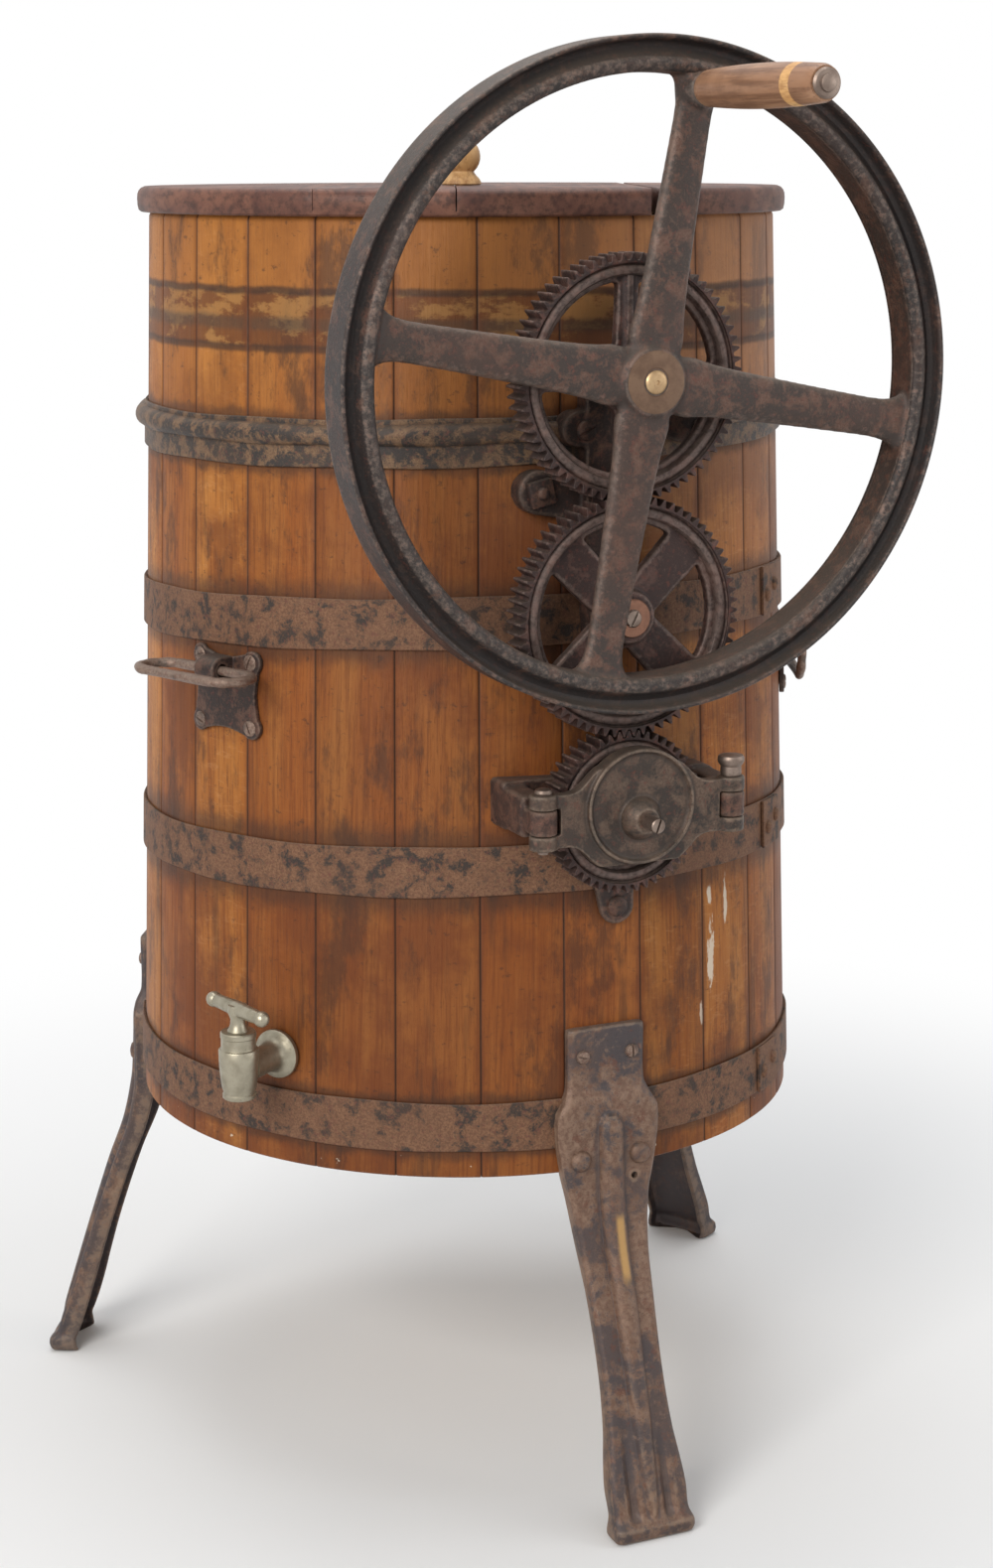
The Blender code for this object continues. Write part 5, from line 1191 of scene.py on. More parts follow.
@dataclass
class SubAssembly:
    """What every sub-assembly shares: its finishes and how it hands over its pieces."""

    finishes: Finishes
    made: list[str] = field(default_factory=list, init=False)

    def hand_over(self, piece: Piece, finish: Finish, body: Body, *nodes: str) -> None:
        """Dress a piece, let it ride on its body and log it.

        Args:
            piece: The finished piece.
            finish: Its material.
            body: The body that it moves with.
            nodes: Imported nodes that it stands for.
        """
        settle(piece, AXIS)
        if "wear" not in piece.data.attributes:
            layer = piece.data.attributes.new("wear", "FLOAT", "POINT")
            layer.data.foreach_set("value", [0.5] * len(piece.data.vertices))
        piece.data.materials.clear()
        piece.data.materials.append(finish)
        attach(piece, body.value)
        if nodes:
            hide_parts(*nodes)
        self.made.append(piece.name)
        LOG.info("%s rides on %s", piece.name, body.value)

    def dress_node(self, node: str, finish: Finish) -> None:
        """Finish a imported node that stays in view.

        Args:
            node: The node's name.
            finish: Its material.
        """
        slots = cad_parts[node].data.materials
        slots.clear()
        slots.append(finish)
        LOG.info("%s keeps its solid", node)

    def slotted_screw(self, name: str, radius: float, rise: float, pose: Matrix, turn: float) -> Piece:
        """Round-headed screw with a driver slot.

        Args:
            name: The piece's name.
            radius: Radius of the head.
            rise: Height of the head.
            pose: Place of its seat.
            turn: Direction of the slot in degrees.

        Returns:
            The screw.
        """
        profile = [(0.0, -0.002), (radius, -0.002), (radius, rise * 0.25), (radius * 0.85, rise * 0.72),
                   (radius * 0.5, rise * 0.96), (0.0, rise)]
        screw = turned(name, profile, 28)
        slot = board(f"{name}_slot", (-radius * 1.2, -radius * 0.13, rise * 0.45),
                     (radius * 1.2, radius * 0.13, rise * 2), turned_by(turn), SHARP)
        combine(screw, [slot], "DIFFERENCE")
        smooth(screw, 30.0)
        return settle(screw, pose)

    def dome(self, name: str, radius: float, rise: float, pose: Matrix) -> Piece:
        """Domed bolt or rivet head.

        Args:
            name: The piece's name.
            radius: Radius of the head.
            rise: Height of the head.
            pose: Place of its seat.

        Returns:
            The head.
        """
        profile = [(0.0, -0.002), (radius, -0.002), (radius, rise * 0.15), (radius * 0.93, rise * 0.5),
                   (radius * 0.7, rise * 0.85), (radius * 0.35, rise), (0.0, rise)]
        return turned(name, profile, 28, pose)


@dataclass
class Barrel(SubAssembly):
    """Stave barrel with its bottom head."""

    staves: int = 26
    bottom_radius: float = 0.277
    top_radius: float = 0.2527
    bottom: float = 0.2736
    height: float = 0.7303
    wall: float = 0.022
    chime: float = 0.008
    joint: float = 0.0007

    def radius(self, z: float) -> float:
        """Outer radius at a height."""
        return self.bottom_radius + (self.top_radius - self.bottom_radius) * (z - self.bottom) / self.height

    def surface(self, angle: float, z: float, offset: float = 0.0) -> Vector:
        """Point on the outside at an angle in radians and a height."""
        radius = self.radius(z) + offset
        return Vector((radius * math.cos(angle), radius * math.sin(angle), z))

    def skin(self, name: str, low: float, high: float, inner: float, outer: float) -> Piece:
        """Hollow cone between two offsets from the outside, for cutting what lies on the wall.

        Args:
            name: The piece's name.
            low: Height of its foot.
            high: Height of its top.
            inner: Offset of its inside.
            outer: Offset of its outside.

        Returns:
            The cutter.
        """
        profile = [(self.radius(low) + inner, low), (self.radius(low) + outer, low),
                   (self.radius(high) + outer, high), (self.radius(high) + inner, high)]
        return turned(name, profile, 200)

    def core(self, name: str, low: float, high: float) -> Piece:
        """What the barrel's outside takes out of a casting that is seated on it.

        Args:
            name: The piece's name.
            low: Height of its foot.
            high: Height of its top.

        Returns:
            The cutter.
        """
        gap = 0.0002
        return turned(name, [(0.0, low), (self.radius(low) + gap, low), (self.radius(high) + gap, high),
                             (0.0, high)], 160)

    def build(self) -> None:
        """Model the staves and dress the bottom head."""
        first = self._stave()
        for number in reversed(range(self.staves)):
            piece = first
            if number:
                piece = bpy.data.objects.new("stave", first.data.copy())
                bpy.context.scene.collection.objects.link(piece)
                settle(piece, Matrix.Rotation(number * FULL_TURN / self.staves, 4, "Z"))
            piece.name = f"oak_stave_{number + 1:02d}"
            self.hand_over(piece, self.finishes.oak, Body.CHURN, f"stave_{number + 1:02d}")
        self.dress_node("bottom_head", self.finishes.bare_oak)
        self.dress_node("rear_bearing", self.finishes.bracket)

    def _stave(self) -> Piece:
        """Front stave, with eased outer corners and a chime at both ends.

        Returns:
            The stave.
        """
        top, bottom, steps = self.bottom + self.height, self.bottom, 8
        inner = -self.wall
        half = math.pi / self.staves - 0.0004
        lip = 0.0022 / self.bottom_radius
        marks = [(-half, -self.joint), (-half + lip * 0.4, -self.joint * 0.25)]
        marks += [(-half + lip + (half - lip) * 2 * i / steps, 0.0) for i in range(steps + 1)]
        marks += [(half - lip * 0.4, -self.joint * 0.25), (half, -self.joint)]
        rings = []
        for lean, dip in marks:
            angle = math.radians(AHEAD) + lean
            spots = [(dip, bottom + 0.0012), (dip, bottom + 0.004), (dip, top - 0.003), (dip - 0.0012, top),
                     (inner + 0.005, top), (inner, top - self.chime), (inner, bottom + self.chime),
                     (inner + 0.005, bottom), (dip - 0.0015, bottom)]
            rings.append([self.surface(angle, z, offset) for offset, z in spots])
        return lofted("oak_stave_01", rings)


@dataclass
class Hoop(SubAssembly):
    """Riveted iron hoop that follows the barrel, also where it has slipped out of level."""

    barrel: Barrel
    node: str
    low: float
    height: float = 0.039
    lean: Point = (0.0, 0.0)
    lap: float = -46.0
    beaded: bool = False
    thickness: float = 0.003
    seat: float = 0.0003
    bead_rise: float = 0.0075

    def build(self) -> None:
        """Model the band, its lap and its rivets."""
        finish = self.finishes.rim_hoop if self.beaded else self.finishes.hoop
        band = self._band("band", 0.0, FULL_TURN, 0.0, 180)
        self.hand_over(smooth(band, 50.0), finish, Body.CHURN, self.node)
        if self.beaded:
            return
        width = math.radians(8.0)
        middle = math.radians(self.lap)
        lap = self._band("lap", middle - width / 2, middle + width / 2, self.thickness * 0.95, 10)
        self.hand_over(soften(lap, 0.0006), finish, Body.CHURN)
        for index, share in enumerate((-0.25, 0.25)):
            angle = middle + share * width
            spot = self._level(angle) + self.height * (0.5 + share * 0.35)
            pose = station(math.degrees(angle)) @ shift(0.0, spot, self.barrel.radius(spot) + 0.006)
            rivet = self.dome(f"{self.node}_rivet_{index + 1}", 0.0056, 0.0028, pose)
            self.hand_over(rivet, finish, Body.CHURN)

    def _level(self, angle: float) -> float:
        """Height of the hoop's lower edge at an angle."""
        reach = self.barrel.radius(self.low)
        return self.low + self.lean[0] * reach * math.cos(angle) + self.lean[1] * reach * math.sin(angle)

    def _section(self) -> list[Point]:
        """Cut through the hoop.

        Returns:
            Pairs of an offset from the wall and a rise from the lower edge.
        """
        height, edge = self.height, 0.0008
        face = self.thickness + self.seat
        section = [(self.seat, edge), (face - edge, 0.0), (face, edge)]
        if self.beaded:
            middle, half = height * 0.68, 0.0078
            for lean in range(-90, 91, 20):
                turn = math.radians(lean)
                offset = face + self.bead_rise * math.cos(turn) ** 0.9
                section.append((offset, middle + half * math.sin(turn)))
        return section + [(face, height - edge), (face - edge, height), (self.seat, height - edge)]

    def _band(self, label: str, start: float, end: float, lift: float, steps: int) -> Piece:
        """Band between two angles, its face a little uneven from the hammer.

        Args:
            label: What the band is called.
            start: First angle, in radians.
            end: Last angle.
            lift: How far it lies off its seat.
            steps: Sections along it.

        Returns:
            The band.
        """
        closed = end - start > FULL_TURN - 0.001
        rings = []
        for i in range(steps if closed else steps + 1):
            angle = start + (end - start) * i / steps
            level = self._level(angle)
            dent = 0.00035 * (math.sin(angle * 17.0 + self.low * 40.0) * math.sin(angle * 5.0 + 1.0) - 1.0)
            ragged = 0.0005 * math.sin(angle * 11.0 + self.low * 90.0)
            ring = []
            for offset, rise in self._section():
                z = level + rise + ragged * (1.0 if rise > self.height / 2 else -1.0)
                out = offset + lift + (dent if offset > self.seat else 0.0)
                ring.append(self.barrel.surface(angle, z, out))
            rings.append(ring)
        return lofted(f"{self.node}_{label}", rings, ring_loop=closed)


@dataclass
class Lid(SubAssembly):
    """Lid of boards with a knob, and a side board beyond an open joint."""

    radius: float = 0.262
    bottom: float = 1.0042
    thickness: float = 0.0197
    turn: float = -23.0
    seams: tuple[Point, ...] = ((-0.110, 0.0004), (-0.005, 0.0010))
    split: float = 0.139
    split_gap: float = 0.0065
    batten_spacing: float = 0.24
    batten_width: float = 0.040
    batten_thickness: float = 0.018
    batten_length: float = 0.33

    @property
    def top(self) -> float:
        """Height of the lid's upper face."""
        return self.bottom + self.thickness

    def build(self) -> None:
        """Model the boards, the battens and the knob."""
        place = turned_by(self.turn)
        far = self.radius * 1.2
        main = self._disc("lid_boards")
        cut = board("lid_main_cut", (self.split, -far, self.bottom - 0.05), (far, far, self.top + 0.05),
                    edge=0.00001)
        combine(main, [cut], "DIFFERENCE")
        grooves = [board(f"lid_groove_{i}", (x - width / 2, -far, self.bottom + 0.004),
                         (x + width / 2, far, self.top + 0.01), edge=0.00001)
                   for i, (x, width) in enumerate(self.seams)]
        combine(main, grooves, "DIFFERENCE")
        battens = []
        half_length, half_width = self.batten_length / 2, self.batten_width / 2
        for side in (-1, 1):
            middle = side * self.batten_spacing / 2
            low = (-half_length, middle - half_width, self.bottom - self.batten_thickness)
            high = (half_length, middle + half_width, self.bottom - 0.0002)
            battens.append(board(f"lid_batten_{side}", low, high, place, 0.002))
        soften(main, 0.0008, 2, 50.0)
        self.hand_over(settle(main, place), self.finishes.lid_oak, Body.LID, "lid_main")
        for batten in battens:
            self.hand_over(batten, self.finishes.bare_oak, Body.LID)
        side_board = self._disc("lid_side_piece")
        cut = board("lid_side_cut", (-far, -far, self.bottom - 0.05),
                    (self.split + self.split_gap, far, self.top + 0.05), edge=0.00001)
        combine(side_board, [cut], "DIFFERENCE")
        soften(side_board, 0.0012, 2, 50.0)
        self.hand_over(settle(side_board, place), self.finishes.lid_oak, Body.LID, "lid_side_board")
        self._knob()

    def _disc(self, name: str) -> Piece:
        """Round board with a worn upper edge.

        Args:
            name: The piece's name.

        Returns:
            The board.
        """
        radius, top, bottom = self.radius, self.top, self.bottom
        profile = [(0.0, bottom), (radius - 0.0028, bottom), (radius - 0.0010, bottom + 0.0014),
                   (radius - 0.0002, bottom + 0.005), (radius, bottom + 0.010),
                   (radius - 0.0003, top - 0.0058), (radius - 0.0014, top - 0.0032),
                   (radius - 0.0032, top - 0.0012), (radius - 0.0060, top), (0.0, top)]
        return turned(name, profile, 176)

    def _knob(self) -> None:
        """Turned knob: a thin foot, a waist and a ball."""
        foot, ball, rise = 0.0164, 0.0156, 0.0380
        low = self.top + 0.0003
        centre = low + rise - ball
        profile = raised(low, [(0.0, 0.0), (foot - 0.001, 0.0), (foot, 0.0010), (foot - 0.0003, 0.0026),
                               (foot * 0.90, 0.0050), (foot * 0.76, 0.0074), (foot * 0.65, 0.0096)])
        for lean in range(-48, 82, 13):
            angle = math.radians(lean)
            profile.append((ball * math.cos(angle), centre + ball * math.sin(angle)))
        profile.append((0.0, centre + ball))
        self.hand_over(turned("knob", profile, 56), self.finishes.knob_wood, Body.LID, "lid_knob")


@dataclass
class Leg(SubAssembly):
    """Cast leg: a tab over the foot hoop, a bolted shoulder, a ribbed shank and a clawed toe."""

    barrel: Barrel
    number: int
    angle: float
    hoop_low: float = 0.2952
    hoop_height: float = 0.039
    seat: float = 0.014
    wall: float = 0.0052
    tab_top: float = 0.3904
    bolt_spacing: float = 0.051
    bolt_z: float = 0.285
    hole: Point = (0.0205, 0.2675)
    hole_radius: float = 0.0028
    screw: Point = (0.021, 0.3675)

    @property
    def shoulder_face(self) -> float:
        """How far the shoulder's face is from the axis."""
        return self.barrel.radius(self.hoop_low) + 0.0092

    def _stations(self) -> list[tuple[float, ...]]:
        """Shape of the casting from its toe to its tab.

        Returns:
            Rising (height, face, half width, wall, flange, rib, flute) rows.
        """
        tab_face = self.barrel.radius(self.tab_top) + 0.0062
        shoulder, hoop_top = self.shoulder_face, self.hoop_low + self.hoop_height
        return [
            (0.0000, 0.3700, 0.0318, 0.011, 0.0230, 0.0, 0.0),
            (0.0020, 0.3726, 0.0334, 0.012, 0.0245, 0.0, 0.0),
            (0.0065, 0.3740, 0.0342, 0.013, 0.0250, 0.0, 0.0004),
            (0.0120, 0.3735, 0.0336, 0.012, 0.0240, 0.0, 0.0006),
            (0.0160, 0.3690, 0.0322, 0.010, 0.0210, 0.0016, 0.0044),
            (0.0200, 0.3662, 0.0318, 0.009, 0.0200, 0.0030, 0.0054),
            (0.0360, 0.3610, 0.0324, 0.009, 0.0205, 0.0048, 0.0052),
            (0.0560, 0.3538, 0.0305, 0.008, 0.0195, 0.0058, 0.0038),
            (0.0800, 0.3455, 0.0275, self.wall, 0.0180, 0.0066, 0.0018),
            (0.1200, 0.3320, 0.0258, self.wall, 0.0165, 0.0074, 0.0004),
            (0.1765, 0.3125, 0.0270, self.wall, 0.0165, 0.0082, 0.0),
            (0.2148, 0.2976, 0.0296, self.wall, 0.0175, 0.0088, 0.0),
            (0.2524, 0.2890, 0.0340, 0.008, 0.0190, 0.0090, 0.0),
            (0.2720, 0.2872, 0.0385, self.seat, self.seat + 0.004, 0.0090, 0.0),
            (0.2980, shoulder + 0.0003, 0.0428, self.seat, self.seat + 0.001, 0.0090, 0.0),
            (0.3110, shoulder + 0.0002, 0.0436, self.seat, self.seat + 0.001, 0.0086, 0.0),
            (0.3160, shoulder + 0.0001, 0.0434, self.seat, self.seat + 0.001, 0.0072, 0.0),
            (0.3195, shoulder, 0.0431, self.seat, self.seat + 0.001, 0.0049, 0.0),
            (0.3215, shoulder, 0.0430, self.seat, self.seat + 0.001, 0.0, 0.0),
            (hoop_top - 0.010, shoulder, 0.0420, self.seat, self.seat + 0.001, 0.0, 0.0),
            (hoop_top - 0.002, shoulder - 0.0012, 0.0372, self.seat, self.seat + 0.001, 0.0, 0.0),
            (hoop_top + 0.009, tab_face + 0.0006, 0.0332, self.seat, self.seat + 0.001, 0.0, 0.0),
            (self.tab_top - 0.002, tab_face, 0.0325, self.seat, self.seat + 0.001, 0.0, 0.0),
            (self.tab_top, tab_face - 0.001, 0.0315, self.seat, self.seat + 0.001, 0.0, 0.0),
        ]

    def _section(self, z: float, face: float, half: float, wall: float, flange: float, rib: float,
                 flute: float) -> list[Vector]:
        """Channel section with a rounded central rib and flutes for the claws.

        Args:
            z: Height.
            face: How far the face is from the axis.
            half: Half of the width.
            wall: Thickness of the face.
            flange: How far the flanges reach back.
            rib: Rise of the central rib.
            flute: Depth of the two flutes beside it.

        Returns:
            Points round the section.
        """
        reach = 0.0106
        crest = [reach * math.sin(math.pi / 16 * i) for i in range(-8, 9)]
        flank = [reach + (half - reach) * math.sin(math.pi / 24 * i) for i in range(1, 13)]
        points = []
        for x in [-x for x in reversed(flank)] + crest + flank:
            edge = abs(x) / half
            y = -0.0034 * max(0.0, (edge - 0.86) / 0.14) ** 2
            y += math.sqrt(max(0.0, rib ** 2 - (0.85 * x) ** 2))
            groove = math.cos(math.pi * min(abs(abs(x) - 0.0150) / 0.0070, 1.0)) * 0.5 + 0.5
            y -= flute * groove
            points.append((x, y))
        inner = half - self.wall
        back = [(half, -flange * 0.5), (half - 0.0006, -flange), (inner + 0.0005, -flange),
                (inner, -flange + 0.001), (inner, -(flange + wall) / 2), (inner, -wall)]
        points += [*back, (0.0, -wall), *((-x, y) for x, y in reversed(back))]
        return [Vector((x, z, face + y)) for x, y in points]

    def build(self) -> None:
        """Model the casting with its small hole, its bolts and the tab's two screws."""
        stations = self._stations()
        steps = 110
        even = {self.tab_top * i / steps for i in range(steps + 1)}
        heights = sorted(even | {round(row[0], 5) for row in stations})
        rings = [self._section(z, *between(stations, z)) for z in heights]
        leg = lofted(f"leg_{self.number}_casting", rings)
        settle(leg, station(self.angle))
        apply_modifier(leg, "SUBSURF", levels=1, render_levels=1)
        hole_x, hole_z = self.hole
        pose = station(self.angle, hole_z) @ shift(hole_x, 0.0, self.shoulder_face)
        combine(leg, [turned("hole", plug(self.hole_radius, -0.04, 0.04), 20, pose)], "DIFFERENCE")
        smooth(leg, 50.0)
        mark_wear(leg, 14, 900.0)
        if self.number == 1:
            self._rub(leg)
        # The rear legs take the darker copy of the leg iron, which is painted shade.
        finish = self.finishes.leg if self.number == 1 else self.finishes.shaded_rear_leg
        self.hand_over(leg, finish, Body.CHURN, f"leg_{self.number}")
        screw_x, screw_z = self.screw
        tab = self.barrel.radius(self.tab_top) + 0.0060
        for side, label in ((-1, "left"), (1, "right")):
            across = shift(side * self.bolt_spacing / 2, 0.0, self.shoulder_face - 0.0002)
            bolt = self.dome(f"leg_{self.number}_bolt_{label}", 0.0088, 0.0062,
                             station(self.angle, self.bolt_z) @ across)
            self.hand_over(bolt, self.finishes.leg, Body.CHURN)
            pose = station(self.angle, screw_z) @ shift(side * screw_x, 0.0, tab)
            screw = self.slotted_screw(f"leg_{self.number}_screw_{label}", 0.0056, 0.0034, pose,
                                       38.0 + 55.0 * side)
            self.hand_over(screw, self.finishes.ring, Body.CHURN)

    def _rub(self, leg: Piece) -> None:
        """Bare a stretch of the rib's crest where feet have rubbed it.

        Args:
            leg: The leg that stands in front.
        """
        layer = leg.data.attributes.new("rubbed", "FLOAT", "POINT")
        for spot, vertex in zip(layer.data, leg.data.vertices):
            crest = 1.0 - ease(0.0018, 0.0052, abs(vertex.co.x - 0.0022))
            low, high = ease(0.186, 0.200, vertex.co.z), 1.0 - ease(0.236, 0.244, vertex.co.z)
            spot.value = 0.8 * crest * low * high


@dataclass
class Gear(SubAssembly):
    """Involute spur gear with a cast web."""

    name: str
    node: str
    body: Body
    z: float
    phase: float
    teeth: int = 70
    module: float = 0.0025
    pressure: float = 20.0
    backlash: float = 0.0006
    face: float = 0.024
    rim: float = 0.011
    band: float = 0.0018
    web: float = 0.009
    y: float = GEAR_Y
    hub: float = 0.021
    hub_front: float = 0.0125
    bore: float = 0.0085

    @property
    def pitch(self) -> float:
        """Pitch radius."""
        return self.teeth * self.module / 2

    @property
    def root(self) -> float:
        """Radius at the foot of the teeth."""
        return self.pitch - 1.25 * self.module

    @property
    def rim_inner(self) -> float:
        """Inner radius of the rim under the teeth."""
        return self.root - self.rim

    def outline(self) -> list[Point]:
        """Draw the teeth, with curved flanks and eased tips.

        Returns:
            Points round the gear.
        """
        base = self.pitch * math.cos(math.radians(self.pressure))
        root, tip = self.root, self.pitch + self.module
        thickness = math.pi * self.module / 2 - self.backlash
        pressure = math.radians(self.pressure)

        def half_angle(radius: float) -> float:
            """Half of a tooth's angle at a radius."""
            flank = math.acos(min(base / radius, 1.0))
            return (thickness / (2 * self.pitch) + math.tan(pressure) - pressure - math.tan(flank) + flank)

        levels = [root, root + 0.35 * self.module, self.pitch, tip - 0.25 * self.module, tip]
        easing = [1.12, 1.0, 1.0, 1.0, 0.72]
        points = []
        for tooth in range(self.teeth):
            middle = math.radians(self.phase) + FULL_TURN * tooth / self.teeth
            for side in (-1, 1):
                order = zip(levels, easing) if side < 0 else zip(reversed(levels), reversed(easing))
                for radius, ease_share in order:
                    angle = middle + side * half_angle(max(radius, base)) * ease_share
                    points.append((radius * math.cos(angle), radius * math.sin(angle)))
        return points

    def toothed_ring(self) -> Piece:
        """Band of teeth, worn at their tips.

        Returns:
            The band, about its own axle.
        """
        half, inner = self.face / 2, self.root - self.band
        ring = cut_plate(f"{self.name}_teeth", self.outline(), -half, half)
        hole = turned(f"{self.name}_ring_cut", plug(inner, -half - 0.01, half + 0.01), 140)
        combine(ring, [hole], "DIFFERENCE")
        soften(ring, 0.0003, 1, 40.0)
        layer = ring.data.attributes.new("wear", "FLOAT", "POINT")
        for spot, vertex in zip(layer.data, ring.data.vertices):
            reach = math.hypot(vertex.co.x, vertex.co.y)
            spot.value = 0.45 + 0.45 * ease(self.pitch, self.pitch + self.module, reach)
        return ring

    def rim_ring(self) -> Piece:
        """Rim inside the teeth: a groove, then a rounded inner bead.

        Returns:
            The rim, about its own axle.
        """
        half, outer, inner = self.face / 2, self.root - self.band + 0.0004, self.rim_inner
        width = outer - inner
        depths = ((0.06, 0.0026), (0.16, 0.0036), (0.28, 0.0024), (0.45, 0.0013), (0.65, 0.0010),
                  (0.82, 0.0015), (0.94, 0.0030))
        side = [(outer, half - 0.0006), *((outer - width * share, half - dip) for share, dip in depths),
                (inner, half - 0.0060)]
        profile = [(radius, -z) for radius, z in side] + [(radius, z) for radius, z in reversed(side)]
        return turned(f"{self.name}_rim", profile, 140)

    def window(self, label: str, inner: float, outer: float, middle: float, half_width: float,
               corner: float) -> Piece:
        """Cutter for an opening between two arms, with round corners.

        Args:
            label: What it is called.
            inner: Radius of its inner edge.
            outer: Radius of its outer edge.
            middle: Its direction, in degrees.
            half_width: Half of the width of the arms beside it.
            corner: Radius of its corners.

        Returns:
            The cutter.
        """
        spread = 45.0
        outer_half = spread - math.degrees(math.asin(half_width / outer))
        inner_half = max(spread - math.degrees(math.asin(min(half_width * 1.2 / inner, 0.7))), 5.0)
        outline = arc((0.0, 0.0), outer, middle - outer_half, middle + outer_half, 14)
        outline += arc((0.0, 0.0), inner, middle + inner_half, middle - inner_half, 6)
        hole = cut_plate(f"{self.name}_window_{label}", outline, -0.05, 0.05)
        apply_modifier(hole, "BEVEL", width=corner, segments=6, limit_method="ANGLE", affect="EDGES",
                       angle_limit=math.radians(50.0), use_clamp_overlap=True)
        return hole

    def finish_web(self, blank: Piece, finish: Finish) -> None:
        """Cast the web, then seat web, rim and teeth on the gear's axle.

        Args:
            blank: Hub and web, joined.
            finish: Material of the whole gear.
        """
        cast_skin(blank, 0.0013, 5)
        bore = turned(f"{self.name}_bore", plug(self.bore + 0.0002, -0.08, 0.08), 40)
        combine(blank, [bore], "DIFFERENCE")
        smooth(blank, 50.0)
        settle(blank, axle(self.y, self.z))
        mark_wear(blank, 14, 1100.0)
        self.hand_over(blank, finish, self.body, self.node)
        rim = settle(self.rim_ring(), axle(self.y, self.z))
        mark_wear(rim, 10, 900.0)
        self.hand_over(rim, finish, self.body)
        self.hand_over(settle(self.toothed_ring(), axle(self.y, self.z)), finish, self.body)

    def hub_blank(self) -> Piece:
        """Hub that the web is cast on.

        Returns:
            The hub, about its own axle.
        """
        back = -self.face / 2
        return turned(f"{self.name}_web", [(0.0, back), (self.hub, back), (self.hub, self.hub_front - 0.0006),
                                           (self.hub - 0.0008, self.hub_front), (0.0, self.hub_front)], 56)

    def pierced_disc(self, first: float, half_width: float, corner: float) -> Piece:
        """Web with four openings.

        Args:
            first: Direction of the first opening, in degrees.
            half_width: Half of the width of the arms between the openings.
            corner: Radius of the openings' corners.

        Returns:
            The web.
        """
        disc = turned(f"{self.name}_disc", plug(self.rim_inner + 0.003, -self.web / 2, self.web / 2), 80)
        holes = [self.window(str(i), self.hub + 0.004, self.rim_inner - 0.004, first + 90.0 * i, half_width,
                             corner) for i in range(4)]
        return combine(disc, holes, "DIFFERENCE")


@dataclass
class DriveGear(Gear):
    """Ribbed gear behind the flywheel, with four wide crescent openings."""

    def build(self) -> None:
        """Model the gear."""
        web = self.hub_blank()
        disc = self.pierced_disc(45.0, 0.008, 0.006)
        reach, thick = self.rim_inner + 0.003, self.face / 2 - 0.004
        ribs = [board("drive_rib_x", (-reach, -0.003, -thick), (reach, 0.003, thick)),
                board("drive_rib_y", (-0.003, -reach, -thick), (0.003, reach, thick))]
        combine(web, [disc, *ribs], "UNION")
        self.finish_web(web, self.finishes.gear)


@dataclass
class FlatGear(Gear):
    """Gear with four diagonal arms that flare."""

    half_arm: float = 0.017

    def build(self) -> None:
        """Model the gear."""
        web = self.hub_blank()
        combine(web, [self.pierced_disc(0.0, self.half_arm, 0.008)], "UNION")
        self.finish_web(web, self.finishes.gear)


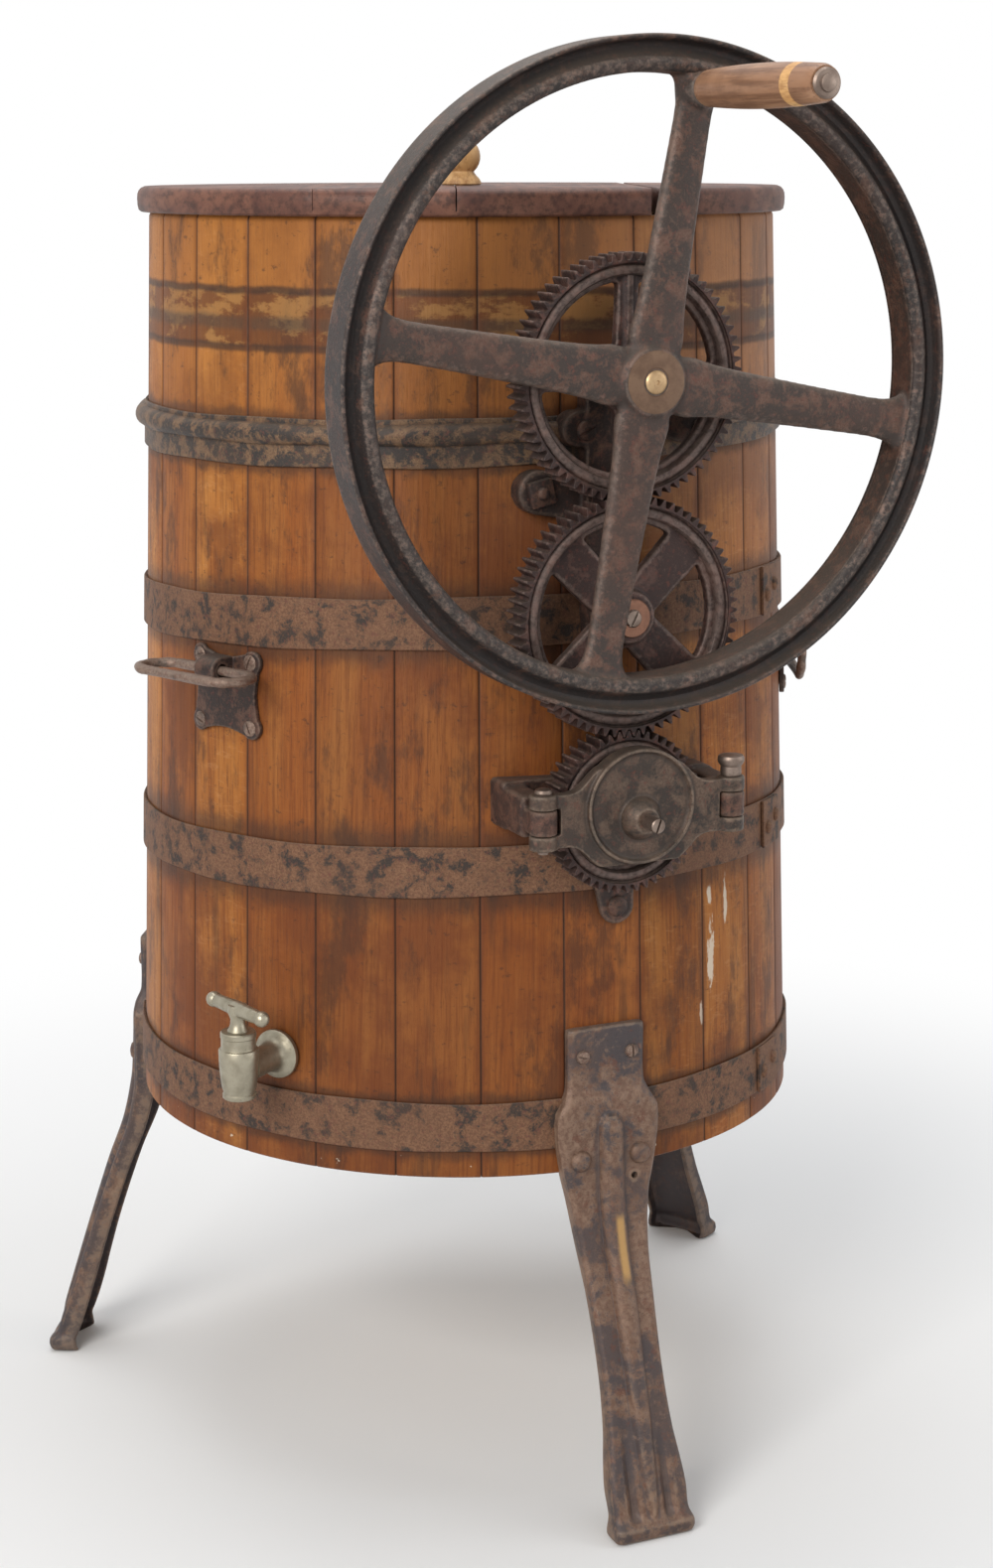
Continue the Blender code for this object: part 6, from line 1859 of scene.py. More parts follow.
@dataclass
class Flywheel(SubAssembly):
    """Spoked flywheel on the crank shaft, with the riveted spindle of the grip."""

    radius: float = 0.23998
    depth: float = 0.0255
    width: float = 0.034
    y: float = -0.334
    z: float = CRANK_Z
    lip: float = 0.003
    channel: float = 0.010
    hub: float = 0.025
    hub_back: float = -0.0212
    hub_front: float = 0.016
    shaft: float = 0.0085
    spokes: int = 4
    turn: float = 80.0
    spoke_forward: float = 0.003
    grip_circle: float = 0.206
    grip_length: float = 0.160

    @property
    def inner(self) -> float:
        """Inner radius of the rim."""
        return self.radius - self.depth

    def build(self) -> None:
        """Model the rim, the spider, the hub's face, the shaft and the spindle."""
        pose = axle(self.y, self.z)
        spider = self._spider()
        settle(spider, pose)
        mark_wear(spider, 16, 800.0)
        self.hand_over(spider, self.finishes.wheel, Body.FLYWHEEL, "flywheel")
        rim = self._rim()
        settle(rim, pose)
        mark_wear(rim, 4, 700.0)
        # The rim takes the darker copy of the wheel iron, which is painted shade.
        self.hand_over(rim, self.finishes.wheel_rim, Body.FLYWHEEL)
        self._hub_face(pose)
        self._spindle(pose)

    def _rim(self) -> Piece:
        """Rim with a channel between two lips on its front.

        Returns:
            The rim, about its own axle.
        """
        outer, inner, half, lip = self.radius, self.inner, self.width / 2, self.lip
        floor = half - self.channel
        profile = [(outer - 0.0012, -half), (outer, -half + 0.0012), (outer, -half + 0.004),
                   (outer, -half / 2), (outer, 0.0), (outer, half / 2), (outer, half - 0.004),
                   (outer, half - 0.0014), (outer - 0.0006, half - 0.0004), (outer - 0.0014, half),
                   (outer - lip + 0.0010, half - 0.0001), (outer - lip, half - 0.0010),
                   (outer - lip - 0.0008, half - 0.0040), (outer - lip - 0.0018, floor + 0.0022),
                   (outer - lip - 0.0034, floor + 0.0006), (outer - lip - 0.0056, floor),
                   (outer - lip - 0.0078, floor + 0.0008), (outer - lip - 0.0098, floor + 0.0028),
                   (outer - lip - 0.0114, half - 0.0042), (inner + 0.0098, half - 0.0020),
                   (inner + 0.0078, half - 0.0006), (inner + 0.0058, half), (inner + 0.0036, half - 0.0004),
                   (inner + 0.0016, half - 0.0016), (inner + 0.0003, half - 0.0034), (inner, half - 0.0056),
                   (inner, half / 2), (inner, 0.0), (inner, -half / 2), (inner, -half + 0.004),
                   (inner, -half + 0.0014), (inner + 0.0012, -half), (inner + 0.006, -half),
                   ((inner + outer) / 2, -half), (outer - 0.006, -half)]
        return turned("flywheel_rim", profile, 232)

    def _spider(self) -> Piece:
        """Hub and spokes, cast together with the inside of the rim.

        Returns:
            The casting, about its own axle.
        """
        back, front = self.hub_back, self.hub_front
        hub = turned("flywheel_spider", [(0.0, back), (self.hub - 0.001, back), (self.hub, back + 0.001),
                                         (self.hub, front - 0.0022), (self.hub - 0.0016, front - 0.0006),
                                         (0.0, front - 0.0006)], 56)
        low, high = -self.width / 2 + 0.002, self.width / 2 - 0.003
        outer, inner = self.inner + 0.0035, self.inner - 0.0003
        band = turned("flywheel_band", [(outer, low), (outer, high), (inner, high), (inner, low)], 180)
        arms = [self._spoke(n) for n in range(self.spokes)]
        boss = turned("grip_boss", [(0.0, -0.006), (0.0165, -0.002), (0.0148, 0.011), (0.0122, 0.0168),
                                    (0.0112, 0.0190), (0.0, 0.0190)], 40, self.grip_pose())
        combine(hub, [*arms, band, boss], "UNION")
        cast_skin(hub, 0.0017, 14)
        bore = turned("flywheel_bore", plug(self.shaft + 0.0002, -0.08, 0.08), 40)
        combine(hub, [bore], "DIFFERENCE")
        return smooth(hub, 55.0)

    def _spoke(self, number: int) -> Piece:
        """Oval spoke that flares into the hub and the rim.

        Args:
            number: Which spoke, counted from the grip's.

        Returns:
            The spoke.
        """
        stations = [(0.012, 0.036, 1.20), (0.030, 0.0440, 1.12), (0.045, 0.0400, 1.04),
                    (0.070, 0.0362, 1.0), (0.120, 0.0326, 0.94), (0.170, 0.0298, 0.88),
                    (0.190, 0.0294, 0.88), (0.203, 0.0325, 0.92), (0.2110, 0.0410, 0.96),
                    (self.inner + 0.003, 0.0560, 1.0)]
        rings = []
        for step in range(41):
            reach = stations[0][0] + (stations[-1][0] - stations[0][0]) * step / 40
            width, share = between(stations, reach)
            ring = []
            for i in range(24):
                lean = FULL_TURN * i / 24
                across = math.copysign(abs(math.cos(lean)) ** 0.72, math.cos(lean)) * width / 2
                deep = math.copysign(abs(math.sin(lean)) ** 0.85, math.sin(lean)) * 0.0075 * share
                ring.append(Vector((reach, across, self.spoke_forward + deep)))
            rings.append(ring)
        turn = turned_by(self.turn + 360.0 * number / self.spokes)
        return lofted(f"spoke_{number}", rings, turn)

    def grip_pose(self) -> Matrix:
        """Frame of the grip's spindle in the wheel's own frame."""
        angle = math.radians(self.turn)
        return shift(self.grip_circle * math.cos(angle), self.grip_circle * math.sin(angle), 0.0)

    def _hub_face(self, pose: Matrix) -> None:
        """Machined hub face, and the shaft with its end.

        Args:
            pose: The wheel's frame.
        """
        face = self.hub_front
        bore = self.shaft + 0.0012
        ring = turned("hub_face", [(bore, face - 0.003), (self.hub - 0.0030, face - 0.003),
                                   (self.hub - 0.0026, face - 0.0004), (self.hub - 0.0036, face),
                                   (self.shaft + 0.0018, face), (bore, face - 0.0006)], 64, pose)
        self.hand_over(ring, self.finishes.hub_face, Body.FLYWHEEL)
        end = face + 0.0014
        back = -0.262 - self.y
        tip = raised(end, [(self.shaft, -0.0016), (self.shaft - 0.0012, -0.0004), (self.shaft - 0.0026, 0.0),
                           (0.0016, 0.0), (0.0012, -0.0008), (0.0, -0.0010)])
        shaft = turned("shaft", [(0.0, -back), (self.shaft, -back), *tip], 40, pose)
        self.hand_over(shaft, self.finishes.brass, Body.FLYWHEEL, "crank_shaft")

    def _spindle(self, pose: Matrix) -> None:
        """Riveted spindle of the grip.

        Args:
            pose: The wheel's frame.
        """
        end = self.width / 2 + 0.002 + self.grip_length + 0.0008
        rivet = raised(end, [(0.005, 0.0), (0.0100, 0.0), (0.0102, 0.0008), (0.0088, 0.0024),
                             (0.0062, 0.0028), (0.0058, 0.0046), (0.0040, 0.0058), (0.0, 0.0060)])
        profile = [(0.0, 0.012), (0.005, 0.012), *rivet]
        spindle = turned("grip_spindle", profile, 40, pose @ self.grip_pose())
        self.hand_over(spindle, self.finishes.steel, Body.FLYWHEEL)


@dataclass
class Grip(SubAssembly):
    """Turned wooden grip on its spindle."""

    wheel: Flywheel
    end_radius: float = 0.0125
    belly: float = 0.0152
    chip_low: float = 0.124
    chip_high: float = 0.135

    def build(self) -> None:
        """Model the grip, with the chipped ring near its outer end as a piece of bare wood."""
        wheel = self.wheel
        start = wheel.width / 2 + 0.0024
        pose = axle(wheel.y, wheel.z) @ wheel.grip_pose() @ shift(0.0, 0.0, start)
        length = wheel.grip_length
        wood, chipped = self.finishes.grip_wood, self.finishes.chipped_wood
        for name, low, high, finish in (("grip_body", 0.0, self.chip_low, wood),
                                        ("grip_chipped_ring", self.chip_low, self.chip_high, chipped),
                                        ("grip_head", self.chip_high, length, wood)):
            piece = turned(name, self._profile(low, high, length), 48, pose)
            nodes = ("grip",) if name == "grip_body" else ()
            self.hand_over(piece, finish, Body.GRIP, *nodes)

    def _profile(self, low: float, high: float, length: float) -> list[Point]:
        """Closed section of the grip between two heights.

        Args:
            low: First height.
            high: Last height.
            length: Length of the whole grip.

        Returns:
            Points round the section.
        """
        steps = max(int((high - low) / 0.004), 2)
        points = [(0.0054, low)]
        for i in range(steps + 1):
            share = (low + (high - low) * i / steps) / length
            radius = self.end_radius + (self.belly - self.end_radius) * math.sin(math.pi * share) ** 0.9
            if share < 0.02 or share > 0.985:
                radius -= 0.0012
            points.append((radius, share * length))
        points.append((0.0054, high))
        return points


@dataclass
class IdlerStud(SubAssembly):
    """Fixed stud of the idler, with its washer and slotted screw."""

    y: float = GEAR_Y
    z: float = IDLER_Z
    radius: float = 0.0085
    washer: float = 0.0145

    def build(self) -> None:
        """Model the stud, the washer and the screw."""
        pose = axle(self.y, self.z)
        front = 0.0134
        profile = [(0.0, -0.030), (self.radius, -0.030), (self.radius, front), (self.washer - 0.0004, front),
                   (self.washer, front + 0.0006), (self.washer, front + 0.0024),
                   (self.washer - 0.0008, front + 0.0032), (0.0, front + 0.0032)]
        stud = turned("idler_washer", profile, 52, pose)
        self.hand_over(stud, self.finishes.copper, Body.CHURN, "idler_stud")
        seat = pose @ shift(0.0, 0.0, front + 0.0030)
        screw = self.slotted_screw("idler_screw", 0.0068, 0.0026, seat, 62.0)
        self.hand_over(screw, self.finishes.steel, Body.CHURN)


@dataclass
class UpperBracket(SubAssembly):
    """Casting that carries the crank shaft and the idler stud."""

    barrel: Barrel
    front: float = 0.276
    boss_front: float = 0.2875
    right_ear: Point = (0.076, 0.848)
    inner_ear: Point = (-0.024, 0.851)
    inner_screw: Point = (-0.019, 0.850)
    nut: Point = (-0.0533, 0.805)

    def _bar(self, name: str, start: Point, end: Point, radii: Point, back: float = 0.0) -> Piece:
        """Round-ended bar between two points in the station frame.

        Args:
            name: The piece's name.
            start: First end.
            end: Last end.
            radii: Radii of both ends.
            back: How far its face lies behind the casting's.

        Returns:
            The bar.
        """
        lean = math.degrees(math.atan2(end[1] - start[1], end[0] - start[0]))
        outline = arc(end, radii[1], lean - 90.0, lean + 90.0, 16)
        outline += arc(start, radii[0], lean + 90.0, lean + 270.0, 16)
        return cut_plate(name, outline, 0.225, self.front - back)

    def build(self) -> None:
        """Model the casting, its screws and its square nut."""
        spine = self._bar("upper_casting", (0.0, CRANK_Z - 0.001), (0.0, IDLER_Z - 0.012), (0.019, 0.0185))
        ears = [self._bar("ear_right", (0.0, CRANK_Z - 0.020), self.right_ear, (0.016, 0.0135), 0.0006),
                self._bar("ear_inner", (0.0, CRANK_Z - 0.040), self.inner_ear, (0.012, 0.0135), 0.0012),
                self._bar("ear_left", (0.0, 0.796), self.nut, (0.017, 0.0165), 0.008)]
        bosses = []
        for z, radius in ((CRANK_Z, 0.020), (IDLER_Z, 0.0195)):
            profile = plug(radius, 0.230, self.boss_front, head=0.0008)
            bosses.append(turned(f"boss_{z}", profile, 48, shift(0.0, z, 0.0)))
        combine(spine, [*ears, *bosses], "UNION")
        settle(spine, station(AHEAD))
        combine(spine, [self.barrel.core("upper_wall", 0.60, 1.02)], "DIFFERENCE")
        cast_skin(spine, 0.0015, 5)
        mark_wear(spine, 12, 1000.0)
        self.hand_over(spine, self.finishes.bracket, Body.CHURN, "upper_bracket")
        for name, spot, lean in (("inner", self.inner_screw, 25.0), ("right", self.right_ear, -40.0)):
            pose = station(AHEAD) @ shift(*spot, self.front - 0.001)
            screw = self.slotted_screw(f"upper_screw_{name}", 0.0078, 0.0036, pose, lean)
            self.hand_over(screw, self.finishes.bracket, Body.CHURN)
        nut = board("upper_nut", (-0.0098, -0.0098, -0.002), (0.0098, 0.0098, 0.0056),
                    station(AHEAD) @ shift(*self.nut, self.front - 0.008) @ turned_by(12.0), 0.0012)
        self.hand_over(nut, self.finishes.bracket, Body.CHURN)
        tip = self.dome("upper_bolt", 0.0050, 0.0038, station(AHEAD) @ shift(*self.nut, self.front - 0.0024))
        self.hand_over(tip, self.finishes.bracket, Body.CHURN)


@dataclass
class Yoke(SubAssembly):
    """Lower bracket, the yoke that swings on it, and their pins."""

    barrel: Barrel
    tail: Point = (0.0095, 0.4845)
    yoke_z: float = 0.5765
    bracket_front: float = 0.276
    boss_front: float = 0.2877
    yoke_back: float = 0.3195
    thickness: float = 0.012
    radius: float = 0.044
    hinge_x: float = -0.077
    latch_x: float = 0.079
    pivot: float = 0.3255
    knuckle: float = 0.0105
    lug_top: float = 0.5915
    lug_bottom: float = 0.5495

    @property
    def front(self) -> float:
        """How far the yoke's face is from the axis."""
        return self.yoke_back + self.thickness

    def build(self) -> None:
        """Model both castings, the thrust screw and the two pins."""
        self._bracket()
        self._yoke()
        self._thrust_screw()
        self._pins()

    def _pivot_cylinder(self, name: str, x: float, low: float, high: float) -> Piece:
        """Knuckle or lug on one of the two pin axes."""
        return turned(name, plug(self.knuckle, low, high, 0.0006, 0.0006), 40, upright(x, -self.pivot))

    def _bracket(self) -> None:
        """Casting round the dasher shaft, with the arms that carry the yoke."""
        face = self.bracket_front
        z = self.yoke_z - 0.004
        end, ease_out = self.hinge_x - self.knuckle, 0.004
        outline = arc((self.latch_x, z), 0.018, -90.0, 90.0, 16)
        outline += arc((end + ease_out, z + 0.0145), ease_out, 90.0, 180.0, 5)
        outline += arc((end + ease_out, z - 0.0145), ease_out, 180.0, 270.0, 5)
        cross = cut_plate("lower_casting", outline, 0.225, face)
        lean = math.degrees(math.atan2(self.tail[1] - DASHER_Z, self.tail[0]))
        tail_line = arc(self.tail, 0.0145, lean - 90.0, lean + 90.0, 16)
        tail_line += arc((0.0, DASHER_Z), 0.024, lean + 90.0, lean + 270.0, 16)
        adds = [cut_plate("lower_tail", tail_line, 0.225, face - 0.0006),
                turned("lower_boss", plug(0.026, 0.230, self.boss_front), 48, shift(0.0, DASHER_Z, 0.0))]
        combine(cross, adds, "UNION")
        settle(cross, station(AHEAD))
        middle = self.yoke_z - 0.006
        arms = []
        for label, x in (("hinge", self.hinge_x), ("latch", self.latch_x)):
            outward = math.copysign(1.0, x)
            edge = x + outward * self.knuckle
            low_x, high_x = sorted((edge, edge - outward * 0.020))
            near = -self.pivot + self.knuckle + 0.004
            arms.append(board(f"{label}_arm", (low_x, near, self.yoke_z - 0.021),
                              (high_x, -0.235, self.yoke_z + 0.011), edge=0.003))
            neck = sorted((edge - outward * 0.0008, edge - outward * 0.0190))
            arms.append(board(f"{label}_neck", (neck[0], -self.pivot, middle - 0.009),
                              (neck[1], -self.pivot + 0.02, middle + 0.009), edge=0.0008))
            arms.append(self._pivot_cylinder(f"{label}_knuckle", x, middle - 0.0095, middle + 0.0095))
        combine(cross, arms, "UNION")
        combine(cross, [self.barrel.core("lower_wall", 0.44, 0.64)], "DIFFERENCE")
        cast_skin(cross, 0.0013, 4)
        mark_wear(cross, 12, 1000.0)
        self.hand_over(cross, self.finishes.bracket, Body.CHURN, "lower_bracket")
        bolt = self.dome("lower_bolt", 0.0085, 0.0040, station(AHEAD) @ shift(*self.tail, face - 0.0008))
        self.hand_over(bolt, self.finishes.bracket, Body.CHURN)

    def _arm_outline(self) -> list[Point]:
        """Outline of both arms, with hollow upper and lower edges.

        Returns:
            Points round the arms.
        """
        middle = (self.lug_top + self.lug_bottom) / 2
        rise = (self.lug_top - self.lug_bottom) / 2 - 0.0008
        upper = []
        for step in range(41):
            x = self.hinge_x + (self.latch_x - self.hinge_x) * step / 40
            out = abs(x) - 0.030
            lift = rise + 0.018 * (1.0 - ease(0.0, 0.030, out)) ** 1.5 if out > 0 else rise + 0.018
            upper.append((x, middle + min(lift, rise + 0.018)))
        lower = [(x, 2 * middle - y) for x, y in reversed(upper)]
        return upper + lower

    def _yoke(self) -> None:
        """Disc with a raised rim, its arms, clevis lugs and domed boss."""
        back, front, radius = self.yoke_back, self.front, self.radius
        rim = front + 0.0036
        profile = [(0.0, back), (radius - 0.0006, back), (radius, back + 0.0006), (radius, rim - 0.0010),
                   (radius - 0.0008, rim), (radius - 0.0024, rim), (radius - 0.0040, front + 0.0004),
                   (radius - 0.0060, front), (0.029, front), (0.0270, front - 0.0005), (0.0, front - 0.0005)]
        disc = turned("yoke_casting", profile, 96, shift(0.0, self.yoke_z, 0.0))
        arms = cut_plate("yoke_arms", self._arm_outline(), back + 0.001, front - 0.0005)
        boss_line = raised(front, [(0.0165, -0.002), (0.0160, 0.0022), (0.0140, 0.0066), (0.0112, 0.0104),
                                   (0.0092, 0.0126), (0.0, 0.0128)])
        boss = turned("yoke_boss", [(0.0, back - 0.003), (0.0158, back - 0.003), *boss_line], 56,
                      shift(0.0, DASHER_Z, 0.0))
        combine(disc, [arms, boss], "UNION")
        settle(disc, station(AHEAD))
        middle = self.yoke_z - 0.006
        lugs, notches = [], []
        for label, x in (("hinge", self.hinge_x), ("latch", self.latch_x)):
            lugs.append(self._pivot_cylinder(f"yoke_{label}_lug", x, self.lug_bottom, self.lug_top))
            room = self.knuckle + 0.0015
            outward = math.copysign(1.0, x)
            low_x, high_x = sorted((x - outward * room, x + outward * 0.03))
            notches.append(board(f"yoke_{label}_notch", (low_x, -self.pivot - 0.03, middle - 0.0099),
                                 (high_x, -self.pivot + 0.03, middle + 0.0099), edge=0.0004))
        combine(disc, lugs, "UNION")
        combine(disc, notches, "DIFFERENCE")
        cast_skin(disc, 0.0010, 4)
        mark_wear(disc, 14, 1300.0)
        self.hand_over(disc, self.finishes.yoke, Body.CHURN, "yoke")

    def _thrust_screw(self) -> None:
        """Slotted screw that takes the dasher's thrust."""
        radius, start, end = 0.0055, 0.3248, self.front + 0.030
        screw = turned("thrust_screw_body", plug(radius, start, end, head=0.0008), 36)
        slot = board("thrust_slot", (-0.01, -0.0008, end - 0.0025), (0.01, 0.0008, end + 0.01),
                     turned_by(70.0), SHARP)
        combine(screw, [slot], "DIFFERENCE")
        smooth(screw, 35.0)
        settle(screw, station(AHEAD, DASHER_Z))
        self.hand_over(screw, self.finishes.steel, Body.CHURN, "thrust_screw")

    def _pins(self) -> None:
        """Hinge pin and the button-headed latch pin."""
        head = self.lug_top + 0.0003
        low = self.lug_bottom - 0.003
        button = raised(head, [(0.004, 0.0), (0.0066, 0.0), (0.0068, 0.0012), (0.0058, 0.0032),
                               (0.0036, 0.0042), (0.0, 0.0044)])
        profile = [(0.0, low), (0.004, low), *button]
        hinge = turned("hinge_pin", profile, 36, upright(self.hinge_x, -self.pivot))
        self.hand_over(hinge, self.finishes.steel, Body.CHURN, "yoke_hinge_pin")
        low = self.lug_bottom + 0.001
        button = raised(head, [(0.0062, 0.0), (0.0076, 0.0002), (0.0080, 0.002), (0.0078, 0.0072),
                               (0.0092, 0.0090), (0.0101, 0.0108), (0.0101, 0.0136), (0.0092, 0.0152),
                               (0.0060, 0.0158), (0.0, 0.0159)])
        profile = [(0.0, low), (0.0052, low), (0.0062, low + 0.002), *button]
        latch = turned("latch_pin_body", profile, 44, upright(self.latch_x, -self.pivot))
        self.hand_over(latch, self.finishes.steel, Body.LATCH_PIN, "latch_pin")


@dataclass
class Tap(SubAssembly):
    """Plug tap with its tail through the wall."""

    barrel: Barrel
    angle: float = -145.385
    z: float = 0.3622
    reach: float = 0.327
    bar_length: float = 0.078
    bar_angle: float = 70.0
    bar_z: float = 0.412

    def build(self) -> None:
        """Model the body with its tail, and the plug with its cross bar."""
        turn = math.radians(self.angle)
        axis = (self.reach * math.cos(turn), self.reach * math.sin(turn))
        low = self.z - 0.0212
        shell = raised(low, [(0.0066, 0.0006), (0.0074, 0.0), (0.0122, 0.0), (0.0130, 0.0008),
                             (0.0131, 0.0034), (0.0122, 0.0044), (0.0124, 0.0056), (0.0134, 0.0090),
                             (0.0142, 0.0150), (0.0149, 0.0220), (0.0153, 0.0300), (0.0155, 0.0385),
                             (0.0149, 0.0395), (0.0137, 0.0400), (0.0134, 0.0410), (0.0134, 0.0485),
                             (0.0139, 0.0492), (0.0138, 0.0525), (0.0130, 0.0535), (0.0084, 0.0537),
                             (0.0084, 0.0120), (0.0066, 0.0110)])
        body = turned("tap_barrel", shell, 56, upright(*axis))
        self.hand_over(body, self.finishes.nickel, Body.CHURN, "tap_body")
        flange = raised(self.barrel.radius(self.z), [
            (0.0, -0.022), (0.0098, -0.022), (0.0098, 0.0012), (0.0190, 0.0012), (0.0195, 0.0020),
            (0.0195, 0.0052), (0.0186, 0.0064), (0.0150, 0.0078), (0.0122, 0.0105), (0.0112, 0.0150),
            (0.0110, 0.0220)])
        joint = raised(self.reach, [(0.0114, -0.014), (0.0126, -0.0095), (0.0, -0.0085)])
        tail = turned("tap_tail", flange + joint, 52, station(self.angle, self.z))
        self.hand_over(tail, self.finishes.nickel, Body.CHURN)
        stem = raised(low, [(0.0, 0.0125), (0.0080, 0.0125), (0.0081, 0.0500), (0.0084, 0.0540),
                            (0.0070, 0.0562), (0.0060, 0.0590)])
        collar = raised(self.bar_z, [(0.0056, -0.0080), (0.0066, -0.0050), (0.0080, -0.0020),
                                     (0.0072, 0.0034), (0.0, 0.0052)])
        tap_plug = turned("tap_stem", stem + collar, 36, upright(*axis))
        self.hand_over(tap_plug, self.finishes.nickel, Body.TAP_PLUG, "tap_plug")
        half, ball, neck = self.bar_length / 2, 0.0062, 0.0053
        profile = [(0.0, -half), *arc((0.0, -half + ball), ball, -65.0, 40.0, 7),
                   (neck, -half + 2 * ball), (neck * 1.08, -half / 3), (neck * 1.2, 0.0),
                   (neck * 1.08, half / 3), (neck, half - 2 * ball),
                   *arc((0.0, half - ball), ball, -40.0, 65.0, 7), (0.0, half)]
        pose = upright(*axis, self.bar_z, self.angle + self.bar_angle) @ turned_by(90.0, "Y")
        self.hand_over(turned("tap_bar", profile, 32, pose), self.finishes.nickel, Body.TAP_PLUG)


@dataclass
class CarryingHandle(SubAssembly):
    """Four-lobed plate with a lug, and the long ring that swings in it."""

    barrel: Barrel
    side: Side
    z: float = 0.643
    pivot_z: float = 0.662
    half_width: float = 0.0295
    half_height: float = 0.0255
    lobe: float = 0.009
    thickness: float = 0.0042
    standoff: float = 0.0155
    lug_radius: float = 0.0105
    lug_width: float = 0.022
    ring_length: float = 0.120
    ring_depth: float = 0.036
    bar: float = 0.005

    @property
    def label(self) -> str:
        """Name of the side."""
        return self.side.name.lower()

    def build(self) -> None:
        """Model the plate, its four screws and the ring."""
        self._plate()
        self._ring()

    def _outline(self) -> list[Point]:
        """Round lobe at each corner, with hollow sides between them.

        Returns:
            Points round the plate.
        """
        points = []
        for sx, sy, start in ((1, 1, 0.0), (-1, 1, 90.0), (-1, -1, 180.0), (1, -1, 270.0)):
            corner = (sx * self.half_width, sy * self.half_height)
            points += arc(corner, self.lobe, start - 48.0, start + 138.0, 14)
            wide, high = self.half_width, self.half_height
            if sx == sy:
                points += [(sx * 0.010, sy * (high + 0.0030)), (0.0, sy * (high + 0.0022)),
                           (-sx * 0.010, sy * (high + 0.0030))]
            else:
                points += [(sx * (wide + 0.0040), sy * 0.008), (sx * (wide + 0.0032), 0.0),
                           (sx * (wide + 0.0040), -sy * 0.008)]
        return points

    def _plate(self) -> None:
        """Plate bent to the barrel, with the lug cast on."""
        angle, face = self.side.value, self.barrel.radius(self.z)
        plate = cut_plate(f"{self.label}_plate", self._outline(), face - 0.03, face + 0.03,
                          station(angle, self.z))
        gap = 0.0003
        shell = self.barrel.skin("plate_shell", self.z - 0.06, self.z + 0.06, gap, gap + self.thickness)
        combine(plate, [shell], "INTERSECT")
        pivot = self.barrel.radius(self.pivot_z) + self.standoff
        across = station(angle, self.pivot_z) @ shift(0.0, 0.0, pivot) @ turned_by(90.0, "Y")
        half = self.lug_width / 2
        lug = turned(f"{self.label}_lug", plug(self.lug_radius, -half, half, 0.001, 0.001), 40, across)
        neck = board(f"{self.label}_neck", (-half, -self.lug_radius, -0.012), (half, self.lug_radius, 0.002),
                     station(angle, self.pivot_z) @ shift(0.0, 0.0, pivot), 0.0015)
        combine(plate, [lug, neck], "UNION")
        cast_skin(plate, 0.0009, 4)
        bore = turned("lug_bore", plug(self.bar + 0.0003, -0.03, 0.03), 32, across)
        combine(plate, [bore], "DIFFERENCE")
        smooth(plate, 50.0)
        mark_wear(plate, 12, 1300.0)
        self.hand_over(plate, self.finishes.bracket, Body.CHURN, f"{self.label}_handle_plate")
        for index, (sx, sy) in enumerate(((-1, 1), (1, 1), (1, -1), (-1, -1))):
            x, z = sx * (self.half_width - 0.001), self.z + sy * self.half_height
            seat = math.sqrt((self.barrel.radius(z) + self.thickness) ** 2 - x * x)
            pose = station(angle) @ shift(x, z, seat)
            pose = pose @ Matrix.Rotation(math.atan2(x, seat), 4, "Y")
            screw = self.slotted_screw(f"{self.label}_plate_screw_{index + 1}", 0.0062, 0.0020, pose,
                                       20.0 + 47.0 * index)
            self.hand_over(screw, self.finishes.ring, Body.CHURN)

    def _ring(self) -> None:
        """Ring in its resting place: straight out on the left, hanging on the right."""
        bend = self.ring_depth / 2
        straight = self.ring_length / 2 - self.bar - bend
        path = arc((straight, bend), bend, -90.0, 90.0, 20)
        path += [(x * straight / 4, 2 * bend) for x in (2, 0, -2)]
        path += arc((-straight, bend), bend, 90.0, 270.0, 20)
        path += [(x * straight / 4, 0.0) for x in (-2, 0, 2)]
        rings = []
        for i, spot in enumerate(path):
            before, after = Vector(path[i - 1]), Vector(path[(i + 1) % len(path)])
            along = (after - before).normalized()
            out = Vector((along.y, 0.0, -along.x))
            thick = self.bar * (0.94 + 0.06 * math.sin(i * 1.3))
            ring = []
            for j in range(20):
                lean = FULL_TURN * j / 20
                ring.append(Vector((spot[0], 0.0, spot[1]))
                            + (out * math.cos(lean) + Vector((0.0, 0.8 * math.sin(lean), 0.0))) * thick)
            rings.append(ring)
        pivot = self.barrel.radius(self.pivot_z) + self.standoff
        pose = station(self.side.value, self.pivot_z) @ shift(0.0, 0.0, pivot)
        if self.side is Side.RIGHT:
            pose = pose @ turned_by(90.0, "X")
        ring = lofted(f"{self.label}_ring", rings, pose, ring_loop=True)
        body = Body.LEFT_HANDLE if self.side is Side.LEFT else Body.RIGHT_HANDLE
        self.hand_over(ring, self.finishes.ring, body, f"{self.label}_handle_ring")


@dataclass
class Dasher(SubAssembly):
    """What lies inside the barrel: the dasher's frames and shaft."""

    def build(self) -> None:
        """Dress the frames and the shaft."""
        for node in ("dasher_frame_1", "dasher_frame_2"):
            piece = copy_of_node(node, f"{node}_wood")
            self.hand_over(soften(piece, 0.0015), self.finishes.bare_oak, Body.DASHER, node)
        self.dress_node("dasher_shaft", self.finishes.steel)


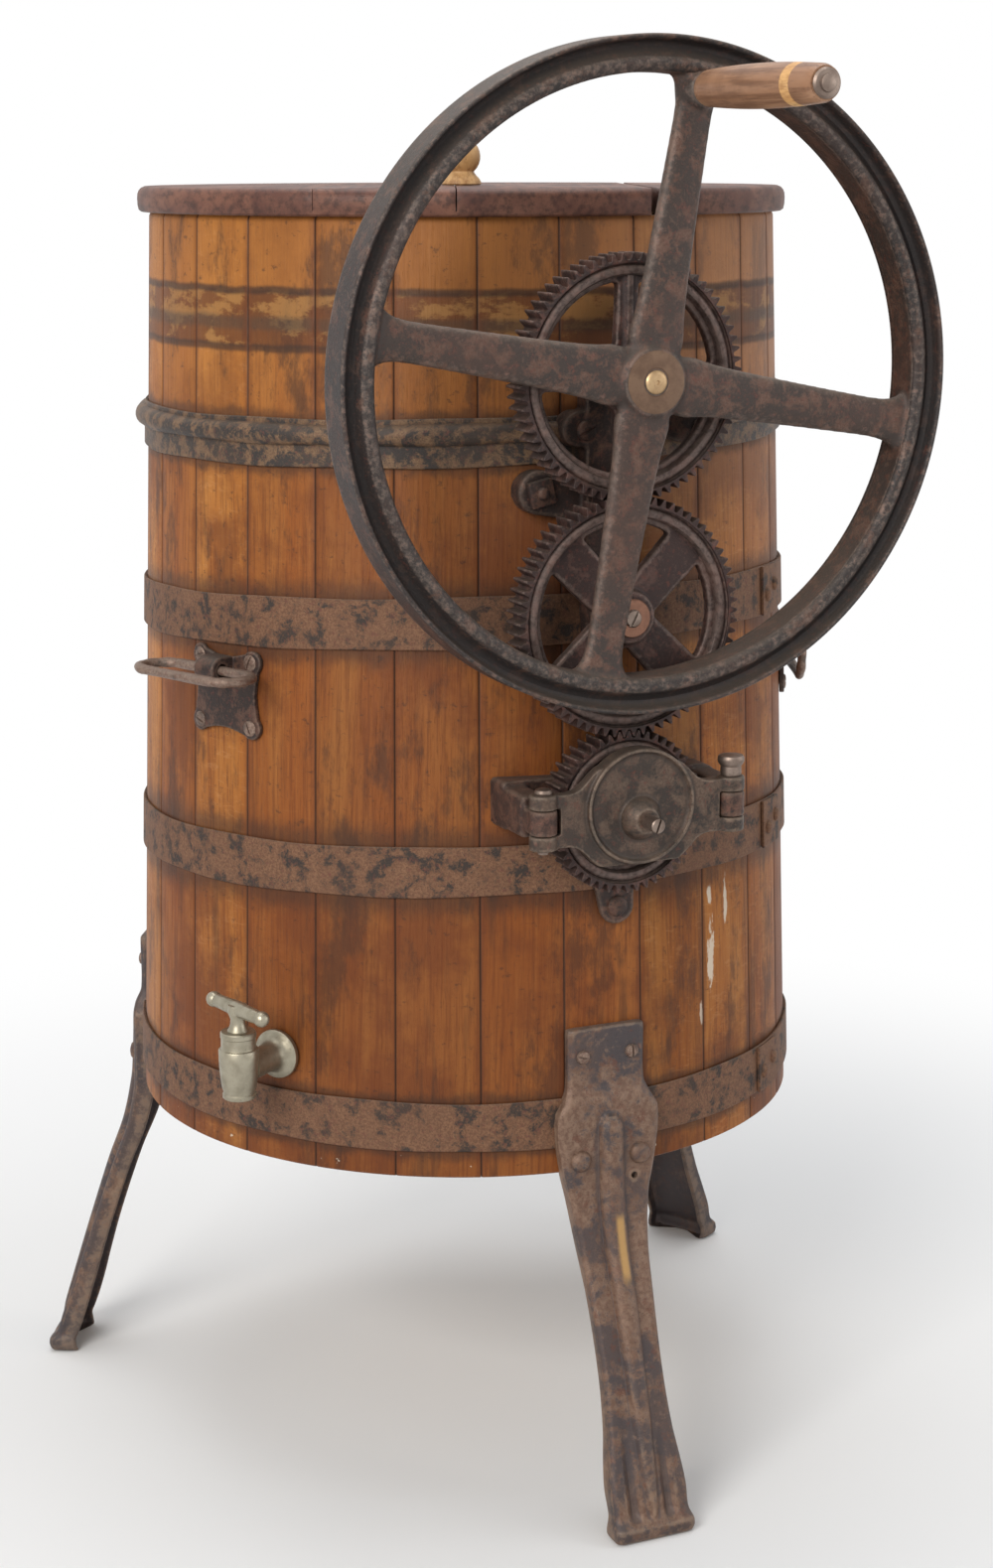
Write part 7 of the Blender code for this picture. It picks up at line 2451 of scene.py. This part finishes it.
@dataclass(frozen=True)
class StudioLight:
    """Soft rectangular light."""

    name: str
    place: tuple[float, float, float]
    aim: tuple[float, float, float]
    size: Point
    power: float
    colour: Colour = (1.0, 1.0, 1.0)

    def build(self) -> None:
        """Add the light."""
        deselect()
        bpy.ops.object.light_add(type="AREA", location=self.place)
        lamp = bpy.context.object
        lamp.name = self.name
        lamp.data.shape = "RECTANGLE"
        lamp.data.size, lamp.data.size_y = self.size
        lamp.data.energy = self.power
        lamp.data.color = self.colour
        lamp.rotation_euler = (Vector(self.aim) - Vector(self.place)).to_track_quat("-Z", "Y").to_euler()
        lamp.location += AXIS.translation


@dataclass
class Studio:
    """Camera, floor, background and lights."""

    distance: float = 2.2846
    height: float = 1.0473
    round_to: float = 23.2994
    yaw: float = 0.6984
    pitch: float = 12.9001
    roll: float = -0.0957
    lens: float = 99.45
    floor_size: float = 60.0

    def build(self) -> None:
        """Set the stage."""
        scene = bpy.context.scene
        scene.view_settings.view_transform = "Standard"
        self._camera(scene)
        self._world(scene)
        deselect()
        bpy.ops.mesh.primitive_plane_add(size=self.floor_size)
        floor = bpy.context.object
        floor.name = "studio_floor"
        floor.data.materials.append(PlainFloor().material())
        aim = (0.0, -0.1, 0.6)
        for light in (StudioLight("key", (-3.3, -2.7, 2.7), aim, (2.2, 2.2), 150.0, (1.0, 0.98, 0.95)),
                      StudioLight("fill", (3.2, -2.4, 1.6), aim, (2.4, 2.4), 30.0, (0.98, 0.99, 1.0)),
                      StudioLight("top", (0.2, 0.4, 3.4), (0.0, 0.0, 0.9), (2.2, 2.2), 48.0)):
            light.build()

    def _camera(self, scene: bpy.types.Scene) -> None:
        """Camera at the photograph's place and angle.

        Args:
            scene: The scene that it films.
        """
        turn = math.radians(self.round_to)
        place = Vector((-math.sin(turn) * self.distance, -math.cos(turn) * self.distance, self.height))
        forward = Vector((math.sin(turn), math.cos(turn), 0.0))
        right = Vector((math.cos(turn), -math.sin(turn), 0.0))
        yaw, pitch, roll = (math.radians(v) for v in (self.yaw, self.pitch, self.roll))
        ahead = forward * math.cos(yaw) + right * math.sin(yaw)
        right = right * math.cos(yaw) - forward * math.sin(yaw)
        up = Vector((0.0, 0.0, 1.0))
        look = ahead * math.cos(pitch) - up * math.sin(pitch)
        up = up * math.cos(pitch) + ahead * math.sin(pitch)
        side = right * math.cos(roll) + up * math.sin(roll)
        up = up * math.cos(roll) - right * math.sin(roll)
        deselect()
        bpy.ops.object.camera_add()
        camera = bpy.context.object
        axes = Matrix((side, up, -look)).transposed().to_4x4()
        camera.matrix_world = AXIS @ Matrix.Translation(place) @ axes
        camera.data.sensor_fit = "HORIZONTAL"
        camera.data.sensor_width = 36.0
        camera.data.lens = self.lens
        scene.camera = camera

    def _world(self, scene: bpy.types.Scene) -> None:
        """Soft grey surroundings that look white to the camera.

        Args:
            scene: The scene that they light.
        """
        world = bpy.data.worlds.new("studio")
        world.use_nodes = True
        scene.world = world
        tree = world.node_tree
        back = tree.nodes["Background"]
        white = tree.nodes.new("ShaderNodeBackground")
        white.inputs["Color"].default_value = (1.0, 1.0, 1.0, 1.0)
        white.inputs["Strength"].default_value = 1.0
        back.inputs["Color"].default_value = (0.93, 0.96, 1.0, 1.0)
        back.inputs["Strength"].default_value = 0.42
        mix = tree.nodes.new("ShaderNodeMixShader")
        tree.links.new(seen_directly(tree), mix.inputs["Fac"])
        tree.links.new(back.outputs["Background"], mix.inputs[1])
        tree.links.new(white.outputs["Background"], mix.inputs[2])
        tree.links.new(mix.outputs["Shader"], tree.nodes["World Output"].inputs["Surface"])


def write_sizes() -> None:
    """Bring every piece's place up to date in the view layer."""
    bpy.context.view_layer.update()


def main() -> None:
    """Build every sub-assembly in order, then the studio."""
    logging.basicConfig(level=logging.INFO, format="%(name)s: %(message)s")
    finishes = Finishes()
    barrel = Barrel(finishes)
    wheel = Flywheel(finishes)
    pieces: list[SubAssembly] = [
        barrel,
        Hoop(finishes, barrel=barrel, node="rim_hoop", low=0.8255, height=0.036, lean=(0.025, 0.0),
             beaded=True),
        Hoop(finishes, barrel=barrel, node="upper_hoop", low=0.678, lean=(0.010, -0.045)),
        Hoop(finishes, barrel=barrel, node="lower_hoop", low=0.490, lean=(0.008, -0.035), lap=-47.0),
        Hoop(finishes, barrel=barrel, node="foot_hoop", low=0.2952, lap=-50.0),
        Lid(finishes),
        UpperBracket(finishes, barrel=barrel),
        DriveGear(finishes, name="drive", node="drive_gear", body=Body.FLYWHEEL, z=CRANK_Z, phase=-90.0),
        FlatGear(finishes, name="idler", node="idler_gear", body=Body.IDLER, z=IDLER_Z,
                 phase=90.0 + 180.0 / 70, hub=0.020, hub_front=0.013, half_arm=0.017),
        FlatGear(finishes, name="dasher", node="dasher_gear", body=Body.DASHER, z=DASHER_Z, phase=90.0,
                 teeth=48, hub=0.017, hub_front=0.0161, bore=0.009, half_arm=0.009),
        IdlerStud(finishes),
        wheel,
        Grip(finishes, wheel=wheel),
        Yoke(finishes, barrel=barrel),
        Tap(finishes, barrel=barrel),
        CarryingHandle(finishes, barrel=barrel, side=Side.LEFT),
        CarryingHandle(finishes, barrel=barrel, side=Side.RIGHT),
        Dasher(finishes),
    ]
    for number, angle in enumerate((-90.0, 150.0, 30.0), start=1):
        pieces.append(Leg(finishes, barrel=barrel, number=number, angle=angle))
    for piece in pieces:
        piece.build()
        LOG.info("%s made %d pieces", type(piece).__name__, len(piece.made))
    Studio().build()
    write_sizes()


if __name__ == "__main__":
    main()
